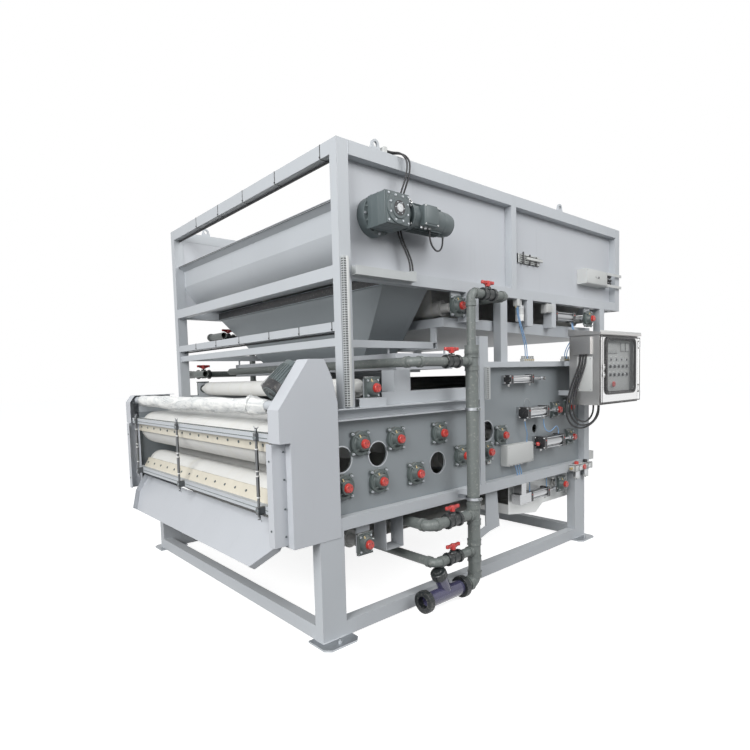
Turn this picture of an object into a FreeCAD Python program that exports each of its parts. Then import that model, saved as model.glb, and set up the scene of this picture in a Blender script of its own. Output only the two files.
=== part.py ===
import FreeCAD, Part
import Sketcher
import math
import os

# Belt filter press. X runs along the machine from the discharge end to the feed end, Y across it
# from the near side to the far side, and Z up from the floor. The origin is on the floor, in the
# middle of the four foot anchors. Places along X are first counted from the discharge legs' outer
# face, and an inset is counted inwards from the legs' outer faces on either side.

DIMENSIONS = [
    ("base_length", 3150, "base frame, outer length over the legs"),
    ("base_width", 2640, "base frame, outer width over the legs"),
    ("leg_depth", 180, "leg section along X"),
    ("leg_width", 80, "leg section along Y"),
    ("leg_wall", 6, "leg wall"),
    ("foot_thickness", 12, "foot plate"),
    ("foot_overhang", 40, "foot plate past the leg along X"),
    ("foot_ear", 90, "foot plate past the leg's outer face"),
    ("foot_tuck", 24, "foot plate past the leg's inner face"),
    ("foot_chamfer", 34, "cut corners of the foot plate's ear"),
    ("anchor_outset", 44, "anchor hole outside the leg's outer face"),
    ("anchor_hole", 9, "anchor hole radius"),
    ("base_beam_high", 90, "base beam height"),
    ("base_beam_wide", 80, "base beam width"),
    ("beam_wall", 5, "wall of the base and body beams"),
    ("body_floor", 667, "underside of the body's bottom beams"),
    ("body_beam_high", 78, "bottom beam height"),
    ("body_beam_wide", 80, "bottom beam width"),
    ("body_cross_z", 690, "underside of the body's cross beams"),
    ("cross_1_x", 60, "cross beam 1 of the body"),
    ("cross_2_x", 1190, "cross beam 2 of the body"),
    ("cross_3_x", 2080, "cross beam 3 of the body"),
    ("cross_4_x", 3040, "cross beam 4 of the body"),
    ("body_cross_wide", 60, "beams across the body"),
    ("body_cross_high", 50, "beams across the body"),
    ("body_start", -165, "discharge end of the press body"),
    ("body_end", 3150, "feed end of the body's side plates"),
    ("plate_inset", 60, "side plates' outer faces"),
    ("plate_thickness", 12, "side plates"),
    ("press_top", 1335, "top of the press side plates"),
    ("splice_x", 1540, "splice post's discharge face"),
    ("splice_wide", 54, "splice post along X"),
    ("splice_top", 1884, "top of the splice posts"),
    ("splice_wing_wide", 52, "wing of the splice post along X"),
    ("splice_wing_low", 1400, "lower end of the splice post's wing"),
    ("splice_wing_thickness", 12, "wing of the splice post"),
    ("channel_high", 75, "top channel height"),
    ("channel_wall", 8, "top channel wall"),
    ("rail_high", 87, "top rail height"),
    ("rail_wide", 60, "top rail width"),
    ("rear_top", 1690, "top of the rear body"),
    ("rear_beam_high", 45, "rear top beam height"),
    ("rear_beam_wide", 72, "rear top beam width"),
    ("rear_beam_end", 3620, "rear top beam's feed end"),
    ("end_post_wide", 90, "rear end post along X"),
    ("hanger_x", 1675, "hanger's discharge face"),
    ("hanger_wide", 148, "hanger along X"),
    ("hanger_low", 314, "lower end of the hanger"),
    ("hanger_thickness", 10, "hanger plate"),
    ("hanger_foot", 130, "hanger's foot, back along X"),
    ("drip_x", 2085, "drip tray's discharge edge"),
    ("drip_end", 3095, "drip tray's feed edge"),
    ("drip_inset", 130, "drip tray's sides"),
    ("drip_low_x", 2505, "lowest fold of the drip tray"),
    ("drip_low_z", 328, "lowest fold of the drip tray"),
    ("drip_start_z", 385, "drip tray's underside at its discharge edge"),
    ("drip_rise_x", 2621, "upper fold of the drip tray"),
    ("drip_rise_z", 395, "upper fold of the drip tray"),
    ("drip_end_high", 75, "drip tray's end walls"),
    ("upper_x", 234, "upper frame's discharge face"),
    ("upper_end", 3950, "upper frame's feed face"),
    ("upper_inset", 33, "upper frame's outer faces"),
    ("upper_top", 3031, "top of the upper frame"),
    ("post_wide", 90, "upper post along X"),
    ("post_deep", 69, "upper post along Y"),
    ("top_chord_high", 86, "top chord height"),
    ("low_chord_z", 2207, "underside of the low chord"),
    ("low_chord_high", 80, "low chord height"),
    ("cross_deep", 60, "upper cross beams along X"),
    ("third_beam_z", 1888, "underside of the third cross beam"),
    ("third_beam_high", 55, "height of the third cross beam"),
    ("mid_post_x", 1862, "mid post's discharge face"),
    ("rear_post_x", 3530, "rear low post's discharge face"),
    ("stiffener_x", 2026, "panel stiffener's discharge face"),
    ("stiffener_wide", 66, "panel stiffener along X"),
    ("tube_wall", 5, "wall of the upper tubes"),
    ("panel_inset", 96, "upper panels' outer faces"),
    ("panel_thickness", 4, "upper panels"),
    ("first_lug_x", 576, "first lifting lug's centre"),
    ("second_lug_x", 2824, "second lifting lug's centre"),
    ("lug_wide", 96, "lifting lug along X"),
    ("lug_high", 76, "lifting lug height"),
    ("lug_thickness", 16, "lifting lug"),
    ("lug_inset", 58, "lifting lug's outer face"),
    ("lug_eye", 17, "lifting eye radius"),
    ("roller_face", 2260, "roller faces"),
    ("belt_width", 2160, "filter belts"),
    ("belt_thickness", 3, "filter belts"),
    ("belt_gap", 0.3, "gap that a belt keeps from rollers and other belts"),
    ("journal", 22, "roller journal radius"),
    ("neck", 36, "roller necks inside the side plates"),
    ("neck_reach", 1210, "roller necks' ends from the middle"),
    ("drive_short", 14, "discharge rollers' journals short of their housings' noses"),
    ("journal_gap", 0.3, "gap round a journal in its bearing"),
    ("shaft_hole", 40, "holes for the roller journals"),
    ("port_radius", 80, "open ports in the side plates"),
    ("small_port_radius", 37, "small port in the rear plate"),
    ("press_roller", 110, "press roller radius"),
    ("rear_roller", 85, "radius of the first two press rollers"),
    ("guide_roller", 60, "guide roller radius"),
    ("turn_roller_radius", 105, "radius of the turning roller at the wedge"),
    ("drive_high", 140, "upper discharge roller radius"),
    ("drive_high_x", -50, "upper discharge roller's axis"),
    ("drive_high_z", 1200, "upper discharge roller's axis"),
    ("drive_low", 112, "lower discharge roller radius"),
    ("drive_low_x", -24, "lower discharge roller's axis"),
    ("drive_low_z", 868, "lower discharge roller's axis"),
    ("press_1_x", 371, "press roller 1"),
    ("press_1_z", 1181, "press roller 1"),
    ("press_2_x", 687, "press roller 2"),
    ("press_2_z", 1182, "press roller 2"),
    ("press_3_x", 1121, "press roller 3"),
    ("press_3_z", 1183, "press roller 3"),
    ("press_4_x", 225, "press roller 4"),
    ("press_4_z", 922, "press roller 4"),
    ("press_5_x", 522, "press roller 5"),
    ("press_5_z", 920, "press roller 5"),
    ("press_6_x", 870, "press roller 6"),
    ("press_6_z", 922, "press roller 6"),
    ("press_7_x", 1371, "press roller 7"),
    ("press_7_z", 990, "press roller 7"),
    ("rear_1_x", 1872, "rear press roller 1"),
    ("rear_1_z", 1099, "rear press roller 1"),
    ("rear_2_x", 1679, "rear press roller 2"),
    ("rear_2_z", 983, "rear press roller 2"),
    ("port_1_x", 224, "port 1"),
    ("port_1_z", 1092, "port 1"),
    ("port_2_x", 528, "port 2"),
    ("port_2_z", 1095, "port 2"),
    ("port_3_x", 1110, "port 3"),
    ("port_3_z", 964, "port 3"),
    ("rear_port_x", 1698, "rear port"),
    ("rear_port_z", 1144, "rear port"),
    ("small_port_x", 2384, "small port"),
    ("small_port_z", 1107, "small port"),
    ("top_guide_x", 480, "guide roller over the press"),
    ("top_guide_z", 1528, "guide roller over the press"),
    ("wedge_roller_x", 2700, "roller at the wedge"),
    ("wedge_roller_z", 1256, "roller at the wedge"),
    ("turn_roller_x", 2925, "turning roller at the wedge"),
    ("turn_roller_z", 1270, "turning roller at the wedge"),
    ("feed_guide_low_x", 2960, "lower guide roller at the feed end"),
    ("feed_guide_low_z", 985, "lower guide roller at the feed end"),
    ("feed_guide_high_x", 3060, "upper guide roller at the feed end"),
    ("feed_guide_high_z", 1520, "upper guide roller at the feed end"),
    ("return_low_x", 384, "return roller at the discharge end"),
    ("return_low_z", 534, "return roller at the discharge end"),
    ("return_high_x", 2800, "return roller at the feed end"),
    ("return_high_z", 560, "return roller at the feed end"),
    ("housing_radius", 78, "bearing housing flange"),
    ("housing_deep", 24, "bearing housing flange depth"),
    ("hub_radius", 54, "bearing housing hub at its root"),
    ("hub_nose", 43, "bearing housing hub at its nose"),
    ("hub_deep", 30, "bearing housing hub past its flange"),
    ("ear_radius", 15, "bolt ears of a bearing housing"),
    ("cap_radius", 27, "bearing cap"),
    ("cap_deep", 20, "bearing cap"),
    ("hood_start", -256, "hood's discharge face"),
    ("hood_step_x", -184, "hood's discharge face below the step"),
    ("hood_end", 158, "hood's feed edge"),
    ("hood_low", 630, "hood's lower edge"),
    ("hood_step_z", 1240, "height of the hood's step"),
    ("hood_shoulder", 1430, "top of the hood's upright front"),
    ("hood_top", 1712, "top of the near hood"),
    ("hood_far_top", 1490, "top of the far hood"),
    ("hood_deep", 118, "hood's return, in from its face"),
    ("sheet", 3, "sheet metal covers"),
    ("guard_start", -275, "discharge face of the stepped guard"),
    ("guard_inset", 54, "stepped guard's outer face"),
    ("guard_wide", 62, "stepped guard across"),
    ("guard_low", 645, "guard's lower edge"),
    ("guard_top", 1238, "guard's upper edge"),
    ("chute_low_x", -291, "chute lip"),
    ("chute_low_z", 475, "chute lip"),
    ("chute_high_x", -120, "chute's upper edge"),
    ("chute_high_z", 735, "chute's upper edge"),
    ("chute_low_inset", 274, "chute's lip inside the legs' faces"),
    ("trough_lip_x", 263, "trough's folded lip"),
    ("trough_lip_z", 2694, "trough's folded lip"),
    ("trough_front_x", 322, "trough's upright face"),
    ("trough_fold_z", 2655, "fold between the trough's lip and its face"),
    ("trough_bend_z", 2512, "start of the trough's round bottom"),
    ("trough_round", 330, "radius of the trough's round bottom"),
    ("trough_tail_x", 640, "trough's lower edge"),
    ("trough_tail_z", 2290, "trough's lower edge"),
    ("hopper_top_z", 2280, "top of the transfer hopper"),
    ("hopper_rim", 50, "upright rim of the transfer hopper"),
    ("hopper_low_z", 1700, "outlet of the transfer hopper"),
    ("hopper_x", 660, "hopper's top, discharge edge"),
    ("hopper_long", 440, "hopper's top along X"),
    ("hopper_low_x", 905, "hopper's outlet, discharge edge"),
    ("hopper_low_long", 320, "hopper's outlet along X"),
    ("hopper_low_half", 690, "half width of the hopper's outlet"),
    ("tray_x", 1262, "collecting tray's discharge edge"),
    ("tray_end", 3480, "collecting tray's feed edge"),
    ("tray_low_z", 1905, "collecting tray's underside at its feed edge"),
    ("tray_high_z", 1955, "collecting tray's underside at its discharge edge"),
    ("tray_rim_z", 2022, "collecting tray's rim"),
    ("tray_hanger_deep", 82, "tray hangers along Y"),
    ("inner_beam_z", 1796, "underside of the inner frame"),
    ("inner_beam_high", 50, "inner frame beams"),
    ("inner_inset", 98, "inner frame inside the upper posts"),
    ("inner_start", 250, "inner frame's discharge end"),
    ("inner_hanger", 20, "inner frame's hangers along X"),
    ("inner_end", 1290, "inner frame's feed end"),
    ("thickener_drive_x", 560, "thickening belt's drive roller"),
    ("thickener_z", 2620, "thickening belt's rollers"),
    ("thickener_roller", 140, "thickening belt's roller radius"),
    ("thickener_tail_x", 3650, "thickening belt's tail roller"),
    ("deck_rollers", 8, "rollers that carry the thickening belt"),
    ("deck_roller", 45, "radius of the rollers under the thickening belt"),
    ("deck_end_gap", 420, "end rollers to the first and last deck rollers"),
    ("tension_x", 1347, "thickening belt's tension roller"),
    ("tension_z", 2100, "thickening belt's tension roller"),
    ("snub_x", 1200, "roller that turns the thickening belt down"),
    ("snub_z", 2420, "roller that turns the thickening belt down"),
    ("lift_x", 3315, "roller at the feed end of the thickening belt's return"),
    ("return_plate_wide", 110, "plates of the thickening belt's return rollers"),
    ("return_plate_past", 55, "plates of the return rollers under the rollers' axis"),
    ("gearbox_long", 190, "gearbox along X"),
    ("gearbox_deep", 190, "gearbox along Y"),
    ("gearbox_high", 190, "gearbox height"),
    ("torque_flange", 126, "gearbox flange radius"),
    ("motor_radius", 80, "thickener motor"),
    ("motor_long", 300, "thickener motor"),
    ("fan_cover_radius", 72, "thickener motor's end cover"),
    ("fan_cover_long", 90, "thickener motor's end cover"),
    ("terminal_box", 125, "motor terminal box"),
    ("hood_motor_radius", 78, "discharge motor"),
    ("hood_motor_long", 200, "discharge motor"),
    ("hood_motor_x", -95, "discharge motor's middle"),
    ("hood_motor_z", 1582, "discharge motor's middle"),
    ("hood_motor_tilt", 41, "tilt of the discharge motor"),
    ("film_x", -180, "wrapped bar's axis"),
    ("film_z", 1447, "wrapped bar's axis"),
    ("film_bar", 30, "wrapped bar radius"),
    ("film_bar_past", 4, "wrapped bar's ends past its brackets"),
    ("film_near_end", 1085, "film's near end"),
    ("film_far_end", 1130, "film's far end"),
    ("film_radius", 48, "film roll radius"),
    ("scraper_high_x", -200, "upper scraper's front"),
    ("scraper_high_z", 1243, "upper scraper's top"),
    ("scraper_low_x", -173, "lower scraper's front"),
    ("scraper_low_z", 848, "lower scraper's top"),
    ("scraper_inset", 190, "ends of the scraper blades inside the legs' faces"),
    ("blade_thickness", 8, "scraper blades"),
    ("rod_radius", 8, "scraper tie rods"),
    ("rod_x", -256, "scraper tie rods' axis"),
    ("rod_inset", 64, "outer tie rods inside the ends of the scraper blades"),
    ("rod_mid", 135, "middle tie rod, to the far side"),
    ("upper_blade_high", 68, "upper scraper blade"),
    ("lower_blade_x", -181, "lower scraper blade's foot"),
    ("lower_blade_tip_x", -138, "lower scraper blade's tip"),
    ("lower_blade_tip_z", 923, "lower scraper blade's tip"),
    ("scraper_beam", 46, "scraper beams"),
    ("scraper_beam_past", 48, "scraper beams past their blades"),
    ("scraper_arm", 12, "arms of the scraper beams"),
    ("pivot_x", -135, "pivots of the scraper arms"),
    ("pivot", 12, "scraper pivot radius"),
    ("rod_clamp", 26, "clamps of the tie rods"),
    ("rod_past", 30, "tie rods past the scraper beams"),
    ("chute_wide_at", 154, "chute's length from its lip to its full width"),
    ("chute_wing", 46, "chute's turned-up sides"),
    ("slide_wide", 110, "sliding bearing housings along X"),
    ("slide_high", 120, "sliding bearing housings' height"),
    ("stand_x", 351, "top guide's stand"),
    ("stand_long", 228, "top guide's stand"),
    ("stand_inset", 20, "top guide's stand"),
    ("stand_wide", 60, "top guide's stand"),
    ("stand_high", 56, "top guide's stand"),
    ("hood_crown_z", 1453, "top of the hood's feed edge"),
    ("hood_crown_x", 119, "corner of the hood's feed side"),
    ("hood_round_z", 1608, "corner of the hood's feed side"),
    ("hood_top_start", -44, "hood's top, discharge end"),
    ("hood_top_end", 66, "hood's top, feed end"),
    ("hood_motor_fan", 20, "discharge motor's fan cover"),
    ("hood_motor_side", 195, "discharge motor's axis inside the near legs' faces"),
    ("motor_foot_long", 90, "discharge motor's stand"),
    ("motor_foot_wide", 165, "discharge motor's stand"),
    ("motor_foot_low", 40, "top of the discharge motor's stand under the motor's axis"),
    ("film_bracket_inset", 40, "wrapped bar's brackets"),
    ("film_bracket_long", 70, "foot of the wrapped bar's brackets"),
    ("film_bracket_half", 34, "wrapped bar's brackets, round the bar"),
    ("box_x", 800, "distribution box's discharge side"),
    ("box_long", 600, "distribution box along X"),
    ("box_past", 50, "distribution box past the inner frame's sides"),
    ("box_low_z", 1643, "underside of the distribution box"),
    ("box_high", 115, "distribution box height"),
    ("box_slot", 40, "height of the distribution box's outlet slot"),
    ("box_rod", 8, "rods from the inner frame to the distribution box"),
    ("block_x", 690, "block that carries the distribution box"),
    ("block_long", 157, "block that carries the distribution box"),
    ("block_deep", 120, "block that carries the distribution box"),
    ("riser_x", 1276, "near riser's axis"),
    ("riser_outset", 130, "risers outside the legs' faces"),
    ("riser", 45, "riser radius"),
    ("riser_step_z", 1772, "height where the riser narrows"),
    ("small_pipe", 31.5, "wash pipe radius"),
    ("drain_pipe", 37.5, "low branch radius"),
    ("pipe_wall", 4, "pipe walls"),
    ("socket_swell", 5, "pipe sockets past their pipe"),
    ("socket_high", 60, "pipe sockets"),
    ("valve_half", 70, "half length of a valve"),
    ("valve_swell", 6, "valve barrel past its pipe"),
    ("union_swell", 12, "union nuts past their pipe"),
    ("union_long", 24, "union nuts"),
    ("stem_neck", 22, "valve neck radius"),
    ("valve_neck_high", 20, "valve neck past its pipe"),
    ("stem", 8, "valve stem radius"),
    ("stem_high", 30, "valve stem past its neck"),
    ("stem_seat", 6, "gap between a handle and its valve's neck"),
    ("handle_gap", 0.4, "gap round a stem in its handle"),
    ("handle_hub", 19, "handle hub radius"),
    ("handle_high", 36, "handle hub height"),
    ("handle_half", 62, "half length of a handle"),
    ("handle_wide", 18, "width of a handle"),
    ("handle_bar", 16, "thickness of a handle"),
    ("top_z", 2172, "top branch"),
    ("top_valve_x", 1473, "top branch's valve"),
    ("top_end_x", 1700, "top branch's turn across the machine"),
    ("top_reach", 200, "top branch's end inside the near legs' faces"),
    ("middle_z", 1688, "middle branch"),
    ("middle_valve_x", 1058, "middle branch's valve"),
    ("middle_end_x", 685, "middle branch's turn across the machine"),
    ("middle_reach", 2380, "middle branch's end inside the near legs' faces"),
    ("low_z", 590, "low branch"),
    ("low_valve_x", 1040, "low branch's valve"),
    ("low_end_x", 811, "low branch's turn across the machine"),
    ("low_reach", 900, "low branch's end inside the near legs' faces"),
    ("foot_z", 325, "foot branch"),
    ("foot_valve_x", 1040, "foot branch's valve"),
    ("foot_end_x", 859, "foot branch's turn across the machine"),
    ("foot_reach", 1500, "foot branch's end inside the near legs' faces"),
    ("far_riser_x", 1150, "far riser's axis"),
    ("far_riser_low", 560, "far riser's lower end"),
    ("far_top_z", 2050, "far top branch"),
    ("far_top_valve_x", 871, "far top branch's valve"),
    ("far_top_end_x", 650, "far top branch's turn across the machine"),
    ("far_top_reach", 220, "far top branch's end inside the far legs' faces"),
    ("far_low_z", 1672, "far low branch"),
    ("far_low_valve_x", 575, "far low branch's valve"),
    ("far_low_end_x", 400, "far low branch's turn across the machine"),
    ("far_low_reach", 300, "far low branch's end inside the far legs' faces"),
    ("strainer_x", 722, "strainer's inlet"),
    ("strainer_end_x", 1150, "strainer's outlet"),
    ("strainer_z", 95, "strainer's axis"),
    ("strainer_radius", 52, "strainer barrel"),
    ("strainer_nut", 72, "strainer union nuts"),
    ("strainer_nut_long", 45, "strainer union nuts"),
    ("strainer_root_x", 965, "where the strainer's branch meets its barrel"),
    ("strainer_tilt", 63, "tilt of the strainer's branch"),
    ("strainer_cup", 44, "strainer branch radius"),
    ("strainer_cup_long", 145, "strainer branch"),
    ("strainer_cap", 54, "strainer branch cap"),
    ("strainer_wall", 5, "strainer wall"),
    ("clamp_z", 695, "riser clamp"),
    ("clamp_high", 20, "riser clamp"),
    ("clamp_wide", 12, "riser clamp round the riser"),
    ("clamp_arm", 30, "riser clamp's arm"),
    ("gearbox_front", -150, "gearbox's front inside the legs' faces"),
    ("gear_boss", 62, "gearbox's output boss"),
    ("gear_boss_deep", 12, "gearbox's output boss"),
    ("motor_adaptor", 62, "thickener motor's adaptor"),
    ("motor_adaptor_long", 70, "thickener motor's adaptor"),
    ("terminal_in", 60, "thickener motor's terminal box"),
    ("terminal_long", 125, "thickener motor's terminal box"),
    ("terminal_rise", 20, "terminal box past the motor"),
    ("cabinet_x", 2726, "cabinet's discharge side"),
    ("cabinet_long", 748, "cabinet along X"),
    ("cabinet_outset", 80, "cabinet's back outside the legs' faces"),
    ("cabinet_deep", 270, "cabinet depth"),
    ("cabinet_z", 1300, "cabinet's underside"),
    ("cabinet_high", 605, "cabinet height"),
    ("roof_over", 25, "cabinet roof's overhang"),
    ("roof_fascia", 18, "cabinet roof's front edge"),
    ("roof_high", 62, "cabinet roof's rise"),
    ("side_cover_z", 1741, "cover on the cabinet's side"),
    ("side_cover_high", 148, "cover on the cabinet's side"),
    ("side_cover_in", 33, "cover from the cabinet's back"),
    ("side_cover_wide", 168, "cover on the cabinet's side"),
    ("side_cover_deep", 26, "cover on the cabinet's side"),
    ("door_inset", 12, "cabinet door inside the cabinet's outline"),
    ("door_thickness", 3, "cabinet door"),
    ("door_gap", 5, "gap behind the cabinet door"),
    ("hinge_barrel", 9, "door hinge barrel radius"),
    ("hinge_long", 46, "door hinge barrels"),
    ("hinge_lug", 14, "door hinge lugs"),
    ("hinge_gap", 1, "gaps at the ends of the hinge barrels"),
    ("hinge_reach", 40, "door hinge lugs along the cabinet's side"),
    ("hinge_pin", 4, "door hinge pin radius"),
    ("hinge_pin_gap", 0.2, "gap round a hinge pin"),
    ("window_left", 100, "door window"),
    ("window_right", 636, "door window"),
    ("window_low", 97, "door window"),
    ("window_top", 551, "door window"),
    ("window_corner", 45, "door window's corners"),
    ("window_rim", 12, "window pane past its opening"),
    ("window_glass", 4, "window pane"),
    ("arm_in", 60, "cabinet arms inside the cabinet's sides"),
    ("arm_wide", 40, "cabinet arms"),
    ("arm_low_z", 1380, "lower cabinet arms"),
    ("arm_post_in", 20, "cabinet arm on the rear end post"),
    ("cylinder_head", 34, "air cylinder heads along X"),
    ("cylinder_off", 20, "air cylinders off the face behind them"),
    ("cylinder_rod", 10, "air cylinder rods"),
    ("cylinder_share", 0.5, "share of a cylinder's length in its barrel"),
    ("thickener_cylinder_low", 107, "thickener's cylinder under the low chord"),
    ("guide_cylinder_x", 1905, "air cylinder of the upper guide roller"),
    ("guide_cylinder_long", 528, "air cylinder of the upper guide roller"),
    ("guide_cylinder_z", 1545, "air cylinder of the upper guide roller"),
    ("guide_cylinder_head", 72, "air cylinder of the upper guide roller"),
    ("guide_cylinder_can", 28, "air cylinder of the upper guide roller"),
    ("upper_tension_x", 2112, "air cylinder of the upper belt"),
    ("upper_tension_long", 510, "air cylinder of the upper belt"),
    ("upper_tension_z", 1262, "air cylinder of the upper belt"),
    ("upper_tension_head", 96, "air cylinder of the upper belt"),
    ("upper_tension_can", 42, "air cylinder of the upper belt"),
    ("lower_tension_x", 2349, "air cylinder of the lower belt"),
    ("lower_tension_long", 530, "air cylinder of the lower belt"),
    ("lower_tension_z", 990, "air cylinder of the lower belt"),
    ("lower_tension_head", 104, "air cylinder of the lower belt"),
    ("lower_tension_can", 46, "air cylinder of the lower belt"),
    ("small_head", 84, "heads of the return and the thickener cylinders"),
    ("small_can", 36, "barrels of the return and the thickener cylinders"),
    ("return_cylinder_x", 2270, "return roller's cylinder"),
    ("return_cylinder_z", 525, "return roller's cylinder"),
    ("return_block_long", 170, "block that holds the return roller's cylinder"),
    ("return_hanger_wide", 69, "hanger of the return roller's cylinder"),
    ("return_hanger_in", 24, "hanger inside its block's end"),
    ("pneumatic_x", 1882, "pneumatic box"),
    ("pneumatic_long", 384, "pneumatic box"),
    ("pneumatic_z", 841, "pneumatic box"),
    ("pneumatic_high", 168, "pneumatic box"),
    ("pneumatic_deep", 60, "pneumatic box"),
    ("filter_in", 290, "air filter from the feed legs' outer faces"),
    ("filter_long", 330, "air filter"),
    ("filter_z", 672, "air filter"),
    ("filter_high", 56, "air filter"),
    ("filter_deep", 60, "air filter"),
    ("bowl", 28, "air filter bowls"),
    ("bowl_long", 72, "air filter bowls"),
    ("line_filter_x", 2180, "line filter under the low chord"),
    ("line_filter", 34, "line filter"),
    ("line_filter_low", 2030, "line filter"),
    ("line_filter_top", 2150, "line filter"),
    ("line_filter_neck", 18, "line filter"),
    ("hose_block_x", 2096, "hose block under the low chord"),
    ("hose_block_low", 2150, "hose block under the low chord"),
    ("hose_block", 40, "hose block under the low chord"),
    ("manifold_x", 2180, "valve manifold on the rear beam"),
    ("manifold_long", 150, "valve manifold on the rear beam"),
    ("second_manifold_x", 2830, "second valve manifold on the rear beam"),
    ("second_manifold_long", 90, "second valve manifold on the rear beam"),
    ("manifold_deep", 40, "valve manifolds"),
    ("manifold_high", 25, "valve manifolds"),
    ("end_box_long", 90, "box on the end post"),
    ("end_box_high", 80, "box on the end post"),
    ("end_box_z", 735, "box on the end post"),
    ("duct_wide", 45, "wiring ducts"),
    ("duct_deep", 25, "wiring ducts"),
    ("duct_in", 9, "wiring duct inside its post's edge"),
    ("duct_low", 1420, "post duct's lower end"),
    ("duct_top", 2330, "post duct's upper end"),
    ("splice_duct_high", 250, "splice duct"),
    ("junction_x", 3200, "junction box on the panel"),
    ("junction_long", 420, "junction box on the panel"),
    ("junction_z", 2430, "junction box on the panel"),
    ("junction_high", 140, "junction box on the panel"),
    ("junction_deep", 90, "junction box on the panel"),
    ("junction_arm", 26, "open bracket beside the junction box"),
    ("junction_arm_long", 320, "open bracket beside the junction box"),
    ("junction_arm_deep", 6, "open bracket beside the junction box"),
    ("vent_x", 2190, "vent on the panel"),
    ("vent_long", 330, "vent on the panel"),
    ("vent_z", 2521, "vent on the panel"),
    ("vent_high", 80, "vent on the panel"),
    ("vent_deep", 10, "vent on the panel"),
    ("cable_tray_z", 2225, "cable tray"),
    ("cable_tray_high", 55, "cable tray"),
    ("cable_tray_deep", 45, "cable tray"),
    ("cable_tray_long", 530, "cable tray"),
    ("under_box_x", 600, "bracket under the bottom beam"),
    ("under_box_long", 165, "bracket under the bottom beam"),
    ("under_box_z", 425, "bracket under the bottom beam"),
    ("under_box_deep", 120, "bracket under the bottom beam"),
    ("tray_hanger_low", 1990, "lower end of the tray's hangers"),
    ("first_hanger_x", 1430, "first tray hanger"),
    ("first_hanger_wide", 150, "first tray hanger"),
    ("second_hanger_x", 2243, "second tray hanger"),
    ("second_hanger_wide", 85, "second tray hanger"),
    ("third_hanger_x", 2631, "third tray hanger"),
    ("third_hanger_wide", 69, "third tray hanger"),
    ("gland", 10, "radius of the glands on the thickener's motor"),
    ("gland_long", 12, "glands on the thickener's motor"),
    ("terminal_gland_in", 30, "terminal box's gland, in from the box's end"),
    ("terminal_gland_out", 55, "terminal box's gland, out from the motor's axis"),
    ("cover_gland_in", 50, "gland of the motor's end cover"),
    ("cabinet_gland", 13, "radius of the glands under the cabinet"),
    ("cabinet_gland_long", 12, "glands under the cabinet"),
    ("cabinet_gland_front_x", 2985, "gland under the cabinet"),
    ("cabinet_gland_front_in", 190, "gland under the cabinet"),
    ("cabinet_gland_middle_x", 3078, "gland under the cabinet"),
    ("cabinet_gland_middle_in", 190, "gland under the cabinet"),
    ("cabinet_gland_back_x", 3113, "gland under the cabinet"),
    ("cabinet_gland_back_in", 205, "gland under the cabinet"),
    ("tray_gland_long", 48, "gland plate on the cable tray's end"),
    ("tray_gland_high", 12, "gland plate on the cable tray's end"),
    ("chord_clip_x", 633, "cable clip on the top chord"),
    ("chord_clip_long", 26, "cable clip on the top chord"),
    ("chord_clip_inset", 40, "cable clip on the top chord"),
    ("chord_clip_wide", 52, "cable clip on the top chord"),
    ("chord_clip_high", 39, "cable clip on the top chord"),
    ("motor_cable", 6, "radius of the thickener motor's cables"),
    ("cabinet_cable", 8, "radius of the cabinet's cables"),
    ("air_hose", 4, "radius of the air hoses"),
]


class Size:
    """A size with the sheet expression that gives it."""

    def __init__(self, value, text):
        self.value = float(value)
        self.text = text

    def __float__(self):
        return self.value

    def __add__(self, other):
        other = as_size(other)
        return Size(self.value + other.value, f"({self.text} + {other.text})")

    def __radd__(self, other):
        return as_size(other) + self

    def __sub__(self, other):
        other = as_size(other)
        return Size(self.value - other.value, f"({self.text} - {other.text})")

    def __rsub__(self, other):
        return as_size(other) - self

    def __mul__(self, other):
        other = as_size(other)
        return Size(self.value * other.value, f"({self.text} * {other.text})")

    def __rmul__(self, other):
        return as_size(other) * self

    def __truediv__(self, other):
        other = as_size(other)
        return Size(self.value / other.value, f"({self.text} / {other.text})")

    def __neg__(self):
        return Size(-self.value, f"(0 - {self.text})")


def as_size(value):
    return value if isinstance(value, Size) else Size(value, repr(float(value)))


class SizeSheet:
    """The spreadsheet of driving dimensions, each reached by its alias."""

    def __init__(self, document, dimensions):
        table = document.addObject("Spreadsheet::Sheet", "Sizes")
        self.sizes = {}
        for row, (alias, value, meaning) in enumerate(dimensions, start=1):
            table.set(f"A{row}", meaning)
            table.set(f"B{row}", str(value))
            table.setAlias(f"B{row}", alias)
            self.sizes[alias] = Size(value, f"Sizes.{alias}")
        document.recompute()

    def __getattr__(self, alias):
        return self.sizes[alias]


DOC = FreeCAD.newDocument("belt_filter_press")
S = SizeSheet(DOC, DIMENSIONS)
NODES = []
V = FreeCAD.Vector
ALONG_X = FreeCAD.Rotation(V(0, 1, 0), 90)
ALONG_Y = FreeCAD.Rotation(V(1, 0, 0), -90)
ALONG_Z = FreeCAD.Rotation()
TURNS = {"X": ALONG_X, "Y": ALONG_Y, "Z": ALONG_Z}
CUT_OVER = 5
PIPE_TURN = 1.3
FAR_HOOD_RUN = 0.75
DIAGONAL = math.sqrt(0.5)


def bind(thing, **sizes):
    """Ties a piece's own sizes to the sheet."""
    for name, size in sizes.items():
        size = as_size(size)
        setattr(thing, name, size.value)
        thing.setExpression(name, size.text)


def put(thing, x, y, z, turn=ALONG_Z):
    """Places a piece. x is counted from the discharge legs' outer face."""
    thing.Placement = FreeCAD.Placement(V(), turn)
    spots = {"x": as_size(x) - S.base_length / 2, "y": as_size(y), "z": as_size(z)}
    for axis, size in spots.items():
        thing.setExpression(f"Placement.Base.{axis}", size.text)
    return thing


def block(name, low, size):
    box = DOC.addObject("Part::Box", name)
    bind(box, Length=size[0], Width=size[1], Height=size[2])
    return put(box, *low)


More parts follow.
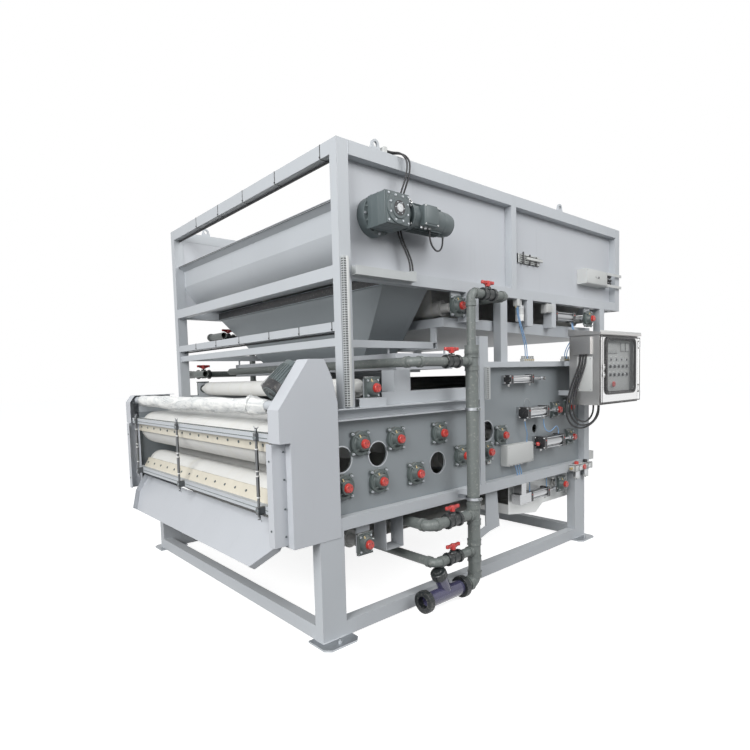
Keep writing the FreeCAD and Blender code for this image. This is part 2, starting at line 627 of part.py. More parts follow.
def rod(name, start, radius, length, along):
    """A round bar from its start towards the positive direction of its axis."""
    bar = DOC.addObject("Part::Cylinder", name)
    bind(bar, Radius=radius, Height=length)
    return put(bar, *start, TURNS[along])


def taper(name, start, radius, end_radius, length, along):
    cone = DOC.addObject("Part::Cone", name)
    bind(cone, Radius1=radius, Radius2=end_radius, Height=length)
    return put(cone, *start, TURNS[along])


def fuse(name, pieces):
    joined = DOC.addObject("Part::MultiFuse", name)
    joined.Shapes = pieces
    return joined


def cut(name, base, tools):
    tool = tools[0] if len(tools) == 1 else fuse(name + "_tools", tools)
    result = DOC.addObject("Part::Cut", name)
    result.Base = base
    result.Tool = tool
    return result


def group(name, pieces):
    together = DOC.addObject("Part::Compound", name)
    together.Links = pieces
    return together


def node(label, pieces):
    """Names one sub-part: a piece, or several of one kind."""
    piece = pieces[0] if len(pieces) == 1 else group(label, pieces)
    piece.Label = label
    NODES.append(piece)
    return piece


def tube(name, low, size, along, wall):
    """A rectangular hollow section with open ends."""
    inner_low = []
    inner_size = []
    for axis, start, length in zip("XYZ", low, size):
        if axis == along:
            inner_low.append(start - CUT_OVER)
            inner_size.append(length + 2 * CUT_OVER)
        else:
            inner_low.append(start + wall)
            inner_size.append(length - 2 * wall)
    outer = block(name + "_outer", low, size)
    inner = block(name + "_inner", inner_low, inner_size)
    return cut(name, outer, [inner])


def side_low(side, inset, depth):
    """The lower Y of a piece at an inset from the near or far side."""
    if side == "near":
        return inset - S.base_width / 2
    return S.base_width / 2 - inset - depth


def feature(name, shape):
    """A piece whose shape comes from the sizes read here, in place along X like the others."""
    thing = DOC.addObject("Part::Feature", name)
    thing.Shape = shape
    thing.Placement = FreeCAD.Placement(V(-float(S.base_length) / 2, 0, 0), ALONG_Z)
    return thing


def body(name):
    return DOC.addObject("PartDesign::Body", name)


def pin_point(drawing, geometry, end, x, y):
    """Ties one point of a sketch to the sheet."""
    for kind, size in (("DistanceX", as_size(x)), ("DistanceY", as_size(y))):
        index = drawing.addConstraint(Sketcher.Constraint(kind, -1, 1, geometry, end, size.value))
        drawing.setExpression(f"Constraints[{index}]", size.text)


def arc_between(start, end, radius, turn):
    """The arc from start to end that turns left for turn 1 and right for turn -1."""
    chord = end - start
    middle = (start + end) / 2
    left = V(-chord.y, chord.x, 0).normalize()
    rise = math.sqrt(max(radius**2 - (chord.Length / 2) ** 2, 0))
    centre = middle + left * rise * turn
    first, last = (start, end) if turn > 0 else (end, start)
    angles = [math.atan2(p.y - centre.y, p.x - centre.x) for p in (first, last)]
    if angles[1] < angles[0]:
        angles[1] += 2 * math.pi
    return Part.ArcOfCircle(Part.Circle(centre, V(0, 0, 1), radius), *angles)


def draw_loop(drawing, points):
    """A closed outline. A point is x and y, and a radius and turn where an arc leaves it."""
    first = drawing.GeometryCount
    spots = [V(float(p[0]), float(p[1]), 0) for p in points]
    ends = []
    for index, point in enumerate(points):
        start = spots[index]
        end = spots[(index + 1) % len(points)]
        if len(point) == 2:
            drawing.addGeometry(Part.LineSegment(start, end), False)
            ends.append((1, 2))
        else:
            drawing.addGeometry(arc_between(start, end, float(point[2]), point[3]), False)
            ends.append((1, 2) if point[3] > 0 else (2, 1))
    for index, point in enumerate(points):
        following = (index + 1) % len(points)
        joint = (first + index, ends[index][1], first + following, ends[following][0])
        drawing.addConstraint(Sketcher.Constraint("Coincident", *joint))
        pin_point(drawing, first + index, ends[index][0], point[0], point[1])
        if len(point) == 4:
            radius = as_size(point[2])
            curve = drawing.addConstraint(
                Sketcher.Constraint("Radius", first + index, radius.value)
            )
            drawing.setExpression(f"Constraints[{curve}]", radius.text)


def sketch(owner, plane, name, loops=(), circles=()):
    """A sketch on one of the body's own planes."""
    drawing = owner.newObject("Sketcher::SketchObject", name)
    face = next(f for f in owner.Origin.OriginFeatures if f.Role == plane)
    drawing.AttachmentSupport = [(face, "")]
    drawing.MapMode = "FlatFace"
    for points in loops:
        draw_loop(drawing, points)
    for x, y, radius in circles:
        radius = as_size(radius)
        centre = V(float(x), float(y), 0)
        index = drawing.addGeometry(Part.Circle(centre, V(0, 0, 1), radius.value), False)
        pin_point(drawing, index, 3, x, y)
        curve = drawing.addConstraint(Sketcher.Constraint("Radius", index, radius.value))
        drawing.setExpression(f"Constraints[{curve}]", radius.text)
    return drawing


def pad(owner, drawing, name, length, way="Symmetric"):
    solid = owner.newObject("PartDesign::Pad", name)
    solid.Profile = drawing
    solid.SideType = way
    bind(solid, Length=length)
    return solid


def plate(name, y_middle, thickness, outline, holes=()):
    """An upright plate along the machine, from its outline in X and Z."""
    owner = body(name)
    pad(owner, sketch(owner, "XZ_Plane", name + "_outline", [outline], holes), name + "_pad", thickness)
    return put(owner, 0, y_middle, 0)


def side_middle(side, inset, thickness):
    return side_low(side, inset, thickness) + thickness / 2


SIDES = ("near", "far")
UPPER_HALF = S.base_width / 2 - S.upper_inset - S.post_deep
INNER_HALF = UPPER_HALF - S.inner_inset
TRAY_HALF = S.base_width / 2 - S.upper_inset - S.tray_hanger_deep
BOX_HALF = INNER_HALF + S.box_past


def make_legs():
    tubes = []
    for end, x in (("discharge", as_size(0)), ("feed", S.base_length - S.leg_depth)):
        for side in SIDES:
            low = (x, side_low(side, 0, S.leg_width), S.foot_thickness)
            size = (S.leg_depth, S.leg_width, S.body_floor - S.foot_thickness)
            tubes.append(tube(f"leg_{end}_{side}", low, size, "Z", S.leg_wall))
    node("legs", tubes)


def make_foot_plate(end, side, leg_x):
    """A foot plate with cut corners on its ear, where the anchor hole is."""
    owner = body(f"foot_{end}_{side}")
    outer = -S.foot_ear
    inner = S.leg_width + S.foot_tuck
    left = -S.foot_overhang
    right = S.leg_depth + S.foot_overhang
    outline = [
        (left + S.foot_chamfer, outer),
        (right - S.foot_chamfer, outer),
        (right, outer + S.foot_chamfer),
        (right, inner),
        (left, inner),
        (left, outer + S.foot_chamfer),
    ]
    hole = (S.leg_depth / 2, -S.anchor_outset, S.anchor_hole)
    drawing = sketch(owner, "XY_Plane", f"foot_{end}_{side}_outline", [outline], [hole])
    pad(owner, drawing, f"foot_{end}_{side}_pad", S.foot_thickness, "One side")
    if side == "near":
        return put(owner, leg_x, -S.base_width / 2, 0)
    return put(owner, leg_x + S.leg_depth, S.base_width / 2, 0, FreeCAD.Rotation(V(0, 0, 1), 180))


def make_feet():
    plates = []
    for end, x in (("discharge", as_size(0)), ("feed", S.base_length - S.leg_depth)):
        for side in SIDES:
            plates.append(make_foot_plate(end, side, x))
    node("foot_plates", plates)


def make_base_beams():
    beams = []
    for side in SIDES:
        low = (S.leg_depth, side_low(side, 0, S.base_beam_wide), S.foot_thickness)
        size = (S.base_length - 2 * S.leg_depth, S.base_beam_wide, S.base_beam_high)
        beams.append(tube(f"long_beam_{side}", low, size, "X", S.beam_wall))
    for end, x in (("discharge", as_size(0)), ("feed", S.base_length - S.base_beam_wide)):
        low = (x, S.leg_width - S.base_width / 2, S.foot_thickness)
        size = (S.base_beam_wide, S.base_width - 2 * S.leg_width, S.base_beam_high)
        beams.append(tube(f"cross_beam_{end}", low, size, "Y", S.beam_wall))
    node("base_beams", beams)


CROSS_BEAMS = [S.cross_1_x, S.cross_2_x, S.cross_3_x, S.cross_4_x]


def make_body_beams():
    """The body's bottom beams with the beams across between them."""
    beams = []
    for side in SIDES:
        low = (S.body_start, side_low(side, 0, S.body_beam_wide), S.body_floor)
        size = (S.body_end + S.end_post_wide - S.body_start, S.body_beam_wide, S.body_beam_high)
        beams.append(tube(f"bottom_beam_{side}", low, size, "X", S.beam_wall))
    inner = S.base_width - 2 * S.body_beam_wide
    for index, x in enumerate(CROSS_BEAMS, start=1):
        low = (x, -inner / 2, S.body_cross_z)
        size = (S.body_cross_wide, inner, S.body_cross_high)
        beams.append(tube(f"body_cross_beam_{index}", low, size, "Y", S.beam_wall))
    node("body_beams", beams)


def spot(name):
    """A place in X and Z from the sheet."""
    return (getattr(S, f"{name}_x"), getattr(S, f"{name}_z"))


PRESS_ROLLERS = [spot(f"press_{number}") for number in range(1, 8)]
REAR_ROLLERS = [spot("rear_1"), spot("rear_2")]
PORTS = [spot("port_1"), spot("port_2"), spot("port_3")]
REAR_PORT = spot("rear_port")
SMALL_PORT = spot("small_port")
TOP_GUIDE = spot("top_guide")
WEDGE_ROLLER = spot("wedge_roller")
TURN_ROLLER = spot("turn_roller")
FEED_GUIDE_LOW = spot("feed_guide_low")
FEED_GUIDE_HIGH = spot("feed_guide_high")
RETURN_LOW = spot("return_low")
RETURN_HIGH = spot("return_high")
TENSION = spot("tension")
LIFT = (S.lift_x, S.tension_z)


def make_side_plates():
    """Side plates with holes for the journals and with open ports."""
    body_top = S.body_floor + S.body_beam_high
    rear_x = S.splice_x + S.splice_wide
    rear_top = S.rear_top - S.rear_beam_high
    press_outline = [
        (S.body_start, body_top),
        (S.splice_x, body_top),
        (S.splice_x, S.press_top),
        (S.body_start, S.press_top),
    ]
    rear_outline = [
        (rear_x, body_top),
        (S.body_end, body_top),
        (S.body_end, rear_top),
        (rear_x, rear_top),
    ]
    drives = [(S.drive_high_x, S.drive_high_z), (S.drive_low_x, S.drive_low_z)]
    press_holes = [(x, z, S.shaft_hole) for x, z in PRESS_ROLLERS + drives]
    press_holes += [(x, z, S.port_radius) for x, z in PORTS]
    feed_rollers = [WEDGE_ROLLER, TURN_ROLLER, FEED_GUIDE_LOW, FEED_GUIDE_HIGH]
    rear_holes = [(x, z, S.shaft_hole) for x, z in REAR_ROLLERS + feed_rollers]
    rear_holes += [(*REAR_PORT, S.port_radius), (*SMALL_PORT, S.small_port_radius)]
    press_plates = []
    rear_plates = []
    for side in SIDES:
        middle = side_middle(side, S.plate_inset, S.plate_thickness)
        thick = S.plate_thickness
        press_plates.append(plate(f"press_plate_{side}", middle, thick, press_outline, press_holes))
        rear_plates.append(plate(f"rear_plate_{side}", middle, thick, rear_outline, rear_holes))
    node("press_side_plates", press_plates)
    node("rear_side_plates", rear_plates)


def make_top_rails():
    """Channels that open outwards along the press side plates, each with a rail on it."""
    rails = []
    deep = S.plate_inset + S.plate_thickness
    for side in SIDES:
        low_y = side_low(side, 0, deep)
        size = (S.splice_x - S.body_start, deep, S.channel_high)
        outer = block(f"channel_{side}_outer", (S.body_start, low_y, S.press_top), size)
        gap = deep - S.channel_wall
        gap_y = side_low(side, -as_size(CUT_OVER), gap + CUT_OVER)
        gap_low = (S.body_start - CUT_OVER, gap_y, S.press_top + S.channel_wall)
        gap_size = (size[0] + 2 * CUT_OVER, gap + CUT_OVER, S.channel_high - 2 * S.channel_wall)
        channel = cut(f"channel_{side}", outer, [block(f"channel_{side}_gap", gap_low, gap_size)])
        start = S.stand_x + S.stand_long
        low = (start, side_low(side, S.plate_inset, S.rail_wide), S.press_top + S.channel_high)
        size = (S.splice_x - start, S.rail_wide, S.rail_high)
        rail = tube(f"top_rail_{side}", low, size, "X", S.beam_wall)
        rails += [channel, rail]
    node("top_rails", rails)


def make_body_posts():
    """Splice posts between the two lengths of the body, and the frames of its rear."""
    posts = []
    body_top = S.body_floor + S.body_beam_high
    deep = S.plate_inset + S.plate_thickness
    for side in SIDES:
        low = (S.splice_x, side_low(side, 0, deep), body_top)
        size = (S.splice_wide, deep, S.splice_top - body_top)
        post = tube(f"splice_post_{side}", low, size, "Z", S.beam_wall)
        wing_low = (
            S.splice_x + S.splice_wide,
            side_low(side, 0, S.splice_wing_thickness),
            S.splice_wing_low,
        )
        wing_size = (S.splice_wing_wide, S.splice_wing_thickness, S.splice_top - S.splice_wing_low)
        wing = block(f"splice_wing_{side}", wing_low, wing_size)
        posts += [post, wing]
    node("splice_posts", posts)
    frames = []
    start = S.splice_x + S.splice_wide + S.splice_wing_wide
    beam_z = S.rear_top - S.rear_beam_high
    for side in SIDES:
        low = (S.body_end, side_low(side, 0, deep), body_top)
        post_size = (S.end_post_wide, deep, beam_z - body_top)
        post = tube(f"end_post_{side}", low, post_size, "Z", S.beam_wall)
        low = (start, side_low(side, 0, S.rear_beam_wide), beam_z)
        beam_size = (S.rear_beam_end - start, S.rear_beam_wide, S.rear_beam_high)
        beam = tube(f"rear_top_beam_{side}", low, beam_size, "X", S.tube_wall)
        frames += [post, beam]
    node("rear_frames", frames)


def splice_hangers():
    """Plates under the splice, each with a foot that slants back."""
    plates = []
    for side in SIDES:
        right = S.hanger_x + S.hanger_wide
        outline = [
            (S.hanger_x, S.body_floor),
            (right, S.body_floor),
            (right + S.foot_chamfer, S.hanger_low + S.foot_chamfer),
            (S.hanger_x + S.hanger_wide / 3, S.hanger_low + S.foot_chamfer / 2),
            (S.hanger_x - S.hanger_foot, S.hanger_low - S.foot_chamfer),
            (S.hanger_x - S.hanger_foot, S.hanger_low + S.foot_chamfer),
            (S.hanger_x, S.hanger_low + 2 * S.foot_chamfer),
        ]
        middle = side_middle(side, S.plate_inset, S.hanger_thickness)
        plates.append(plate(f"hanger_{side}", middle, S.hanger_thickness, outline))
    return plates


def drip_outline(inset, top):
    """The drip tray's side outline, drawn in by an inset."""
    return [
        (S.drip_x + inset, S.drip_start_z + inset),
        (S.drip_low_x, S.drip_low_z + inset),
        (S.drip_rise_x, S.drip_rise_z + inset),
        (S.drip_end - inset, S.drip_rise_z + inset),
        (S.drip_end - inset, top),
        (S.drip_x + inset, top),
    ]


def make_drip_tray():
    """A folded tray under the body with sides that reach up to its cross beams."""
    wide = S.base_width - 2 * S.drip_inset
    outer = plate("drip_outer", as_size(0), wide, drip_outline(as_size(0), S.body_cross_z))
    inner_wide = wide - 2 * S.sheet
    inner = plate("drip_inner", as_size(0), inner_wide, drip_outline(S.sheet, S.body_cross_z + CUT_OVER))
    over = S.drip_rise_z + S.drip_end_high
    window_low = (S.drip_x - CUT_OVER, -inner_wide / 2, over)
    window_size = (S.drip_end - S.drip_x + 2 * CUT_OVER, inner_wide, S.body_cross_z - over + CUT_OVER)
    window = block("drip_window", window_low, window_size)
    shaft = (S.return_high_x, -wide / 2 - CUT_OVER, S.return_high_z)
    hole = rod("drip_hole", shaft, S.shaft_hole, wide + 2 * CUT_OVER, "Y")
    node("drip_tray", [cut("drip_tray_cut", outer, [inner, window, hole])])


def make_upper_posts():
    posts = []
    foot = S.press_top + S.channel_high
    for side in SIDES:
        low_y = side_low(side, S.upper_inset, S.post_deep)
        places = [
            (S.upper_x, foot, S.upper_top),
            (S.mid_post_x, S.rear_top, S.low_chord_z),
            (S.rear_post_x, S.rear_top, S.low_chord_z),
            (S.upper_end - S.post_wide, S.low_chord_z, S.upper_top),
        ]
        for index, (x, low_z, high_z) in enumerate(places, start=1):
            size = (S.post_wide, S.post_deep, high_z - low_z)
            name = f"upper_post_{side}_{index}"
            posts.append(tube(name, (x, low_y, low_z), size, "Z", S.tube_wall))
    node("upper_posts", posts)


def make_upper_chords():
    """Chords along both sides of the upper frame, with the beams across between them."""
    beams = []
    for side in SIDES:
        low_y = side_low(side, S.upper_inset, S.post_deep)
        start = S.upper_x + S.post_wide
        long = S.upper_end - S.post_wide - start
        top_z = S.upper_top - S.top_chord_high
        top_size = (long, S.post_deep, S.top_chord_high)
        low_size = (long, S.post_deep, S.low_chord_high)
        top = tube(f"top_chord_{side}", (start, low_y, top_z), top_size, "X", S.tube_wall)
        low = tube(f"low_chord_{side}", (start, low_y, S.low_chord_z), low_size, "X", S.tube_wall)
        stiff_z = S.low_chord_z + S.low_chord_high
        size = (S.stiffener_wide, S.post_deep, top_z - stiff_z)
        stiffener = tube(f"stiffener_{side}", (S.stiffener_x, low_y, stiff_z), size, "Z", S.tube_wall)
        beams += [top, low, stiffener]
    half = UPPER_HALF
    feed_x = S.upper_end - S.cross_deep
    top_z = S.upper_top - S.top_chord_high
    places = [
        (S.upper_x, top_z, S.top_chord_high),
        (S.upper_x, S.low_chord_z, S.low_chord_high),
        (S.upper_x, S.third_beam_z, S.third_beam_high),
        (S.stiffener_x, top_z, S.top_chord_high),
        (feed_x, top_z, S.top_chord_high),
        (feed_x, S.low_chord_z, S.low_chord_high),
    ]
    for index, (x, z, high) in enumerate(places, start=1):
        size = (S.cross_deep, 2 * half, high)
        beams.append(tube(f"upper_cross_beam_{index}", (x, -half, z), size, "Y", S.tube_wall))
    node("upper_chords", beams)


def make_upper_panels():
    panels = []
    start = S.upper_x + S.post_wide
    for side in SIDES:
        low = (start, side_low(side, S.panel_inset, S.panel_thickness), S.low_chord_z + S.low_chord_high)
        high = S.upper_top - S.top_chord_high - S.low_chord_z - S.low_chord_high
        inset_panel = (S.upper_end - S.post_wide - start, S.panel_thickness, high)
        sheet_piece = block(f"panel_{side}", low, inset_panel)
        notch_low = (S.stiffener_x, side_low(side, S.upper_inset, S.post_deep), low[2])
        notch = block(f"panel_notch_{side}", notch_low, (S.stiffener_wide, S.post_deep, high))
        panels.append(cut(f"panel_cut_{side}", sheet_piece, [notch]))
    node("upper_panels", panels)


def make_lifting_lugs():
    lugs = []
    for side in SIDES:
        middle = side_middle(side, S.lug_inset, S.lug_thickness)
        for index, x in enumerate((S.first_lug_x, S.second_lug_x), start=1):
            crown = S.lug_wide / 3
            left = x - S.lug_wide / 2
            right = x + S.lug_wide / 2
            eye_z = S.upper_top + S.lug_high - crown
            outline = [
                (left, S.upper_top),
                (right, S.upper_top),
                (x + crown, eye_z, crown, 1),
                (x, eye_z + crown, crown, 1),
                (x - crown, eye_z),
            ]
            eye = (x, eye_z, S.lug_eye)
            lugs.append(plate(f"lug_{side}_{index}", middle, S.lug_thickness, outline, [eye]))
    node("lifting_lugs", lugs)


def make_trough():
    """A folded and rolled sheet under the thickening belt's discharge."""
    points = [
        (S.trough_lip_x, S.trough_lip_z),
        (S.trough_front_x, S.trough_fold_z),
        (S.trough_front_x, S.trough_bend_z, S.trough_round, 1),
        (S.trough_tail_x, S.trough_tail_z),
        (S.trough_tail_x + S.sheet, S.trough_tail_z + S.sheet, S.trough_round - S.sheet, -1),
        (S.trough_front_x + S.sheet, S.trough_bend_z),
        (S.trough_front_x + S.sheet, S.trough_fold_z + S.sheet / 2),
        (S.trough_lip_x + S.sheet / 2, S.trough_lip_z + S.sheet),
    ]
    node("thickener_trough", [plate("trough", as_size(0), 2 * UPPER_HALF, points)])


def hopper_wire(inset, level, stretch):
    """The hopper's outline at its outlet, its fold or its rim, drawn in by an inset."""
    if level == "outlet":
        x = S.hopper_low_x
        half = S.hopper_low_half
        long = S.hopper_low_long
        z = float(S.hopper_low_z)
    else:
        x = S.hopper_x
        half = UPPER_HALF
        long = S.hopper_long
        z = float(S.hopper_top_z if level == "rim" else S.hopper_top_z - S.hopper_rim)
    left = float(x) + inset
    right = float(x + long) - inset
    wide = float(half) - inset
    z += stretch
    corners = [V(left, -wide, z), V(right, -wide, z), V(right, wide, z), V(left, wide, z)]
    return Part.makePolygon(corners + corners[:1])


def make_hopper():
    """A tapered transfer hopper of sheet metal with an upright rim between the low chords."""
    levels = (("outlet", -1), ("fold", 0), ("rim", 1))
    outer_wires = [hopper_wire(0, level, 0) for level, way in levels]
    inner_wires = [hopper_wire(float(S.sheet), level, way) for level, way in levels]
    outer = Part.makeLoft(outer_wires[:2], True).fuse(Part.makeLoft(outer_wires[1:], True))
    inner = Part.makeLoft(inner_wires[:2], True).fuse(Part.makeLoft(inner_wires[1:], True))
    node("transfer_hopper", [feature("hopper", outer.cut(inner).removeSplitter())])


def make_tray():
    """A shallow tray under the thickening belt, with a rim all round, lower at the feed end."""
    outline = [
        (S.tray_x, S.tray_high_z),
        (S.tray_end, S.tray_low_z),
        (S.tray_end, S.tray_rim_z),
        (S.tray_x, S.tray_rim_z),
    ]
    outer = plate("tray_outer", as_size(0), 2 * TRAY_HALF, outline)
    hollow = [
        (S.tray_x + S.sheet, S.tray_high_z + S.sheet),
        (S.tray_end - S.sheet, S.tray_low_z + S.sheet),
        (S.tray_end - S.sheet, S.tray_rim_z + CUT_OVER),
        (S.tray_x + S.sheet, S.tray_rim_z + CUT_OVER),
    ]
    inner = plate("tray_hollow", as_size(0), 2 * TRAY_HALF - 2 * S.sheet, hollow)
    node("collecting_tray", [cut("tray", outer, [inner])])


def tray_floor(x):
    """The height of the tray's sloping underside."""
    fall = (S.tray_high_z - S.tray_low_z) / (S.tray_end - S.tray_x)
    return S.tray_high_z - fall * (x - S.tray_x)


def make_inner_frame():
    """A light frame between the upper posts that hangs from the tray and carries the box."""
    beams = []
    thick = S.inner_beam_high
    for side in SIDES:
        low_y = side_low(side, S.base_width / 2 - INNER_HALF, thick)
        size = (S.inner_end - S.inner_start - 2 * thick, thick, thick)
        low = (S.inner_start + thick, low_y, S.inner_beam_z)
        beams.append(tube(f"inner_beam_{side}", low, size, "X", S.tube_wall))
        hanger_low = (S.inner_end - S.inner_hanger, low_y, S.inner_beam_z + thick)
        hanger_high = tray_floor(S.inner_end) - S.inner_beam_z - thick
        hanger = block(f"inner_hanger_{side}", hanger_low, (S.inner_hanger, thick, hanger_high))
        beams.append(hanger)
    for index, (x, half) in enumerate(
        ((S.inner_start, UPPER_HALF), (S.inner_end - thick, INNER_HALF)), start=1
    ):
        low = (x, -half, S.inner_beam_z)
        beams.append(tube(f"inner_cross_{index}", low, (thick, 2 * half, thick), "Y", S.tube_wall))
    hangers = list(beams)
    places = [
        (S.first_hanger_x, S.first_hanger_wide),
        (S.second_hanger_x, S.second_hanger_wide),
        (S.third_hanger_x, S.third_hanger_wide),
    ]
    deep = S.tray_hanger_deep
    for side in SIDES:
        for index, (x, wide) in enumerate(places, start=1):
            low = (x, side_low(side, S.upper_inset, deep), S.tray_hanger_low)
            size = (wide, deep, S.low_chord_z - S.tray_hanger_low)
            hangers.append(block(f"tray_hanger_{side}_{index}", low, size))
    for side in SIDES:
        for name, (x, z) in (("tension", TENSION), ("lift", LIFT)):
            half = S.return_plate_wide / 2
            outline = [
                (x - half, z - S.return_plate_past),
                (x + half, z - S.return_plate_past),
                (x + half, S.low_chord_z),
                (x - half, S.low_chord_z),
            ]
            middle = side_middle(side, S.plate_inset, S.plate_thickness)
            hole = (x, z, S.shaft_hole)
            hangers.append(plate(f"{name}_plate_{side}", middle, S.plate_thickness, outline, [hole]))
    node("inner_frames", hangers)


def roller(name, x, z, radius, reach):
    """A roller face on its neck, with a journal that reaches out to both sides of the middle."""
    face = rod(f"{name}_face", (x, -S.roller_face / 2, z), radius, S.roller_face, "Y")
    neck = rod(f"{name}_neck", (x, -S.neck_reach, z), S.neck, 2 * S.neck_reach, "Y")
    journal = rod(f"{name}_journal", (x, -reach, z), S.journal, 2 * reach, "Y")
    return fuse(name, [face, neck, journal])


def make_rollers():
    reach = S.base_width / 2 - S.plate_inset + S.housing_deep + S.hub_deep
    rollers = []
    for index, (x, z) in enumerate(PRESS_ROLLERS, start=1):
        rollers.append(roller(f"press_roller_{index}", x, z, S.press_roller, reach))
    for index, (x, z) in enumerate(REAR_ROLLERS, start=1):
        rollers.append(roller(f"rear_roller_{index}", x, z, S.rear_roller, reach))
    node("press_rollers", rollers)
    guides = []
    places = [TOP_GUIDE, WEDGE_ROLLER, FEED_GUIDE_LOW, FEED_GUIDE_HIGH, RETURN_LOW, RETURN_HIGH]
    for index, (x, z) in enumerate(places, start=1):
        guides.append(roller(f"guide_roller_{index}", x, z, S.guide_roller, reach))
    guides.append(roller("turn_roller", *TURN_ROLLER, S.turn_roller_radius, reach))
    node("guide_rollers", guides)
    high = roller("drive_high", S.drive_high_x, S.drive_high_z, S.drive_high, reach - S.drive_short)
    node("discharge_roller_upper", [high])
    low = roller("drive_low", S.drive_low_x, S.drive_low_z, S.drive_low, reach - S.drive_short)
    node("discharge_roller_lower", [low])
    ends = []
    panel_reach = S.base_width / 2 - S.panel_inset - S.panel_thickness
    for name, x in (("thickener_drive", S.thickener_drive_x), ("thickener_tail", S.thickener_tail_x)):
        ends.append(roller(name, x, S.thickener_z, S.thickener_roller, panel_reach))
    ends.append(roller("snub_roller", S.snub_x, S.snub_z, S.guide_roller, panel_reach))
    ends.append(roller("tension_roller", *TENSION, S.guide_roller, reach))
    ends.append(roller("lift_roller", *LIFT, S.guide_roller, reach))
    deck_start = S.thickener_drive_x + S.deck_end_gap
    deck_long = S.thickener_tail_x - S.deck_end_gap - deck_start
    count = int(float(S.deck_rollers))
    deck_z = S.thickener_z + S.thickener_roller - S.deck_roller
    for index in range(count):
        x = deck_start + deck_long * (index / (count - 1))
        start = (x, -S.roller_face / 2, deck_z)
        deck = rod(f"deck_roller_{index}", start, S.deck_roller, S.roller_face, "Y")
        ends.append(deck)
    node("thickener_rollers", ends)


def lane_radius(radius, way, lane):
    """Radius of the belt face that is on the left of its travel.

    Way is 1 where the belt turns left and -1 where it turns right. Two belts that share a
    roller lie one on the other, in the left or the right lane of the travel.
    """
    gap = float(S.belt_gap)
    thick = float(S.belt_thickness)
    if lane == "left":
        return radius + gap if way > 0 else radius + 2 * gap + 2 * thick
    if lane == "right":
        return radius + 2 * gap + thick if way > 0 else radius + gap + thick
    return radius + gap if way > 0 else radius + gap + thick


def belt_wire(turns):
    """A closed line round the turns: straights and arcs that meet tangentially."""
    headings = []
    for index, (x, z, radius, way) in enumerate(turns):
        next_x, next_z, next_radius, next_way = turns[(index + 1) % len(turns)]
        spread = next_way * next_radius - way * radius
        far = math.hypot(next_x - x, next_z - z)
        bearing_angle = math.atan2(next_z - z, next_x - x)
        headings.append(bearing_angle + math.asin(-spread / far))

    def contact(turn, heading):
        x, z, radius, way = turn
        across = way * radius
        return V(x + across * math.sin(heading), 0, z - across * math.cos(heading))

    edges = []
    for index, turn in enumerate(turns):
        way = turn[3]
        start = headings[index - 1]
        sweep = ((headings[index] - start) * way) % (2 * math.pi) * way
        points = [contact(turn, start + sweep * part) for part in (0, 0.5, 1)]
        edges.append(Part.Arc(*points).toShape())
        following = turns[(index + 1) % len(turns)]
        edges.append(Part.makeLine(points[2], contact(following, headings[index])))
    return Part.Wire(edges)


def belt(name, places, width):
    """A belt that runs as one loop round its rollers."""
    thick = float(S.belt_thickness)
    left = []
    right = []
    for (x, z), radius, way, lane in places:
        reach = lane_radius(float(radius), way, lane)
        left.append((float(x), float(z), reach, way))
        right.append((float(x), float(z), reach + way * thick, way))
    face = Part.makeFace([belt_wire(left), belt_wire(right)], "Part::FaceMakerBullseye")
    half = float(width) / 2
    face.translate(V(0, -half, 0))
    return feature(name, face.extrude(V(0, 2 * half, 0)))


def shared_run(lane):
    """The run between the press rollers, which both belts share."""
    b1, b2, b3, b4, b5, b6, b7 = PRESS_ROLLERS
    b8, b9 = REAR_ROLLERS
    ways = [(b8, 1), (b9, -1), (b7, -1), (b3, 1), (b6, -1), (b2, 1), (b5, -1), (b1, 1)]
    return [
        (spot, S.rear_roller if spot in REAR_ROLLERS else S.press_roller, way, lane)
        for spot, way in ways
    ]


def make_belts():
    """Two belts that wind together round the press rollers."""
    high = (S.drive_high_x, S.drive_high_z)
    low = (S.drive_low_x, S.drive_low_z)
    upper = [(high, S.drive_high, -1, "alone"), (WEDGE_ROLLER, S.guide_roller, -1, "alone")]
    node("belt_upper", [belt("belt_upper_loop", upper + shared_run("right"), S.belt_width)])
    lower = [
        (low, S.drive_low, 1, "alone"),
        (RETURN_LOW, S.guide_roller, 1, "alone"),
        (RETURN_HIGH, S.guide_roller, 1, "alone"),
        (FEED_GUIDE_LOW, S.guide_roller, 1, "alone"),
        (FEED_GUIDE_HIGH, S.guide_roller, 1, "alone"),
        (TOP_GUIDE, S.guide_roller, 1, "alone"),
        (TURN_ROLLER, S.turn_roller_radius, -1, "alone"),
    ]
    after = [(PRESS_ROLLERS[3], S.press_roller, -1, "alone")]
    node("belt_lower", [
        belt("belt_lower_loop", lower + shared_run("left") + after, S.belt_width)
    ])
    drive = (S.thickener_drive_x, S.thickener_z)
    tail = (S.thickener_tail_x, S.thickener_z)
    snub = (S.snub_x, S.snub_z)
    loop = [
        (drive, S.thickener_roller, -1, "alone"),
        (tail, S.thickener_roller, -1, "alone"),
        (LIFT, S.guide_roller, -1, "alone"),
        (TENSION, S.guide_roller, -1, "alone"),
        (snub, S.guide_roller, 1, "alone"),
    ]
    node("thickening_belt", [belt("thickening_loop", loop, S.belt_width)])


def outward_taper(name, side, x, z, inset, deep, root, nose):
    """A cone on a side of the machine that narrows outwards from its root."""
    low = side_low(side, inset - deep, deep)
    radii = (nose, root) if side == "near" else (root, nose)
    return taper(name, (x, low, z), *radii, deep, "Y")


def outward_rod(name, side, x, z, inset, deep, radius):
    """A round piece on a side of the machine, from its inset face outwards."""
    return rod(name, (x, side_low(side, inset - deep, deep), z), radius, deep, "Y")


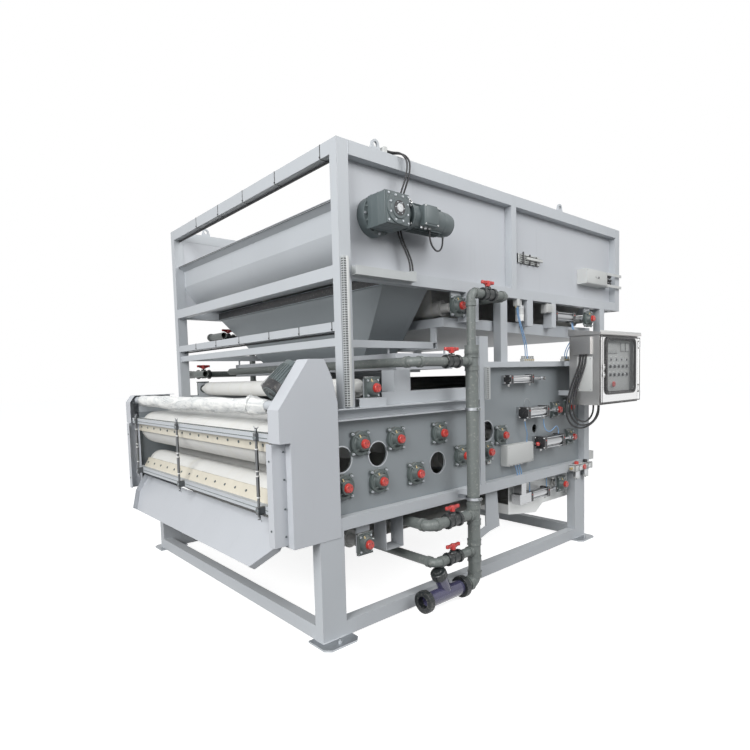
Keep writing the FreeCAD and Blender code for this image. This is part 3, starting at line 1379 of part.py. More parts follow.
def bearing(name, side, x, z, inset, base):
    """A bearing housing with its bore, on the face at an inset."""
    pieces = []
    bore_start = side_low(side, inset - S.housing_deep - S.hub_deep, S.housing_deep + S.hub_deep)
    if base == "round":
        pieces.append(outward_rod(name + "_flange", side, x, z, inset, S.housing_deep, S.housing_radius))
        reach = S.housing_radius - S.ear_radius / 3
        for index, (right, up) in enumerate(((1, 1), (-1, 1), (-1, -1), (1, -1)), start=1):
            ear_x = as_size(x) + reach * DIAGONAL * right
            ear_z = as_size(z) + reach * DIAGONAL * up
            ear_deep = S.housing_deep / 2
            ear = outward_rod(f"{name}_ear_{index}", side, ear_x, ear_z, inset, ear_deep, S.ear_radius)
            pieces.append(ear)
    else:
        low = (
            as_size(x) - S.slide_wide / 2,
            side_low(side, inset - S.housing_deep, S.housing_deep),
            as_size(z) - S.slide_high / 2,
        )
        pieces.append(block(name + "_slide", low, (S.slide_wide, S.housing_deep, S.slide_high)))
    hub_inset = inset - S.housing_deep
    pieces.append(outward_taper(name + "_hub", side, x, z, hub_inset, S.hub_deep, S.hub_radius, S.hub_nose))
    bore_deep = S.housing_deep + S.hub_deep + 2 * CUT_OVER
    bore = rod(name + "_bore", (x, bore_start - CUT_OVER, z), S.journal + S.journal_gap, bore_deep, "Y")
    return cut(name, fuse(name + "_solid", pieces), [bore])


def make_bearings():
    housings = []
    caps = []
    inset = S.plate_inset
    round_spots = PRESS_ROLLERS + REAR_ROLLERS + [TURN_ROLLER, FEED_GUIDE_HIGH, TENSION, LIFT]
    slide_spots = [WEDGE_ROLLER, FEED_GUIDE_LOW, RETURN_LOW, RETURN_HIGH, TOP_GUIDE]
    drive_spots = [(S.drive_high_x, S.drive_high_z), (S.drive_low_x, S.drive_low_z)]
    for side in SIDES:
        spots = [(spot, "round", True) for spot in round_spots]
        spots += [(spot, "slide", True) for spot in slide_spots]
        spots += [(spot, "round", False) for spot in drive_spots]
        for index, ((x, z), base, capped) in enumerate(spots, start=1):
            name = f"bearing_{side}_{index}"
            housings.append(bearing(name, side, x, z, inset, base))
            if capped:
                cap_inset = inset - S.housing_deep - S.hub_deep
                cap_name = f"cap_{side}_{index}"
                caps.append(outward_rod(cap_name, side, x, z, cap_inset, S.cap_deep, S.cap_radius))
    node("bearing_housings", housings)
    node("bearing_caps", caps)


def make_hanging_brackets():
    """Plates under the body that carry the return rollers' bearings, and the top guide's stands."""
    plates = []
    for side in SIDES:
        middle = side_middle(side, S.plate_inset, S.plate_thickness)
        for index, (x, z) in enumerate((RETURN_LOW, RETURN_HIGH), start=1):
            half = S.slide_wide / 2
            low_z = as_size(z) - S.slide_high / 2
            outline = [
                (as_size(x) - half, low_z),
                (as_size(x) + half, low_z),
                (as_size(x) + half, S.body_floor),
                (as_size(x) - half, S.body_floor),
            ]
            hole = (x, z, S.shaft_hole)
            name = f"return_bracket_{side}_{index}"
            plates.append(plate(name, middle, S.plate_thickness, outline, [hole]))
    box_low = (
        S.under_box_x,
        side_low("near", S.body_beam_wide, S.under_box_deep),
        S.under_box_z,
    )
    box_size = (S.under_box_long, S.under_box_deep, S.body_floor - S.under_box_z)
    plates.append(tube("under_box", box_low, box_size, "Y", S.beam_wall))
    node("under_brackets", plates + splice_hangers())
    stands = []
    x, z = TOP_GUIDE
    foot = S.press_top + S.channel_high
    for side in SIDES:
        low = (S.stand_x, side_low(side, S.stand_inset, S.stand_wide), foot)
        size = (S.stand_long, S.stand_wide, S.stand_high)
        pedestal = tube(f"stand_{side}", low, size, "X", S.beam_wall)
        post_x = as_size(x) - S.slide_wide / 2
        post_low = (post_x, side_low(side, S.plate_inset, S.plate_thickness), foot + S.stand_high)
        post_size = (S.slide_wide, S.plate_thickness, as_size(z) + S.slide_high / 2 - foot - S.stand_high)
        post = block(f"stand_plate_{side}", post_low, post_size)
        hole = rod(
            f"stand_hole_{side}",
            (x, post_low[1] - CUT_OVER, z),
            S.shaft_hole,
            S.plate_thickness + 2 * CUT_OVER,
            "Y",
        )
        stands.append(fuse(f"top_guide_{side}", [pedestal, cut(f"stand_cut_{side}", post, [hole])]))
    rail_top = foot + S.rail_high
    block_low = (S.block_x, side_low("near", S.plate_inset, S.block_deep), rail_top)
    block_size = (S.block_long, S.block_deep, S.box_low_z - rail_top)
    stands.append(tube("box_stand", block_low, block_size, "Z", S.tube_wall))
    node("rail_stands", stands)


def hood_outline(side, inset, open_by):
    """The hood's side outline, drawn in by an inset and run past its open edges.

    The near hood rises over the discharge motor, and the far one is cut off above the wrapped bar.
    """
    shoulder = inset / 2
    end = S.hood_end + open_by
    low = S.hood_low - open_by
    crown = [
        (end, S.hood_crown_z - open_by * 3),
        (S.hood_crown_x - inset, S.hood_round_z - inset),
        (S.hood_top_end - inset, S.hood_top - inset),
        (S.hood_top_start + shoulder, S.hood_top - inset),
    ]
    if side == "far":
        rise = S.hood_far_top - S.hood_shoulder
        flat_start = S.hood_start + rise * FAR_HOOD_RUN
        crown = [
            (end, S.hood_far_top - inset),
            (flat_start + shoulder, S.hood_far_top - inset),
        ]
    return [
        (S.hood_step_x + inset, low),
        (end, low),
        *crown,
        (S.hood_start + inset, S.hood_shoulder - shoulder),
        (S.hood_start + inset, S.hood_step_z + inset),
        (S.hood_step_x + inset, S.hood_step_z + inset),
    ]


def make_hoods():
    """Hoods over the discharge corners, and guards in front of them.

    A hood is a side face on the legs and beams, with a return along its front and its top.
    """
    covers = []
    for side in SIDES:
        outer_inset = -S.sheet
        deep = S.hood_deep
        outline = hood_outline(side, as_size(0), as_size(0))
        outer = plate(f"hood_outer_{side}", side_middle(side, outer_inset, deep), deep, outline)
        inner_outline = hood_outline(side, S.sheet, as_size(CUT_OVER))
        inner_deep = deep - S.sheet + CUT_OVER
        inner_middle = side_middle(side, outer_inset + S.sheet, inner_deep)
        inner = plate(f"hood_inner_{side}", inner_middle, inner_deep, inner_outline)
        covers.append(cut(f"hood_{side}", outer, [inner]))
    for side in SIDES:
        high = S.guard_top - S.guard_low
        low = (S.guard_start, side_low(side, S.guard_inset, S.guard_wide), S.guard_low)
        face = block(f"guard_face_{side}", low, (S.sheet, S.guard_wide, high))
        side_y = side_low(side, S.guard_inset, S.sheet)
        wall = block(
            f"guard_wall_{side}",
            (S.guard_start, side_y, S.guard_low),
            (S.hood_step_x - S.guard_start, S.sheet, high),
        )
        covers.append(fuse(f"guard_{side}", [face, wall]))
    node("discharge_covers", covers)


def make_discharge_motor():
    """A motor with a gear case, tilted over the upper discharge roller on the near side."""
    middle_y = S.hood_motor_side - S.base_width / 2
    tilt = math.radians(float(S.hood_motor_tilt))
    along = V(math.cos(tilt), 0, math.sin(tilt))
    half = float(S.hood_motor_long) / 2
    centre = V(float(S.hood_motor_x), float(middle_y), float(S.hood_motor_z))
    start = centre - along * half
    can = Part.makeCylinder(float(S.hood_motor_radius), 2 * half, start, along)
    fan = Part.makeCylinder(
        float(S.hood_motor_radius) - float(S.sheet),
        float(S.hood_motor_fan),
        centre + along * half,
        along,
    )
    foot_low = float(S.press_top + S.channel_high)
    foot = Part.makeBox(
        float(S.motor_foot_long),
        float(S.motor_foot_wide),
        float(S.hood_motor_z) - float(S.motor_foot_low) - foot_low,
        V(
            centre.x - float(S.motor_foot_long) / 2,
            -float(S.base_width) / 2 + float(S.plate_inset),
            foot_low,
        ),
    )
    node("discharge_motor", [feature("discharge_motor_piece", can.fuse(fan).fuse(foot))])


def make_film():
    """A bar across the discharge end with film wound on it, in brackets on the top channels."""
    half = S.base_width / 2 - S.film_bracket_inset + S.film_bar_past
    bar = rod("film_bar_rod", (S.film_x, -half, S.film_z), S.film_bar, 2 * half, "Y")
    brackets = []
    foot = S.press_top + S.channel_high
    for side in SIDES:
        outline = [
            (S.body_start, foot),
            (S.body_start + S.film_bracket_long, foot),
            (S.film_x + S.film_bracket_half, S.film_z + S.film_bracket_half),
            (S.film_x - S.film_bracket_half / 2, S.film_z + S.film_bracket_half),
            (S.film_x - S.film_bracket_half, S.film_z),
            (S.film_x - S.film_bracket_half, S.film_z - S.film_bracket_half),
        ]
        middle = side_middle(side, S.film_bracket_inset, S.plate_thickness)
        hole = (S.film_x, S.film_z, S.film_bar)
        brackets.append(plate(f"film_bracket_{side}", middle, S.plate_thickness, outline, [hole]))
    node("film_bar", [fuse("film_bar_and_brackets", [bar] + brackets)])
    long = S.film_near_end + S.film_far_end
    roll = rod("film_outer", (S.film_x, -S.film_near_end, S.film_z), S.film_radius, long, "Y")
    bore = rod(
        "film_bore",
        (S.film_x, -S.film_near_end - CUT_OVER, S.film_z),
        S.film_bar + S.journal_gap,
        long + 2 * CUT_OVER,
        "Y",
    )
    node("film_roll", [cut("film_roll_cut", roll, [bore])])


def make_scrapers():
    """Two blades across the discharge rollers, their beams and the rods between them.

    Each beam has an arm at both ends, with a pivot in the side plate.
    """
    half = S.base_width / 2 - S.scraper_inset
    long = 2 * half
    thick = S.scraper_arm
    beams = []
    beam_half = half + S.scraper_beam_past
    spots = [
        ("upper", S.scraper_high_x, S.scraper_high_z),
        ("lower", S.scraper_low_x, S.scraper_low_z - S.scraper_beam),
    ]
    for name, face_x, low_z in spots:
        low = (face_x - S.scraper_beam, -beam_half, low_z)
        size = (S.scraper_beam, 2 * beam_half, S.scraper_beam)
        beams.append(tube(f"{name}_beam", low, size, "Y", S.tube_wall))
        pivot_reach = S.base_width / 2 - S.plate_inset - S.plate_thickness - beam_half
        for side in SIDES:
            arm_inset = S.base_width / 2 - beam_half - thick
            arm_low = (face_x - S.scraper_beam, side_low(side, arm_inset, thick), low_z)
            arm_size = (S.pivot_x - face_x + 2 * S.scraper_beam, thick, S.scraper_beam)
            arm = block(f"{name}_arm_{side}", arm_low, arm_size)
            pivot_inset = S.plate_inset + S.plate_thickness
            pivot_y = side_low(side, pivot_inset, pivot_reach - thick)
            pivot_z = low_z + S.scraper_beam / 2
            spot = (S.pivot_x, pivot_y, pivot_z)
            pivot = rod(f"{name}_pivot_{side}", spot, S.pivot, pivot_reach - thick, "Y")
            beams += [arm, pivot]
    node("scraper_beams", beams)
    upper_outline = [
        (S.scraper_high_x - S.blade_thickness, S.scraper_high_z - S.upper_blade_high),
        (S.scraper_high_x, S.scraper_high_z - S.upper_blade_high),
        (S.scraper_high_x, S.scraper_high_z),
        (S.scraper_high_x - S.blade_thickness, S.scraper_high_z),
    ]
    lower_outline = [
        (S.lower_blade_x, S.scraper_low_z),
        (S.lower_blade_x + S.blade_thickness, S.scraper_low_z),
        (S.lower_blade_tip_x + S.blade_thickness, S.lower_blade_tip_z),
        (S.lower_blade_tip_x, S.lower_blade_tip_z),
    ]
    node("scraper_blades", [
        plate("upper_blade", as_size(0), long, upper_outline),
        plate("lower_blade", as_size(0), long, lower_outline),
    ])
    rods = []
    clamp = S.rod_clamp
    rod_side = half - S.rod_inset
    for index, y in enumerate((-rod_side, S.rod_mid, rod_side), start=1):
        low_z = S.scraper_low_z - S.scraper_beam - S.rod_past
        high_z = S.scraper_high_z + S.scraper_beam + S.rod_past
        bar = rod(f"tie_rod_{index}", (S.rod_x, y, low_z), S.rod_radius, high_z - low_z, "Z")
        face = S.rod_x - clamp / 2
        high_clamp = block(
            f"upper_clamp_{index}",
            (face, y - clamp / 2, S.scraper_high_z),
            (S.scraper_high_x - S.scraper_beam - face, clamp, S.scraper_beam),
        )
        low_clamp = block(
            f"lower_clamp_{index}",
            (face, y - clamp / 2, S.scraper_low_z - S.scraper_beam),
            (S.scraper_low_x - S.scraper_beam - face, clamp, S.scraper_beam),
        )
        rods.append(fuse(f"tie_rod_{index}_set", [bar, high_clamp, low_clamp]))
    node("scraper_tie_rods", rods)


def make_chute():
    """A sloping sheet between the hoods' returns that narrows to its lip, with turned-up sides."""
    lip = V(float(S.chute_low_x), 0, float(S.chute_low_z))
    top = V(float(S.chute_high_x), 0, float(S.chute_high_z))
    slope = (top - lip).normalize()
    up = V(-slope.z, 0, slope.x)
    wide_at = lip + slope * float(S.chute_wide_at)
    thick = float(S.sheet)
    half_low = float(S.base_width / 2 - S.chute_low_inset)
    half_high = float(S.base_width / 2 + S.sheet - S.hood_deep)
    corners = [
        lip + V(0, -half_low, 0),
        wide_at + V(0, -half_high, 0),
        top + V(0, -half_high, 0),
        top + V(0, half_high, 0),
        wide_at + V(0, half_high, 0),
        lip + V(0, half_low, 0),
    ]
    floor = Part.Face(Part.makePolygon(corners + corners[:1])).extrude(up * thick)
    wall_high = up * float(S.chute_wing)
    shape = floor
    for start, end in ((corners[0], corners[1]), (corners[1], corners[2])):
        for mirror in (1, -1):
            a = V(start.x, start.y * mirror, start.z)
            b = V(end.x, end.y * mirror, end.z)
            inward = V(0, thick * mirror, 0)
            points = [a, b, b + inward, a + inward]
            wall = Part.Face(Part.makePolygon(points + points[:1])).extrude(wall_high)
            shape = shape.fuse(wall)
    node("discharge_chute", [feature("chute", shape.removeSplitter())])


def make_distribution_box():
    """An open box under the hopper's outlet, hung from the inner frame."""
    low = (S.box_x, -BOX_HALF, S.box_low_z)
    size = (S.box_long, 2 * BOX_HALF, S.box_high)
    outer = block("box_outer", low, size)
    inner_low = (S.box_x + S.sheet, S.sheet - BOX_HALF, S.box_low_z + S.sheet)
    inner_size = (S.box_long - 2 * S.sheet, 2 * BOX_HALF - 2 * S.sheet, S.box_high)
    slot_low = (S.box_x + S.box_long - S.sheet - CUT_OVER, S.box_slot - BOX_HALF, S.box_low_z + S.sheet)
    slot_size = (S.sheet + 2 * CUT_OVER, 2 * (BOX_HALF - S.box_slot), S.box_slot)
    inner = block("box_inner", inner_low, inner_size)
    slot = block("box_slot", slot_low, slot_size)
    shell = cut("box", outer, [inner, slot])
    rods = []
    high = S.inner_beam_z - S.box_low_z - S.box_high
    for side in SIDES:
        y = side_middle(side, S.base_width / 2 - INNER_HALF, S.inner_beam_high)
        walls = (S.box_x + S.sheet / 2, S.box_x + S.box_long - S.sheet / 2)
        for index, x in enumerate(walls, start=1):
            bar = rod(f"box_rod_{side}_{index}", (x, y, S.box_low_z + S.box_high), S.box_rod, high, "Z")
            rods.append(bar)
    node("distribution_box", [fuse("box_on_rods", [shell] + rods)])


def path_wire(points, bends):
    """Straights through the points, with a tangent arc of its own radius at each corner."""
    edges = []
    start = points[0]
    for before, corner, after, bend in zip(points, points[1:], points[2:], bends):
        away = (before - corner).normalize()
        onward = (after - corner).normalize()
        half = away.getAngle(onward) / 2
        reach = bend / math.tan(half)
        first = corner + away * reach
        last = corner + onward * reach
        inward = (away + onward).normalize()
        middle = corner + inward * (bend / math.sin(half) - bend)
        edges.append(Part.makeLine(start, first))
        edges.append(Part.Arc(first, middle, last).toShape())
        start = last
    edges.append(Part.makeLine(start, points[-1]))
    return Part.Wire(edges)


def swept(points, bends, radius):
    """A round bar along a bent path."""
    path = path_wire(points, bends)
    along = points[1] - points[0]
    ring = Part.Wire(Part.makeCircle(radius, points[0], along))
    return path.makePipeShell([ring], True, True)


BRANCHES = ("top", "middle", "low", "foot")
FAR_BRANCHES = ("far_top", "far_low")


class Branch:
    """A branch's sizes, under its own name in the sheet."""

    def __init__(self, name):
        self.name = name
        self.z = getattr(S, f"{name}_z")
        self.valve_x = getattr(S, f"{name}_valve_x")
        self.end_x = getattr(S, f"{name}_end_x")
        self.reach = getattr(S, f"{name}_reach")
        self.radius = S.drain_pipe if name == "low" else S.small_pipe
        self.side = 1 if name in FAR_BRANCHES else -1
        self.y = self.side * (S.base_width / 2 + S.riser_outset)
        self.end_y = self.side * (S.base_width / 2 - self.reach)


class Pipework:
    """Pipes that are joined to each other, with one bore through them all."""

    def __init__(self):
        self.outers = []
        self.bores = []

    def add(self, points, radius):
        spots = [V(*(float(size) for size in point)) for point in points]
        bends = [float(radius) * PIPE_TURN] * (len(spots) - 2)
        self.outers.append(swept(spots, bends, float(radius)))
        first = spots[0] - (spots[1] - spots[0]).normalize() * CUT_OVER
        last = spots[-1] + (spots[-1] - spots[-2]).normalize() * CUT_OVER
        inside = [first] + spots[1:-1] + [last]
        self.bores.append(swept(inside, bends, float(radius) - float(S.pipe_wall)))

    def reducer(self, spot, radius, high):
        """A socket round the place where two sizes of pipe meet on an upright."""
        x, y, z = (float(size) for size in spot)
        low = V(x, y, z - float(high) / 2)
        self.outers.append(Part.makeCylinder(float(radius), float(high), low))

    def shape(self):
        outer = self.outers[0].multiFuse(self.outers[1:])
        return outer.cut(self.bores[0].multiFuse(self.bores[1:]))


def make_water_pipes():
    """Risers on both sides, with branches that turn in across the machine after their valves."""
    near = Pipework()
    branches = [Branch(name) for name in BRANCHES]
    y = branches[0].y
    x = S.riser_x
    top_z = branches[0].z
    near.add([(S.strainer_end_x, y, S.strainer_z), (x, y, S.strainer_z), (x, y, S.riser_step_z)], S.riser)
    near.reducer((x, y, S.riser_step_z), S.riser + S.socket_swell, S.socket_high)
    before_valve = branches[0].valve_x - S.valve_half
    near.add([(x, y, S.riser_step_z), (x, y, top_z), (before_valve, y, top_z)], S.small_pipe)
    after_valve = branches[0].valve_x + S.valve_half
    end_x = branches[0].end_x
    near.add([(after_valve, y, top_z), (end_x, y, top_z), (end_x, branches[0].end_y, top_z)], S.small_pipe)
    for branch in branches[1:]:
        near.add([(x, y, branch.z), (branch.valve_x + S.valve_half, y, branch.z)], branch.radius)
        add_branch_end(near, branch)
    far = Pipework()
    high, low = [Branch(name) for name in FAR_BRANCHES]
    x = S.far_riser_x
    foot = (x, high.y, S.far_riser_low)
    valve_end = (high.valve_x + S.valve_half, high.y, high.z)
    far.add([foot, (x, high.y, high.z), valve_end], S.small_pipe)
    far.add([(x, low.y, low.z), (low.valve_x + S.valve_half, low.y, low.z)], S.small_pipe)
    for branch in (high, low):
        add_branch_end(far, branch)
    near_piece = feature("near_pipework", near.shape())
    node("water_pipes", [near_piece, feature("far_pipework", far.shape())])


def add_branch_end(pipework, branch):
    """The length past a branch's valve, with its turn across the machine."""
    start = (branch.valve_x - S.valve_half, branch.y, branch.z)
    corner = (branch.end_x, branch.y, branch.z)
    pipework.add([start, corner, (branch.end_x, branch.end_y, branch.z)], branch.radius)


def make_valves():
    """Ball valves with unions, and a T-shaped handle on each stem."""
    bodies = []
    half = S.valve_half
    for branch in [Branch(name) for name in BRANCHES + FAR_BRANCHES]:
        name = branch.name
        x = branch.valve_x
        y = branch.y
        z = branch.z
        radius = branch.radius
        barrel = rod(f"{name}_barrel", (x - half, y, z), radius + S.valve_swell, 2 * half, "X")
        nut = radius + S.union_swell
        left = rod(f"{name}_left_nut", (x - half, y, z), nut, S.union_long, "X")
        right = rod(f"{name}_right_nut", (x + half - S.union_long, y, z), nut, S.union_long, "X")
        neck_top = radius + S.valve_neck_high
        neck = rod(f"{name}_neck", (x, y, z), S.stem_neck, neck_top, "Z")
        stem = rod(f"{name}_stem", (x, y, z), S.stem, neck_top + S.stem_high, "Z")
        bodies.append(fuse(f"{name}_valve", [barrel, left, right, neck, stem]))
        hub_z = z + neck_top + S.stem_seat
        hub = rod(f"{name}_hub", (x, y, hub_z), S.handle_hub, S.handle_high, "Z")
        bar_z = hub_z + S.handle_high - S.handle_bar
        bar_low = (x - S.handle_half, y - S.handle_wide / 2, bar_z)
        bar = block(f"{name}_bar", bar_low, (2 * S.handle_half, S.handle_wide, S.handle_bar))
        deep = S.stem_high - S.stem_seat + S.handle_gap
        low = (x, y, hub_z - CUT_OVER)
        hole = rod(f"{name}_hole", low, S.stem + S.handle_gap, deep + CUT_OVER, "Z")
        handle = cut(f"{name}_handle_cut", fuse(f"{name}_handle_solid", [hub, bar]), [hole])
        node(f"valve_handle_{name}", [handle])
    node("valve_bodies", bodies + [strainer_unions()])


class Strainer:
    """Sizes of the Y strainer, in place along X."""

    def __init__(self):
        self.y = float(-S.base_width / 2 - S.riser_outset)
        self.z = float(S.strainer_z)
        self.start = float(S.strainer_x)
        self.end = float(S.strainer_end_x)
        self.nut = float(S.strainer_nut_long)
        self.along = V(1, 0, 0)
        tilt = math.radians(float(S.strainer_tilt))
        self.branch = V(-math.cos(tilt), 0, math.sin(tilt))
        self.root = V(float(S.strainer_root_x), self.y, self.z)
        bore = float(S.riser - S.pipe_wall)
        self.bore = self.bar(self.start - CUT_OVER, self.end - self.start + 2 * CUT_OVER, bore)

    def bar(self, x, length, radius):
        return Part.makeCylinder(radius, length, V(x, self.y, self.z), self.along)


def make_strainer():
    """A see-through Y strainer, open to the discharge end."""
    spot = Strainer()
    barrel_long = spot.end - spot.start - 2 * spot.nut
    barrel = spot.bar(spot.start + spot.nut, barrel_long, float(S.strainer_radius))
    cup_long = float(S.strainer_cup_long)
    cup = Part.makeCylinder(float(S.strainer_cup), cup_long, spot.root, spot.branch)
    inside = float(S.strainer_cup - S.strainer_wall)
    hollow = Part.makeCylinder(inside, cup_long + CUT_OVER, spot.root, spot.branch)
    shell = barrel.fuse(cup).cut(spot.bore).cut(hollow)
    node("strainer", [feature("strainer_shell", shell)])


def strainer_unions():
    """Union nuts at the strainer's ends, and the cap of its branch."""
    spot = Strainer()
    rings = []
    for x in (spot.start, spot.end - spot.nut):
        rings.append(spot.bar(x, spot.nut, float(S.strainer_nut)).cut(spot.bore))
    cap_start = spot.root + spot.branch * float(S.strainer_cup_long)
    rings.append(Part.makeCylinder(float(S.strainer_cap), spot.nut, cap_start, spot.branch))
    return feature("strainer_nuts", Part.makeCompound(rings))


def make_riser_clamps():
    """Clamps with arms that hold the risers to the bottom beams."""
    clamps = []
    far = S.base_width / 2 + S.riser_outset
    for side, x, y, radius in (
        ("near", S.riser_x, -far, S.riser),
        ("far", S.far_riser_x, far, S.small_pipe),
    ):
        low = (x, y, S.clamp_z)
        outer = rod(f"clamp_{side}_outer", low, radius + S.clamp_wide, S.clamp_high, "Z")
        hole_low = (x, y, S.clamp_z - CUT_OVER)
        hole = rod(f"clamp_{side}_hole", hole_low, radius, S.clamp_high + 2 * CUT_OVER, "Z")
        reach = S.riser_outset - radius
        arm_low = (x - S.clamp_arm / 2, side_low(side, -reach, reach), S.clamp_z)
        arm = block(f"clamp_{side}_arm", arm_low, (S.clamp_arm, reach, S.clamp_high))
        clamps.append(cut(f"clamp_{side}", fuse(f"clamp_{side}_solid", [outer, arm]), [hole]))
    node("riser_clamps", clamps)


def make_gearmotor():
    """A shaft-mounted gearbox on its round flange, with its motor along the panel."""
    y = S.gearbox_front - S.base_width / 2
    x = S.thickener_drive_x
    z = S.thickener_z
    case_low = (x - S.gearbox_long / 2, y, z - S.gearbox_high / 2)
    case = block("gear_case", case_low, (S.gearbox_long, S.gearbox_deep, S.gearbox_high))
    flange_start = y + S.gearbox_deep
    flange_deep = S.panel_inset - S.gearbox_front - S.gearbox_deep
    flange = rod("gear_flange", (x, flange_start, z), S.torque_flange, flange_deep, "Y")
    boss_low = (x, y - S.gear_boss_deep, z)
    boss = rod("gear_boss", boss_low, S.gear_boss, S.gear_boss_deep, "Y")
    hole = rod("gear_shaft_hole", (x, y - S.gear_boss_deep - CUT_OVER, z), S.journal, S.gearbox_deep, "Y")
    motor_y = y + S.gearbox_deep / 2
    start = x + S.gearbox_long / 2
    adaptor = rod("motor_adaptor", (start, motor_y, z), S.motor_adaptor, S.motor_adaptor_long, "X")
    start = start + S.motor_adaptor_long
    can = rod("motor_can", (start, motor_y, z), S.motor_radius, S.motor_long, "X")
    end = start + S.motor_long
    cover = rod("motor_cover", (end, motor_y, z), S.fan_cover_radius, S.fan_cover_long, "X")
    reach = S.motor_radius + S.terminal_rise
    box_low = (start + S.terminal_in, motor_y - reach, z - S.terminal_box / 2)
    box_size = (S.terminal_long, reach, S.terminal_box)
    box = block("motor_terminal", box_low, box_size)
    terminal_x = start + S.terminal_in + S.terminal_long - S.terminal_gland_in
    low = (terminal_x, motor_y - S.terminal_gland_out, z - S.terminal_box / 2 - S.gland_long)
    terminal_gland = rod("terminal_gland", low, S.gland, S.gland_long + CUT_OVER, "Z")
    low = (end + S.cover_gland_in, motor_y, z - S.fan_cover_radius - S.gland_long)
    cover_gland = rod("cover_gland", low, S.gland, S.gland_long + CUT_OVER, "Z")
    pieces = [case, flange, boss, adaptor, can, cover, box, terminal_gland, cover_gland]
    node("thickener_gearmotor", [cut("gearmotor", fuse("gearmotor_solid", pieces), [hole])])


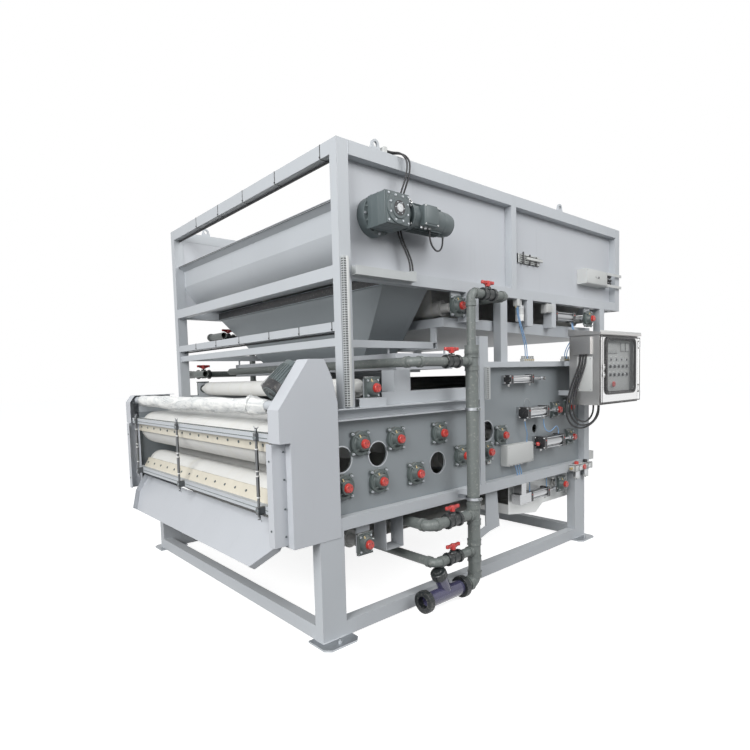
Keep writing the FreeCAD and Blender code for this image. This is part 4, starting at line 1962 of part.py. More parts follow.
def make_cabinet():
    """A sheet metal cabinet on arms from the body, with a hinged door and a sloping roof."""
    y = -S.base_width / 2 - S.cabinet_outset - S.cabinet_deep
    low = (S.cabinet_x, y, S.cabinet_z)
    size = (S.cabinet_long, S.cabinet_deep, S.cabinet_high)
    outer = block("cabinet_outer", low, size)
    inner_low = (S.cabinet_x + S.sheet, y - CUT_OVER, S.cabinet_z + S.sheet)
    inner_size = (
        S.cabinet_long - 2 * S.sheet,
        S.cabinet_deep - S.sheet + CUT_OVER,
        S.cabinet_high - 2 * S.sheet,
    )
    inner = block("cabinet_inner", inner_low, inner_size)
    shell = cut("cabinet_shell", outer, [inner])
    over = S.roof_over
    start = S.cabinet_x - over
    end = S.cabinet_x + S.cabinet_long + over
    back = y + S.cabinet_deep
    front = y - over
    foot = S.cabinet_z + S.cabinet_high
    corners = [
        V(float(start), float(back), float(foot)),
        V(float(start), float(front), float(foot)),
        V(float(start), float(front), float(foot + S.roof_fascia)),
        V(float(start), float(back), float(foot + S.roof_high)),
    ]
    face = Part.Face(Part.makePolygon(corners + corners[:1]))
    roof = feature("roof", face.extrude(V(float(end - start), 0, 0)))
    cover_y = y + S.cabinet_deep - S.side_cover_in - S.side_cover_wide
    cover_low = (S.cabinet_x - S.side_cover_deep, cover_y, S.side_cover_z)
    cover_size = (S.side_cover_deep, S.side_cover_wide, S.side_cover_high)
    cover = block("side_cover", cover_low, cover_size)
    glands = []
    for name in ("front", "middle", "back"):
        gland_x = getattr(S, f"cabinet_gland_{name}_x")
        gland_in = getattr(S, f"cabinet_gland_{name}_in")
        low = (gland_x, y + gland_in, S.cabinet_z - S.cabinet_gland_long)
        gland = rod(f"cabinet_gland_{name}", low, S.cabinet_gland, S.cabinet_gland_long, "Z")
        glands.append(gland)
    node("cabinet_box", [fuse("cabinet_and_roof", [shell, roof, cover] + glands)])
    owner = body("door")
    inset = S.door_inset
    wide = S.cabinet_long - 2 * inset
    high = S.cabinet_high - 2 * inset
    outline = [(as_size(0), as_size(0)), (wide, as_size(0)), (wide, high), (as_size(0), high)]
    left = S.window_left
    right = S.window_right
    low_z = S.window_low
    top_z = S.window_top
    corner = S.window_corner
    opening = [
        (left + corner, low_z),
        (right - corner, low_z, corner, 1),
        (right, low_z + corner),
        (right, top_z - corner, corner, 1),
        (right - corner, top_z),
        (left + corner, top_z, corner, 1),
        (left, top_z - corner),
        (left, low_z + corner, corner, 1),
    ]
    drawing = sketch(owner, "XZ_Plane", "door_outline", [outline, opening])
    pad(owner, drawing, "door_pad", S.door_thickness)
    door_y = y - S.door_gap - S.door_thickness / 2
    door_x = S.cabinet_x + inset
    door_z = S.cabinet_z + inset
    door = put(owner, door_x, door_y, door_z)
    hinge_x = S.cabinet_x + S.cabinet_long + S.hinge_barrel
    barrels = []
    hinge_lugs = []
    for index, share in enumerate((1, 5), start=1):
        hinge_z = S.cabinet_z + S.cabinet_high * share / 6
        long = S.hinge_long
        barrel = rod(f"barrel_{index}", (hinge_x, door_y, hinge_z), S.hinge_barrel, long, "Z")
        leaf_low = (door_x + wide, door_y - S.door_thickness / 2, hinge_z)
        leaf = block(f"leaf_{index}", leaf_low, (hinge_x - door_x - wide, S.door_thickness, long))
        bore_low = (hinge_x, door_y, hinge_z - CUT_OVER)
        bore = rod(
            f"barrel_bore_{index}",
            bore_low,
            S.hinge_pin + S.hinge_pin_gap,
            long + 2 * CUT_OVER,
            "Z",
        )
        barrels.append(cut(f"hinge_barrel_{index}", fuse(f"barrel_leaf_{index}", [barrel, leaf]), [bore]))
        pin_z = hinge_z - S.hinge_lug - S.hinge_gap
        pin_long = long + 2 * S.hinge_lug + 2 * S.hinge_gap
        pin = rod(f"hinge_pin_{index}", (hinge_x, door_y, pin_z), S.hinge_pin, pin_long, "Z")
        pieces = [pin]
        for end, lug_z in (("low", pin_z), ("high", hinge_z + long + S.hinge_gap)):
            lug_low = (S.cabinet_x + S.cabinet_long, door_y - S.hinge_barrel, lug_z)
            lug_size = (2 * S.hinge_barrel, S.hinge_reach, S.hinge_lug)
            pieces.append(block(f"hinge_lug_{index}_{end}", lug_low, lug_size))
        hinge_lugs.append(fuse(f"hinge_{index}", pieces))
    node("cabinet_door", [fuse("door_with_barrels", [door] + barrels)])
    node("cabinet_hinges", hinge_lugs)
    low = (
        door_x + left - S.window_rim,
        door_y - S.door_thickness / 2 - S.window_glass,
        door_z + low_z - S.window_rim,
    )
    size = (right - left + 2 * S.window_rim, S.window_glass, top_z - low_z + 2 * S.window_rim)
    node("door_window", [block("window", low, size)])
    arms = []
    front_y = -S.base_width / 2 - S.cabinet_outset
    beam_low = (S.cabinet_x + S.arm_in, front_y, S.rear_top - S.rear_beam_high)
    arm_size = (S.arm_wide, S.cabinet_outset, S.rear_beam_high)
    arms.append(block("cabinet_arm_1", beam_low, arm_size))
    far_x = S.cabinet_x + S.cabinet_long - S.arm_in - S.arm_wide
    arms.append(block("cabinet_arm_2", (far_x, front_y, beam_low[2]), arm_size))
    post_x = S.body_end + S.arm_post_in
    arms.append(block("cabinet_arm_3", (post_x, front_y, S.arm_low_z), arm_size))
    plate_reach = S.cabinet_outset + S.plate_inset
    arms.append(
        block(
            "cabinet_arm_4",
            (S.cabinet_x + S.arm_in, front_y, S.arm_low_z),
            (S.arm_wide, plate_reach, S.rear_beam_high),
        )
    )
    node("cabinet_arms", arms)


def air_cylinder(name, x, long, y, z, head, can):
    """A square-headed air cylinder with its rod towards the feed end, on a bracket."""
    half = head / 2
    rear = block(f"{name}_rear", (x, y - half, z - half), (S.cylinder_head, head, head))
    tube_long = long * S.cylinder_share
    front_x = x + S.cylinder_head + tube_long
    front = block(f"{name}_front", (front_x, y - half, z - half), (S.cylinder_head, head, head))
    barrel = rod(f"{name}_barrel", (x + S.cylinder_head, y, z), can, tube_long, "X")
    rod_x = front_x + S.cylinder_head
    bar = rod(f"{name}_rod", (rod_x, y, z), S.cylinder_rod, x + long - rod_x, "X")
    return fuse(name, [rear, front, barrel, bar])


CYLINDERS = ("guide_cylinder", "upper_tension", "lower_tension")


def make_cylinders():
    """Cylinders on the side plates, under the body and under the thickener."""
    pieces = []
    for side in SIDES:
        for stem in CYLINDERS:
            x = getattr(S, f"{stem}_x")
            long = getattr(S, f"{stem}_long")
            z = getattr(S, f"{stem}_z")
            head = getattr(S, f"{stem}_head")
            can = getattr(S, f"{stem}_can")
            name = f"{stem}_{side}"
            y = side_middle(side, S.plate_inset - S.cylinder_off - head, head)
            piece = air_cylinder(name, x, long, y, z, head, can)
            low_y = side_low(side, S.plate_inset - S.cylinder_off, S.cylinder_off)
            size = (S.cylinder_head, S.cylinder_off, head)
            foot = block(f"{name}_foot", (x, low_y, z - head / 2), size)
            pieces.append(fuse(f"{name}_set", [piece, foot]))
    head = S.small_head
    y = side_middle("near", S.plate_inset, S.plate_thickness)
    x = S.return_cylinder_x
    z = S.return_cylinder_z
    long = S.return_high_x - S.slide_wide / 2 - x
    under = air_cylinder("return_cylinder", x, long, y, z, head, S.small_can)
    block_x = x - S.return_block_long
    size = (S.return_block_long, head, head)
    holder = block("return_cylinder_block", (block_x, y - head / 2, z - head / 2), size)
    hanger_low = (block_x + S.return_hanger_in, y - head / 2, z + head / 2)
    size = (S.return_hanger_wide, head, S.body_floor - z - head / 2)
    hanger = block("return_cylinder_hanger", hanger_low, size)
    pieces.append(fuse("return_cylinder_set", [under, holder, hanger]))
    y = side_middle("near", S.upper_inset, S.tray_hanger_deep)
    x = S.third_hanger_x + S.third_hanger_wide
    z = S.low_chord_z - S.thickener_cylinder_low
    long = S.lift_x - S.return_plate_wide / 2 - x
    pieces.append(air_cylinder("thickener_cylinder", x, long, y, z, head, S.small_can))
    node("air_cylinders", pieces)


def make_boxes():
    """Boxes, ducts and small fittings on the near side."""
    face = S.plate_inset - S.base_width / 2
    pneumatic = block(
        "pneumatic_box",
        (S.pneumatic_x, face - S.pneumatic_deep, S.pneumatic_z),
        (S.pneumatic_long, S.pneumatic_deep, S.pneumatic_high),
    )
    beam = -S.base_width / 2
    filter_x = S.base_length - S.filter_in
    filter_low = (filter_x, beam - S.filter_deep, S.filter_z)
    body_piece = block("filter_head", filter_low, (S.filter_long, S.filter_deep, S.filter_high))
    bowls = [body_piece]
    for index, share in enumerate((1, 3), start=1):
        x = filter_x + S.filter_long * share / 4
        y = beam - S.filter_deep / 2
        bowl = rod(f"filter_bowl_{index}", (x, y, S.filter_z - S.bowl_long), S.bowl, S.bowl_long, "Z")
        bowls.append(bowl)
    air_filter = fuse("air_filter_set", bowls)
    post_duct = block(
        "post_duct",
        (S.upper_x + S.duct_in, S.upper_inset - S.duct_deep - S.base_width / 2, S.duct_low),
        (S.duct_wide, S.duct_deep, S.duct_top - S.duct_low),
    )
    splice_duct = block(
        "splice_duct",
        (S.splice_x + S.splice_wide, beam - S.duct_deep, S.splice_wing_low),
        (S.duct_wide, S.duct_deep, S.splice_duct_high),
    )
    panel = S.panel_inset - S.base_width / 2
    junction = block(
        "junction_box",
        (S.junction_x, panel - S.junction_deep, S.junction_z),
        (S.junction_long, S.junction_deep, S.junction_high),
    )
    arms = []
    for index, z in enumerate((S.junction_z, S.junction_z + S.junction_high - S.junction_arm), start=1):
        arm_low = (S.junction_x + S.junction_long, panel - S.junction_deep, z)
        arm_size = (S.junction_arm_long, S.junction_arm_deep, S.junction_arm)
        arms.append(block(f"junction_arm_{index}", arm_low, arm_size))
    junction = fuse("junction_set", [junction] + arms)
    vent = block(
        "panel_vent",
        (S.vent_x, panel - S.vent_deep, S.vent_z),
        (S.vent_long, S.vent_deep, S.vent_high),
    )
    chord_face = S.upper_inset - S.base_width / 2
    filter_y = chord_face + S.line_filter
    low = (S.line_filter_x, filter_y, S.line_filter_low)
    can = rod("line_filter_can", low, S.line_filter, S.line_filter_top - S.line_filter_low, "Z")
    low = (S.line_filter_x, filter_y, S.line_filter_top)
    neck = rod("line_filter_stem", low, S.line_filter_neck, S.low_chord_z - S.line_filter_top, "Z")
    line_filter = fuse("line_filter_set", [can, neck])
    hose_block = block(
        "hose_block_piece",
        (S.hose_block_x, chord_face, S.hose_block_low),
        (S.hose_block, S.hose_block, S.low_chord_z - S.hose_block_low),
    )
    manifolds = []
    for name, x, long in (
        ("manifold", S.manifold_x, S.manifold_long),
        ("second_manifold", S.second_manifold_x, S.second_manifold_long),
    ):
        low = (x, side_low("near", S.junction_arm, S.manifold_deep), S.rear_top)
        manifolds.append(block(f"{name}_piece", low, (long, S.manifold_deep, S.manifold_high)))
    end_low = (S.body_end + S.end_post_wide, side_low("near", 0, S.plate_inset), S.end_box_z)
    end_box = block("end_box", end_low, (S.end_box_long, S.plate_inset, S.end_box_high))
    small = [line_filter, hose_block, end_box] + manifolds
    clip_low = (S.chord_clip_x, side_low("near", S.chord_clip_inset, S.chord_clip_wide), S.upper_top)
    clip = block("chord_clip", clip_low, (S.chord_clip_long, S.chord_clip_wide, S.chord_clip_high))
    small.append(clip)
    node("control_boxes", [pneumatic, air_filter, junction, vent] + small)
    tray_low = (
        S.upper_x + S.post_wide,
        S.upper_inset - S.cable_tray_deep - S.base_width / 2,
        S.cable_tray_z,
    )
    tray_size = (S.cable_tray_long, S.cable_tray_deep, S.cable_tray_high)
    outer = block("cable_tray_outer", tray_low, tray_size)
    hollow_low = (tray_low[0] - CUT_OVER, tray_low[1] + S.sheet, tray_low[2] + S.sheet)
    hollow_size = (
        S.cable_tray_long + 2 * CUT_OVER,
        S.cable_tray_deep - 2 * S.sheet,
        S.cable_tray_high,
    )
    hollow = block("cable_tray_inner", hollow_low, hollow_size)
    gland_x = tray_low[0] + S.cable_tray_long - S.tray_gland_long
    gland_low = (gland_x, tray_low[1], S.cable_tray_z + S.cable_tray_high)
    gland_size = (S.tray_gland_long, S.cable_tray_deep, S.tray_gland_high)
    tray_gland = block("cable_tray_gland", gland_low, gland_size)
    tray = cut("cable_tray_cut", outer, [hollow])
    cable_tray = fuse("cable_tray_set", [tray, tray_gland])
    node("wiring_ducts", [post_duct, splice_duct, cable_tray])


# Routes of the free cables and hoses: x from the discharge legs' outer face, the inset from the
# near legs' outer face, and z. Each one starts and ends square on a gland, a clip or a fitting.
MOTOR_CABLES = {
    "drive_cable_left": [
        (818, 10, 2292),
        (818, 10, 2350),
        (795, 31, 2430),
        (764, 57, 2520),
        (752, 62, 2620),
        (752, 52, 2715),
        (760, 22, 2805),
        (776, -6, 2885),
        (784, -15, 2950),
        (784, -13, 3006),
        (755, 16, 3051),
        (715, 56, 3054),
        (659, 56, 3054),
    ],
    "drive_cable_right": [
        (842, 10, 2292),
        (842, 10, 2350),
        (819, 31, 2430),
        (790, 57, 2520),
        (778, 62, 2620),
        (778, 52, 2715),
        (786, 22, 2805),
        (802, -6, 2885),
        (810, -15, 2950),
        (810, -13, 3006),
        (781, 16, 3051),
        (721, 76, 3054),
        (659, 76, 3054),
    ],
    "motor_loop": [
        (880, -110, 2545.5),
        (880, -110, 2506),
        (905, -104, 2452),
        (965, -90, 2425),
        (1020, -74, 2436),
        (1060, -60, 2468),
        (1075, -55, 2506),
        (1075, -55, 2536),
    ],
}
CABINET_CABLES = {
    "cabinet_cable_front": [
        (2712, -236, 1741),
        (2712, -236, 1680),
        (2700, -216, 1600),
        (2692, -184, 1515),
        (2690, -156, 1430),
        (2676, -142, 1345),
        (2676, -138, 1262),
        (2715, -138, 1190),
        (2785, -148, 1150),
        (2862, -158, 1140),
        (2922, -165, 1162),
        (2966, -169, 1202),
        (2985, -170, 1247),
        (2985, -170, 1288),
    ],
    "cabinet_cable_middle": [
        (2712, -210, 1741),
        (2712, -210, 1680),
        (2700, -190, 1600),
        (2692, -158, 1515),
        (2690, -130, 1430),
        (2676, -116, 1345),
        (2668, -112, 1255),
        (2700, -116, 1175),
        (2775, -130, 1122),
        (2865, -145, 1105),
        (2955, -158, 1118),
        (3022, -165, 1152),
        (3062, -169, 1204),
        (3078, -170, 1250),
        (3078, -170, 1288),
    ],
    "cabinet_cable_back": [
        (2712, -184, 1741),
        (2712, -184, 1680),
        (2700, -164, 1600),
        (2692, -132, 1515),
        (2690, -104, 1430),
        (2676, -90, 1345),
        (2648, -88, 1256),
        (2672, -92, 1168),
        (2740, -105, 1105),
        (2835, -120, 1078),
        (2935, -135, 1088),
        (3030, -148, 1125),
        (3095, -158, 1180),
        (3113, -160, 1236),
        (3113, -160, 1288),
    ],
}
AIR_HOSES = {
    "riser_hose_left": [
        (2108, 45, 2150),
        (2108, 45, 2100),
        (2128, 36, 2010),
        (2160, 31, 1920),
        (2195, 30, 1830),
        (2212, 36, 1760),
        (2212, 36, 1715),
    ],
    "riser_hose_right": [
        (2124, 45, 2150),
        (2124, 45, 2100),
        (2146, 36, 2010),
        (2184, 31, 1920),
        (2222, 30, 1830),
        (2240, 36, 1760),
        (2240, 36, 1715),
    ],
    "thickener_hose_left": [
        (3024, 58, 2058),
        (3024, 58, 2022),
        (3012, 40, 1986),
        (2982, 24, 1940),
        (2936, 18, 1886),
        (2892, 25, 1834),
        (2864, 33, 1790),
        (2852, 36, 1750),
        (2852, 36, 1715),
    ],
    "thickener_hose_right": [
        (3040, 58, 2058),
        (3040, 58, 2022),
        (3030, 38, 1984),
        (3004, 20, 1936),
        (2964, 14, 1884),
        (2924, 21, 1834),
        (2898, 32, 1790),
        (2888, 36, 1750),
        (2888, 36, 1715),
    ],
    "tension_hose_long": [
        (2418, -8, 1214),
        (2418, -8, 1182),
        (2406, -18, 1136),
        (2418, -30, 1094),
        (2462, -38, 1076),
        (2514, -37, 1092),
        (2568, -30, 1114),
        (2612, -21, 1116),
        (2642, -15, 1099),
        (2655, -12, 1070),
        (2655, -12, 1042),
    ],
    "tension_hose_short": [
        (2129, -8, 1214),
        (2129, -8, 1184),
        (2146, -8, 1130),
        (2180, 2, 1086),
        (2201, 20, 1044),
        (2201, 20, 1009),
    ],
    "box_hose_left": [
        (2040, 28, 841),
        (2040, 28, 815),
        (2052, 18, 780),
        (2052, 18, 745),
    ],
    "box_hose_middle": [
        (2070, 28, 841),
        (2070, 28, 815),
        (2086, 20, 780),
        (2086, 20, 745),
    ],
    "box_hose_right": [
        (2100, 28, 841),
        (2100, 28, 815),
        (2116, 20, 780),
        (2116, 20, 745),
    ],
    "return_hose_left": [
        (2276, 44, 667),
        (2276, 44, 635),
        (2286, 50, 600),
        (2286, 50, 567),
    ],
    "return_hose_right": [
        (2546, 44, 667),
        (2546, 44, 635),
        (2558, 50, 600),
        (2558, 50, 567),
    ],
}
CORD_TURN = 0.45


def corner_bends(points):
    """At each corner the radius whose arc takes up the same part of the shorter run."""
    bends = []
    for before, corner, after in zip(points, points[1:], points[2:]):
        run = min((before - corner).Length, (after - corner).Length)
        half = (before - corner).getAngle(after - corner) / 2
        bends.append(CORD_TURN * run * math.tan(half))
    return bends


def cords(routes, radius):
    """A plain tube along each route."""
    near = -float(S.base_width) / 2
    pieces = []
    for name, route in routes.items():
        points = [V(x, near + inset, z) for x, inset, z in route]
        bends = corner_bends(points)
        pieces.append(feature(name, swept(points, bends, float(radius))))
        print(name, "tightest bend", round(min(bends)), "mm, radius", float(radius), "mm")
    return pieces


def make_cords():
    """The cables and air hoses that hang or lie free."""
    cables = cords(MOTOR_CABLES, S.motor_cable) + cords(CABINET_CABLES, S.cabinet_cable)
    node("black_cables", cables)
    node("air_hoses", cords(AIR_HOSES, S.air_hose))


MAKERS = (
    make_legs,
    make_feet,
    make_base_beams,
    make_body_beams,
    make_side_plates,
    make_top_rails,
    make_body_posts,
    make_drip_tray,
    make_upper_posts,
    make_upper_chords,
    make_upper_panels,
    make_lifting_lugs,
    make_trough,
    make_hopper,
    make_tray,
    make_inner_frame,
    make_rollers,
    make_belts,
    make_bearings,
    make_hanging_brackets,
    make_hoods,
    make_discharge_motor,
    make_film,
    make_scrapers,
    make_chute,
    make_distribution_box,
    make_water_pipes,
    make_valves,
    make_strainer,
    make_riser_clamps,
    make_gearmotor,
    make_cabinet,
    make_cylinders,
    make_boxes,
    make_cords,
)


def check(thing):
    """Stops at a piece that did not come out as a sound shape."""
    bad = [state for state in thing.State if state in ("Invalid", "Error")]
    if bad:
        raise RuntimeError(f"{thing.Label}: {bad}")
    shape = getattr(thing, "Shape", None)
    if shape is not None and thing.TypeId != "Sketcher::SketchObject":
        if shape.isNull() or not shape.isValid():
            raise RuntimeError(f"{thing.Label}: its shape is not sound")


def export():
    os.makedirs("parts", exist_ok=True)
    for stale in os.listdir("parts"):
        os.remove(os.path.join("parts", stale))
    for piece in NODES:
        piece.Shape.exportStep(f"parts/{piece.Label}.step")
    print(len(NODES), "sub-parts")


for maker in MAKERS:
    maker()
DOC.recompute()
for piece in NODES:
    check(piece)
export()
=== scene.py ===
import math
import random

import bmesh
import bpy
from bpy.props import FloatProperty, FloatVectorProperty, PointerProperty
from mathutils import Matrix, Vector


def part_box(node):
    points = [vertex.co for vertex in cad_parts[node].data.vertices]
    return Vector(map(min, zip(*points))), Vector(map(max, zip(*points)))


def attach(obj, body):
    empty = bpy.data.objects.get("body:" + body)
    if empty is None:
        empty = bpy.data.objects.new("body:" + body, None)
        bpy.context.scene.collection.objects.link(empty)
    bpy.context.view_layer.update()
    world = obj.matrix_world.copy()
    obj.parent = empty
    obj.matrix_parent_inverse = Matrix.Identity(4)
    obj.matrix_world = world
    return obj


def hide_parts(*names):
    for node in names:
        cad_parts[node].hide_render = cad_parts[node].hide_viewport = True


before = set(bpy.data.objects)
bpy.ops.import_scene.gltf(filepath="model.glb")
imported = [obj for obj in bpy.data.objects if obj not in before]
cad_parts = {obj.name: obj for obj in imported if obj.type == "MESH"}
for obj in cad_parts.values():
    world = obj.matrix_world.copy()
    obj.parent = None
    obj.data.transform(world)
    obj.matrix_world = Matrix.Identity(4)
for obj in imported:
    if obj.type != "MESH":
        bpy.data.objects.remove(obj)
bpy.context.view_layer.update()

bl_info = {
    "name": "Belt Filter Press Dressing",
    "version": (1, 0, 0),
    "blender": (4, 5, 0),
    "location": "View3D > Sidebar > Belt Press",
    "description": "Finishes, fasteners, hoses, wiring and fittings of a belt filter press",
    "category": "Object",
}

MM = 0.001
X_AXIS = Vector((1, 0, 0))
Y_AXIS = Vector((0, 1, 0))
Z_AXIS = Vector((0, 0, 1))
FRAME_BODY = "frame"


class Wire:
    """One output socket, so that shader maths reads as plain arithmetic."""

    def __init__(self, paint, socket):
        self.paint = paint
        self.socket = socket

    def maths(self, operation, *others, clamp=False):
        settings = {"operation": operation, "use_clamp": clamp}
        inputs = dict(enumerate((self,) + others))
        return self.paint.add("ShaderNodeMath", settings, inputs)

    def __add__(self, other):
        return self.maths("ADD", other)

    def __sub__(self, other):
        return self.maths("SUBTRACT", other)

    def __mul__(self, other):
        return self.maths("MULTIPLY", other)

    __radd__ = __add__
    __rmul__ = __mul__

    def clamped(self):
        return self.maths("ADD", 0.0, clamp=True)

    def above(self, edge, soft):
        """0 below the edge and 1 above it, with a soft step between."""
        ends = {"Value": self, "From Min": edge - soft, "From Max": edge + soft}
        return self.paint.add("ShaderNodeMapRange", {"interpolation_type": "SMOOTHSTEP"}, ends)


class Paint:
    """A material of one Principled surface, built node by node."""

    def __init__(self, name, **constants):
        self.material = bpy.data.materials.new(name)
        self.material.use_nodes = True
        self.tree = self.material.node_tree
        self.tree.nodes.clear()
        output = self.tree.nodes.new("ShaderNodeOutputMaterial")
        self.surface = self.tree.nodes.new("ShaderNodeBsdfPrincipled")
        self.tree.links.new(self.surface.outputs["BSDF"], output.inputs["Surface"])
        self.set(**constants)

    def feed(self, node, inputs):
        for key, value in inputs.items():
            socket = node.inputs[key]
            if isinstance(value, Wire):
                self.tree.links.new(value.socket, socket)
            elif socket.type == "RGBA":
                socket.default_value = tuple(value)[:3] + (1.0,)
            else:
                socket.default_value = value

    def add(self, kind, settings=None, inputs=None, output=0):
        node = self.tree.nodes.new(kind)
        for key, value in (settings or {}).items():
            setattr(node, key, value)
        self.feed(node, inputs or {})
        return Wire(self, node.outputs[output])

    def set(self, **inputs):
        """Sets the surface's sockets; an underscore stands for a space."""
        self.feed(self.surface, {key.replace("_", " "): value for key, value in inputs.items()})

    def place(self):
        return self.add("ShaderNodeTexCoord", output="Object")

    def spread(self, scale):
        """The place, stretched along each axis."""
        inputs = {0: self.place(), 1: scale}
        return self.add("ShaderNodeVectorMath", {"operation": "MULTIPLY"}, inputs)

    def noise(self, scale, detail=2.0, roughness=0.5, vector=None, distortion=0.0):
        inputs = {
            "Vector": vector or self.place(),
            "Scale": scale,
            "Detail": detail,
            "Roughness": roughness,
            "Distortion": distortion,
        }
        return self.add("ShaderNodeTexNoise", None, inputs)

    def cells(self, scale, vector):
        """The distance from the edges of irregular cells."""
        inputs = {"Vector": vector, "Scale": scale}
        settings = {"feature": "DISTANCE_TO_EDGE"}
        return self.add("ShaderNodeTexVoronoi", settings, inputs, "Distance")

    def waves(self, scale, direction):
        settings = {"wave_type": "BANDS", "bands_direction": direction}
        inputs = {"Vector": self.place(), "Scale": scale}
        return self.add("ShaderNodeTexWave", settings, inputs)

    def mix(self, share, first, second):
        settings = {"data_type": "RGBA"}
        return self.add("ShaderNodeMix", settings, {0: share, 6: first, 7: second}, 2)

    def facing(self, direction):
        """How far the surface faces a direction, from -1 to 1."""
        inputs = {0: self.add("ShaderNodeNewGeometry", output="Normal"), 1: direction}
        return self.add("ShaderNodeVectorMath", {"operation": "DOT_PRODUCT"}, inputs, "Value")

    def off_centre(self):
        """The distance from the machine's middle, across it."""
        across = self.add("ShaderNodeSeparateXYZ", None, {0: self.place()}, "Y")
        return across.maths("ABSOLUTE")

    def bump(self, height, strength, distance, radius=0.0):
        """Raised detail, on edges that look rounded where the radius is above 0."""
        inputs = {"Height": height, "Strength": strength, "Distance": distance}
        if radius:
            inputs["Normal"] = self.add("ShaderNodeBevel", {"samples": 4}, {"Radius": radius})
        self.set(Normal=self.add("ShaderNodeBump", None, inputs))


SHARP_ANGLE = math.radians(32)
HEX_SIDES = 6
EDGE_SEGMENTS = 2
CORNERS = ((-1, -1), (1, -1), (1, 1), (-1, 1))


def rays(count, first, second, start=0.0):
    """Directions all round, evenly spaced from a start in degrees, in the plane of two axes."""
    for step in range(count):
        angle = math.radians(start + 360 * step / count)
        yield first * math.cos(angle) + second * math.sin(angle)


def sorted_box(first, second):
    """The lowest and highest corner of the box between two places."""
    return Vector(map(min, first, second)), Vector(map(max, first, second))


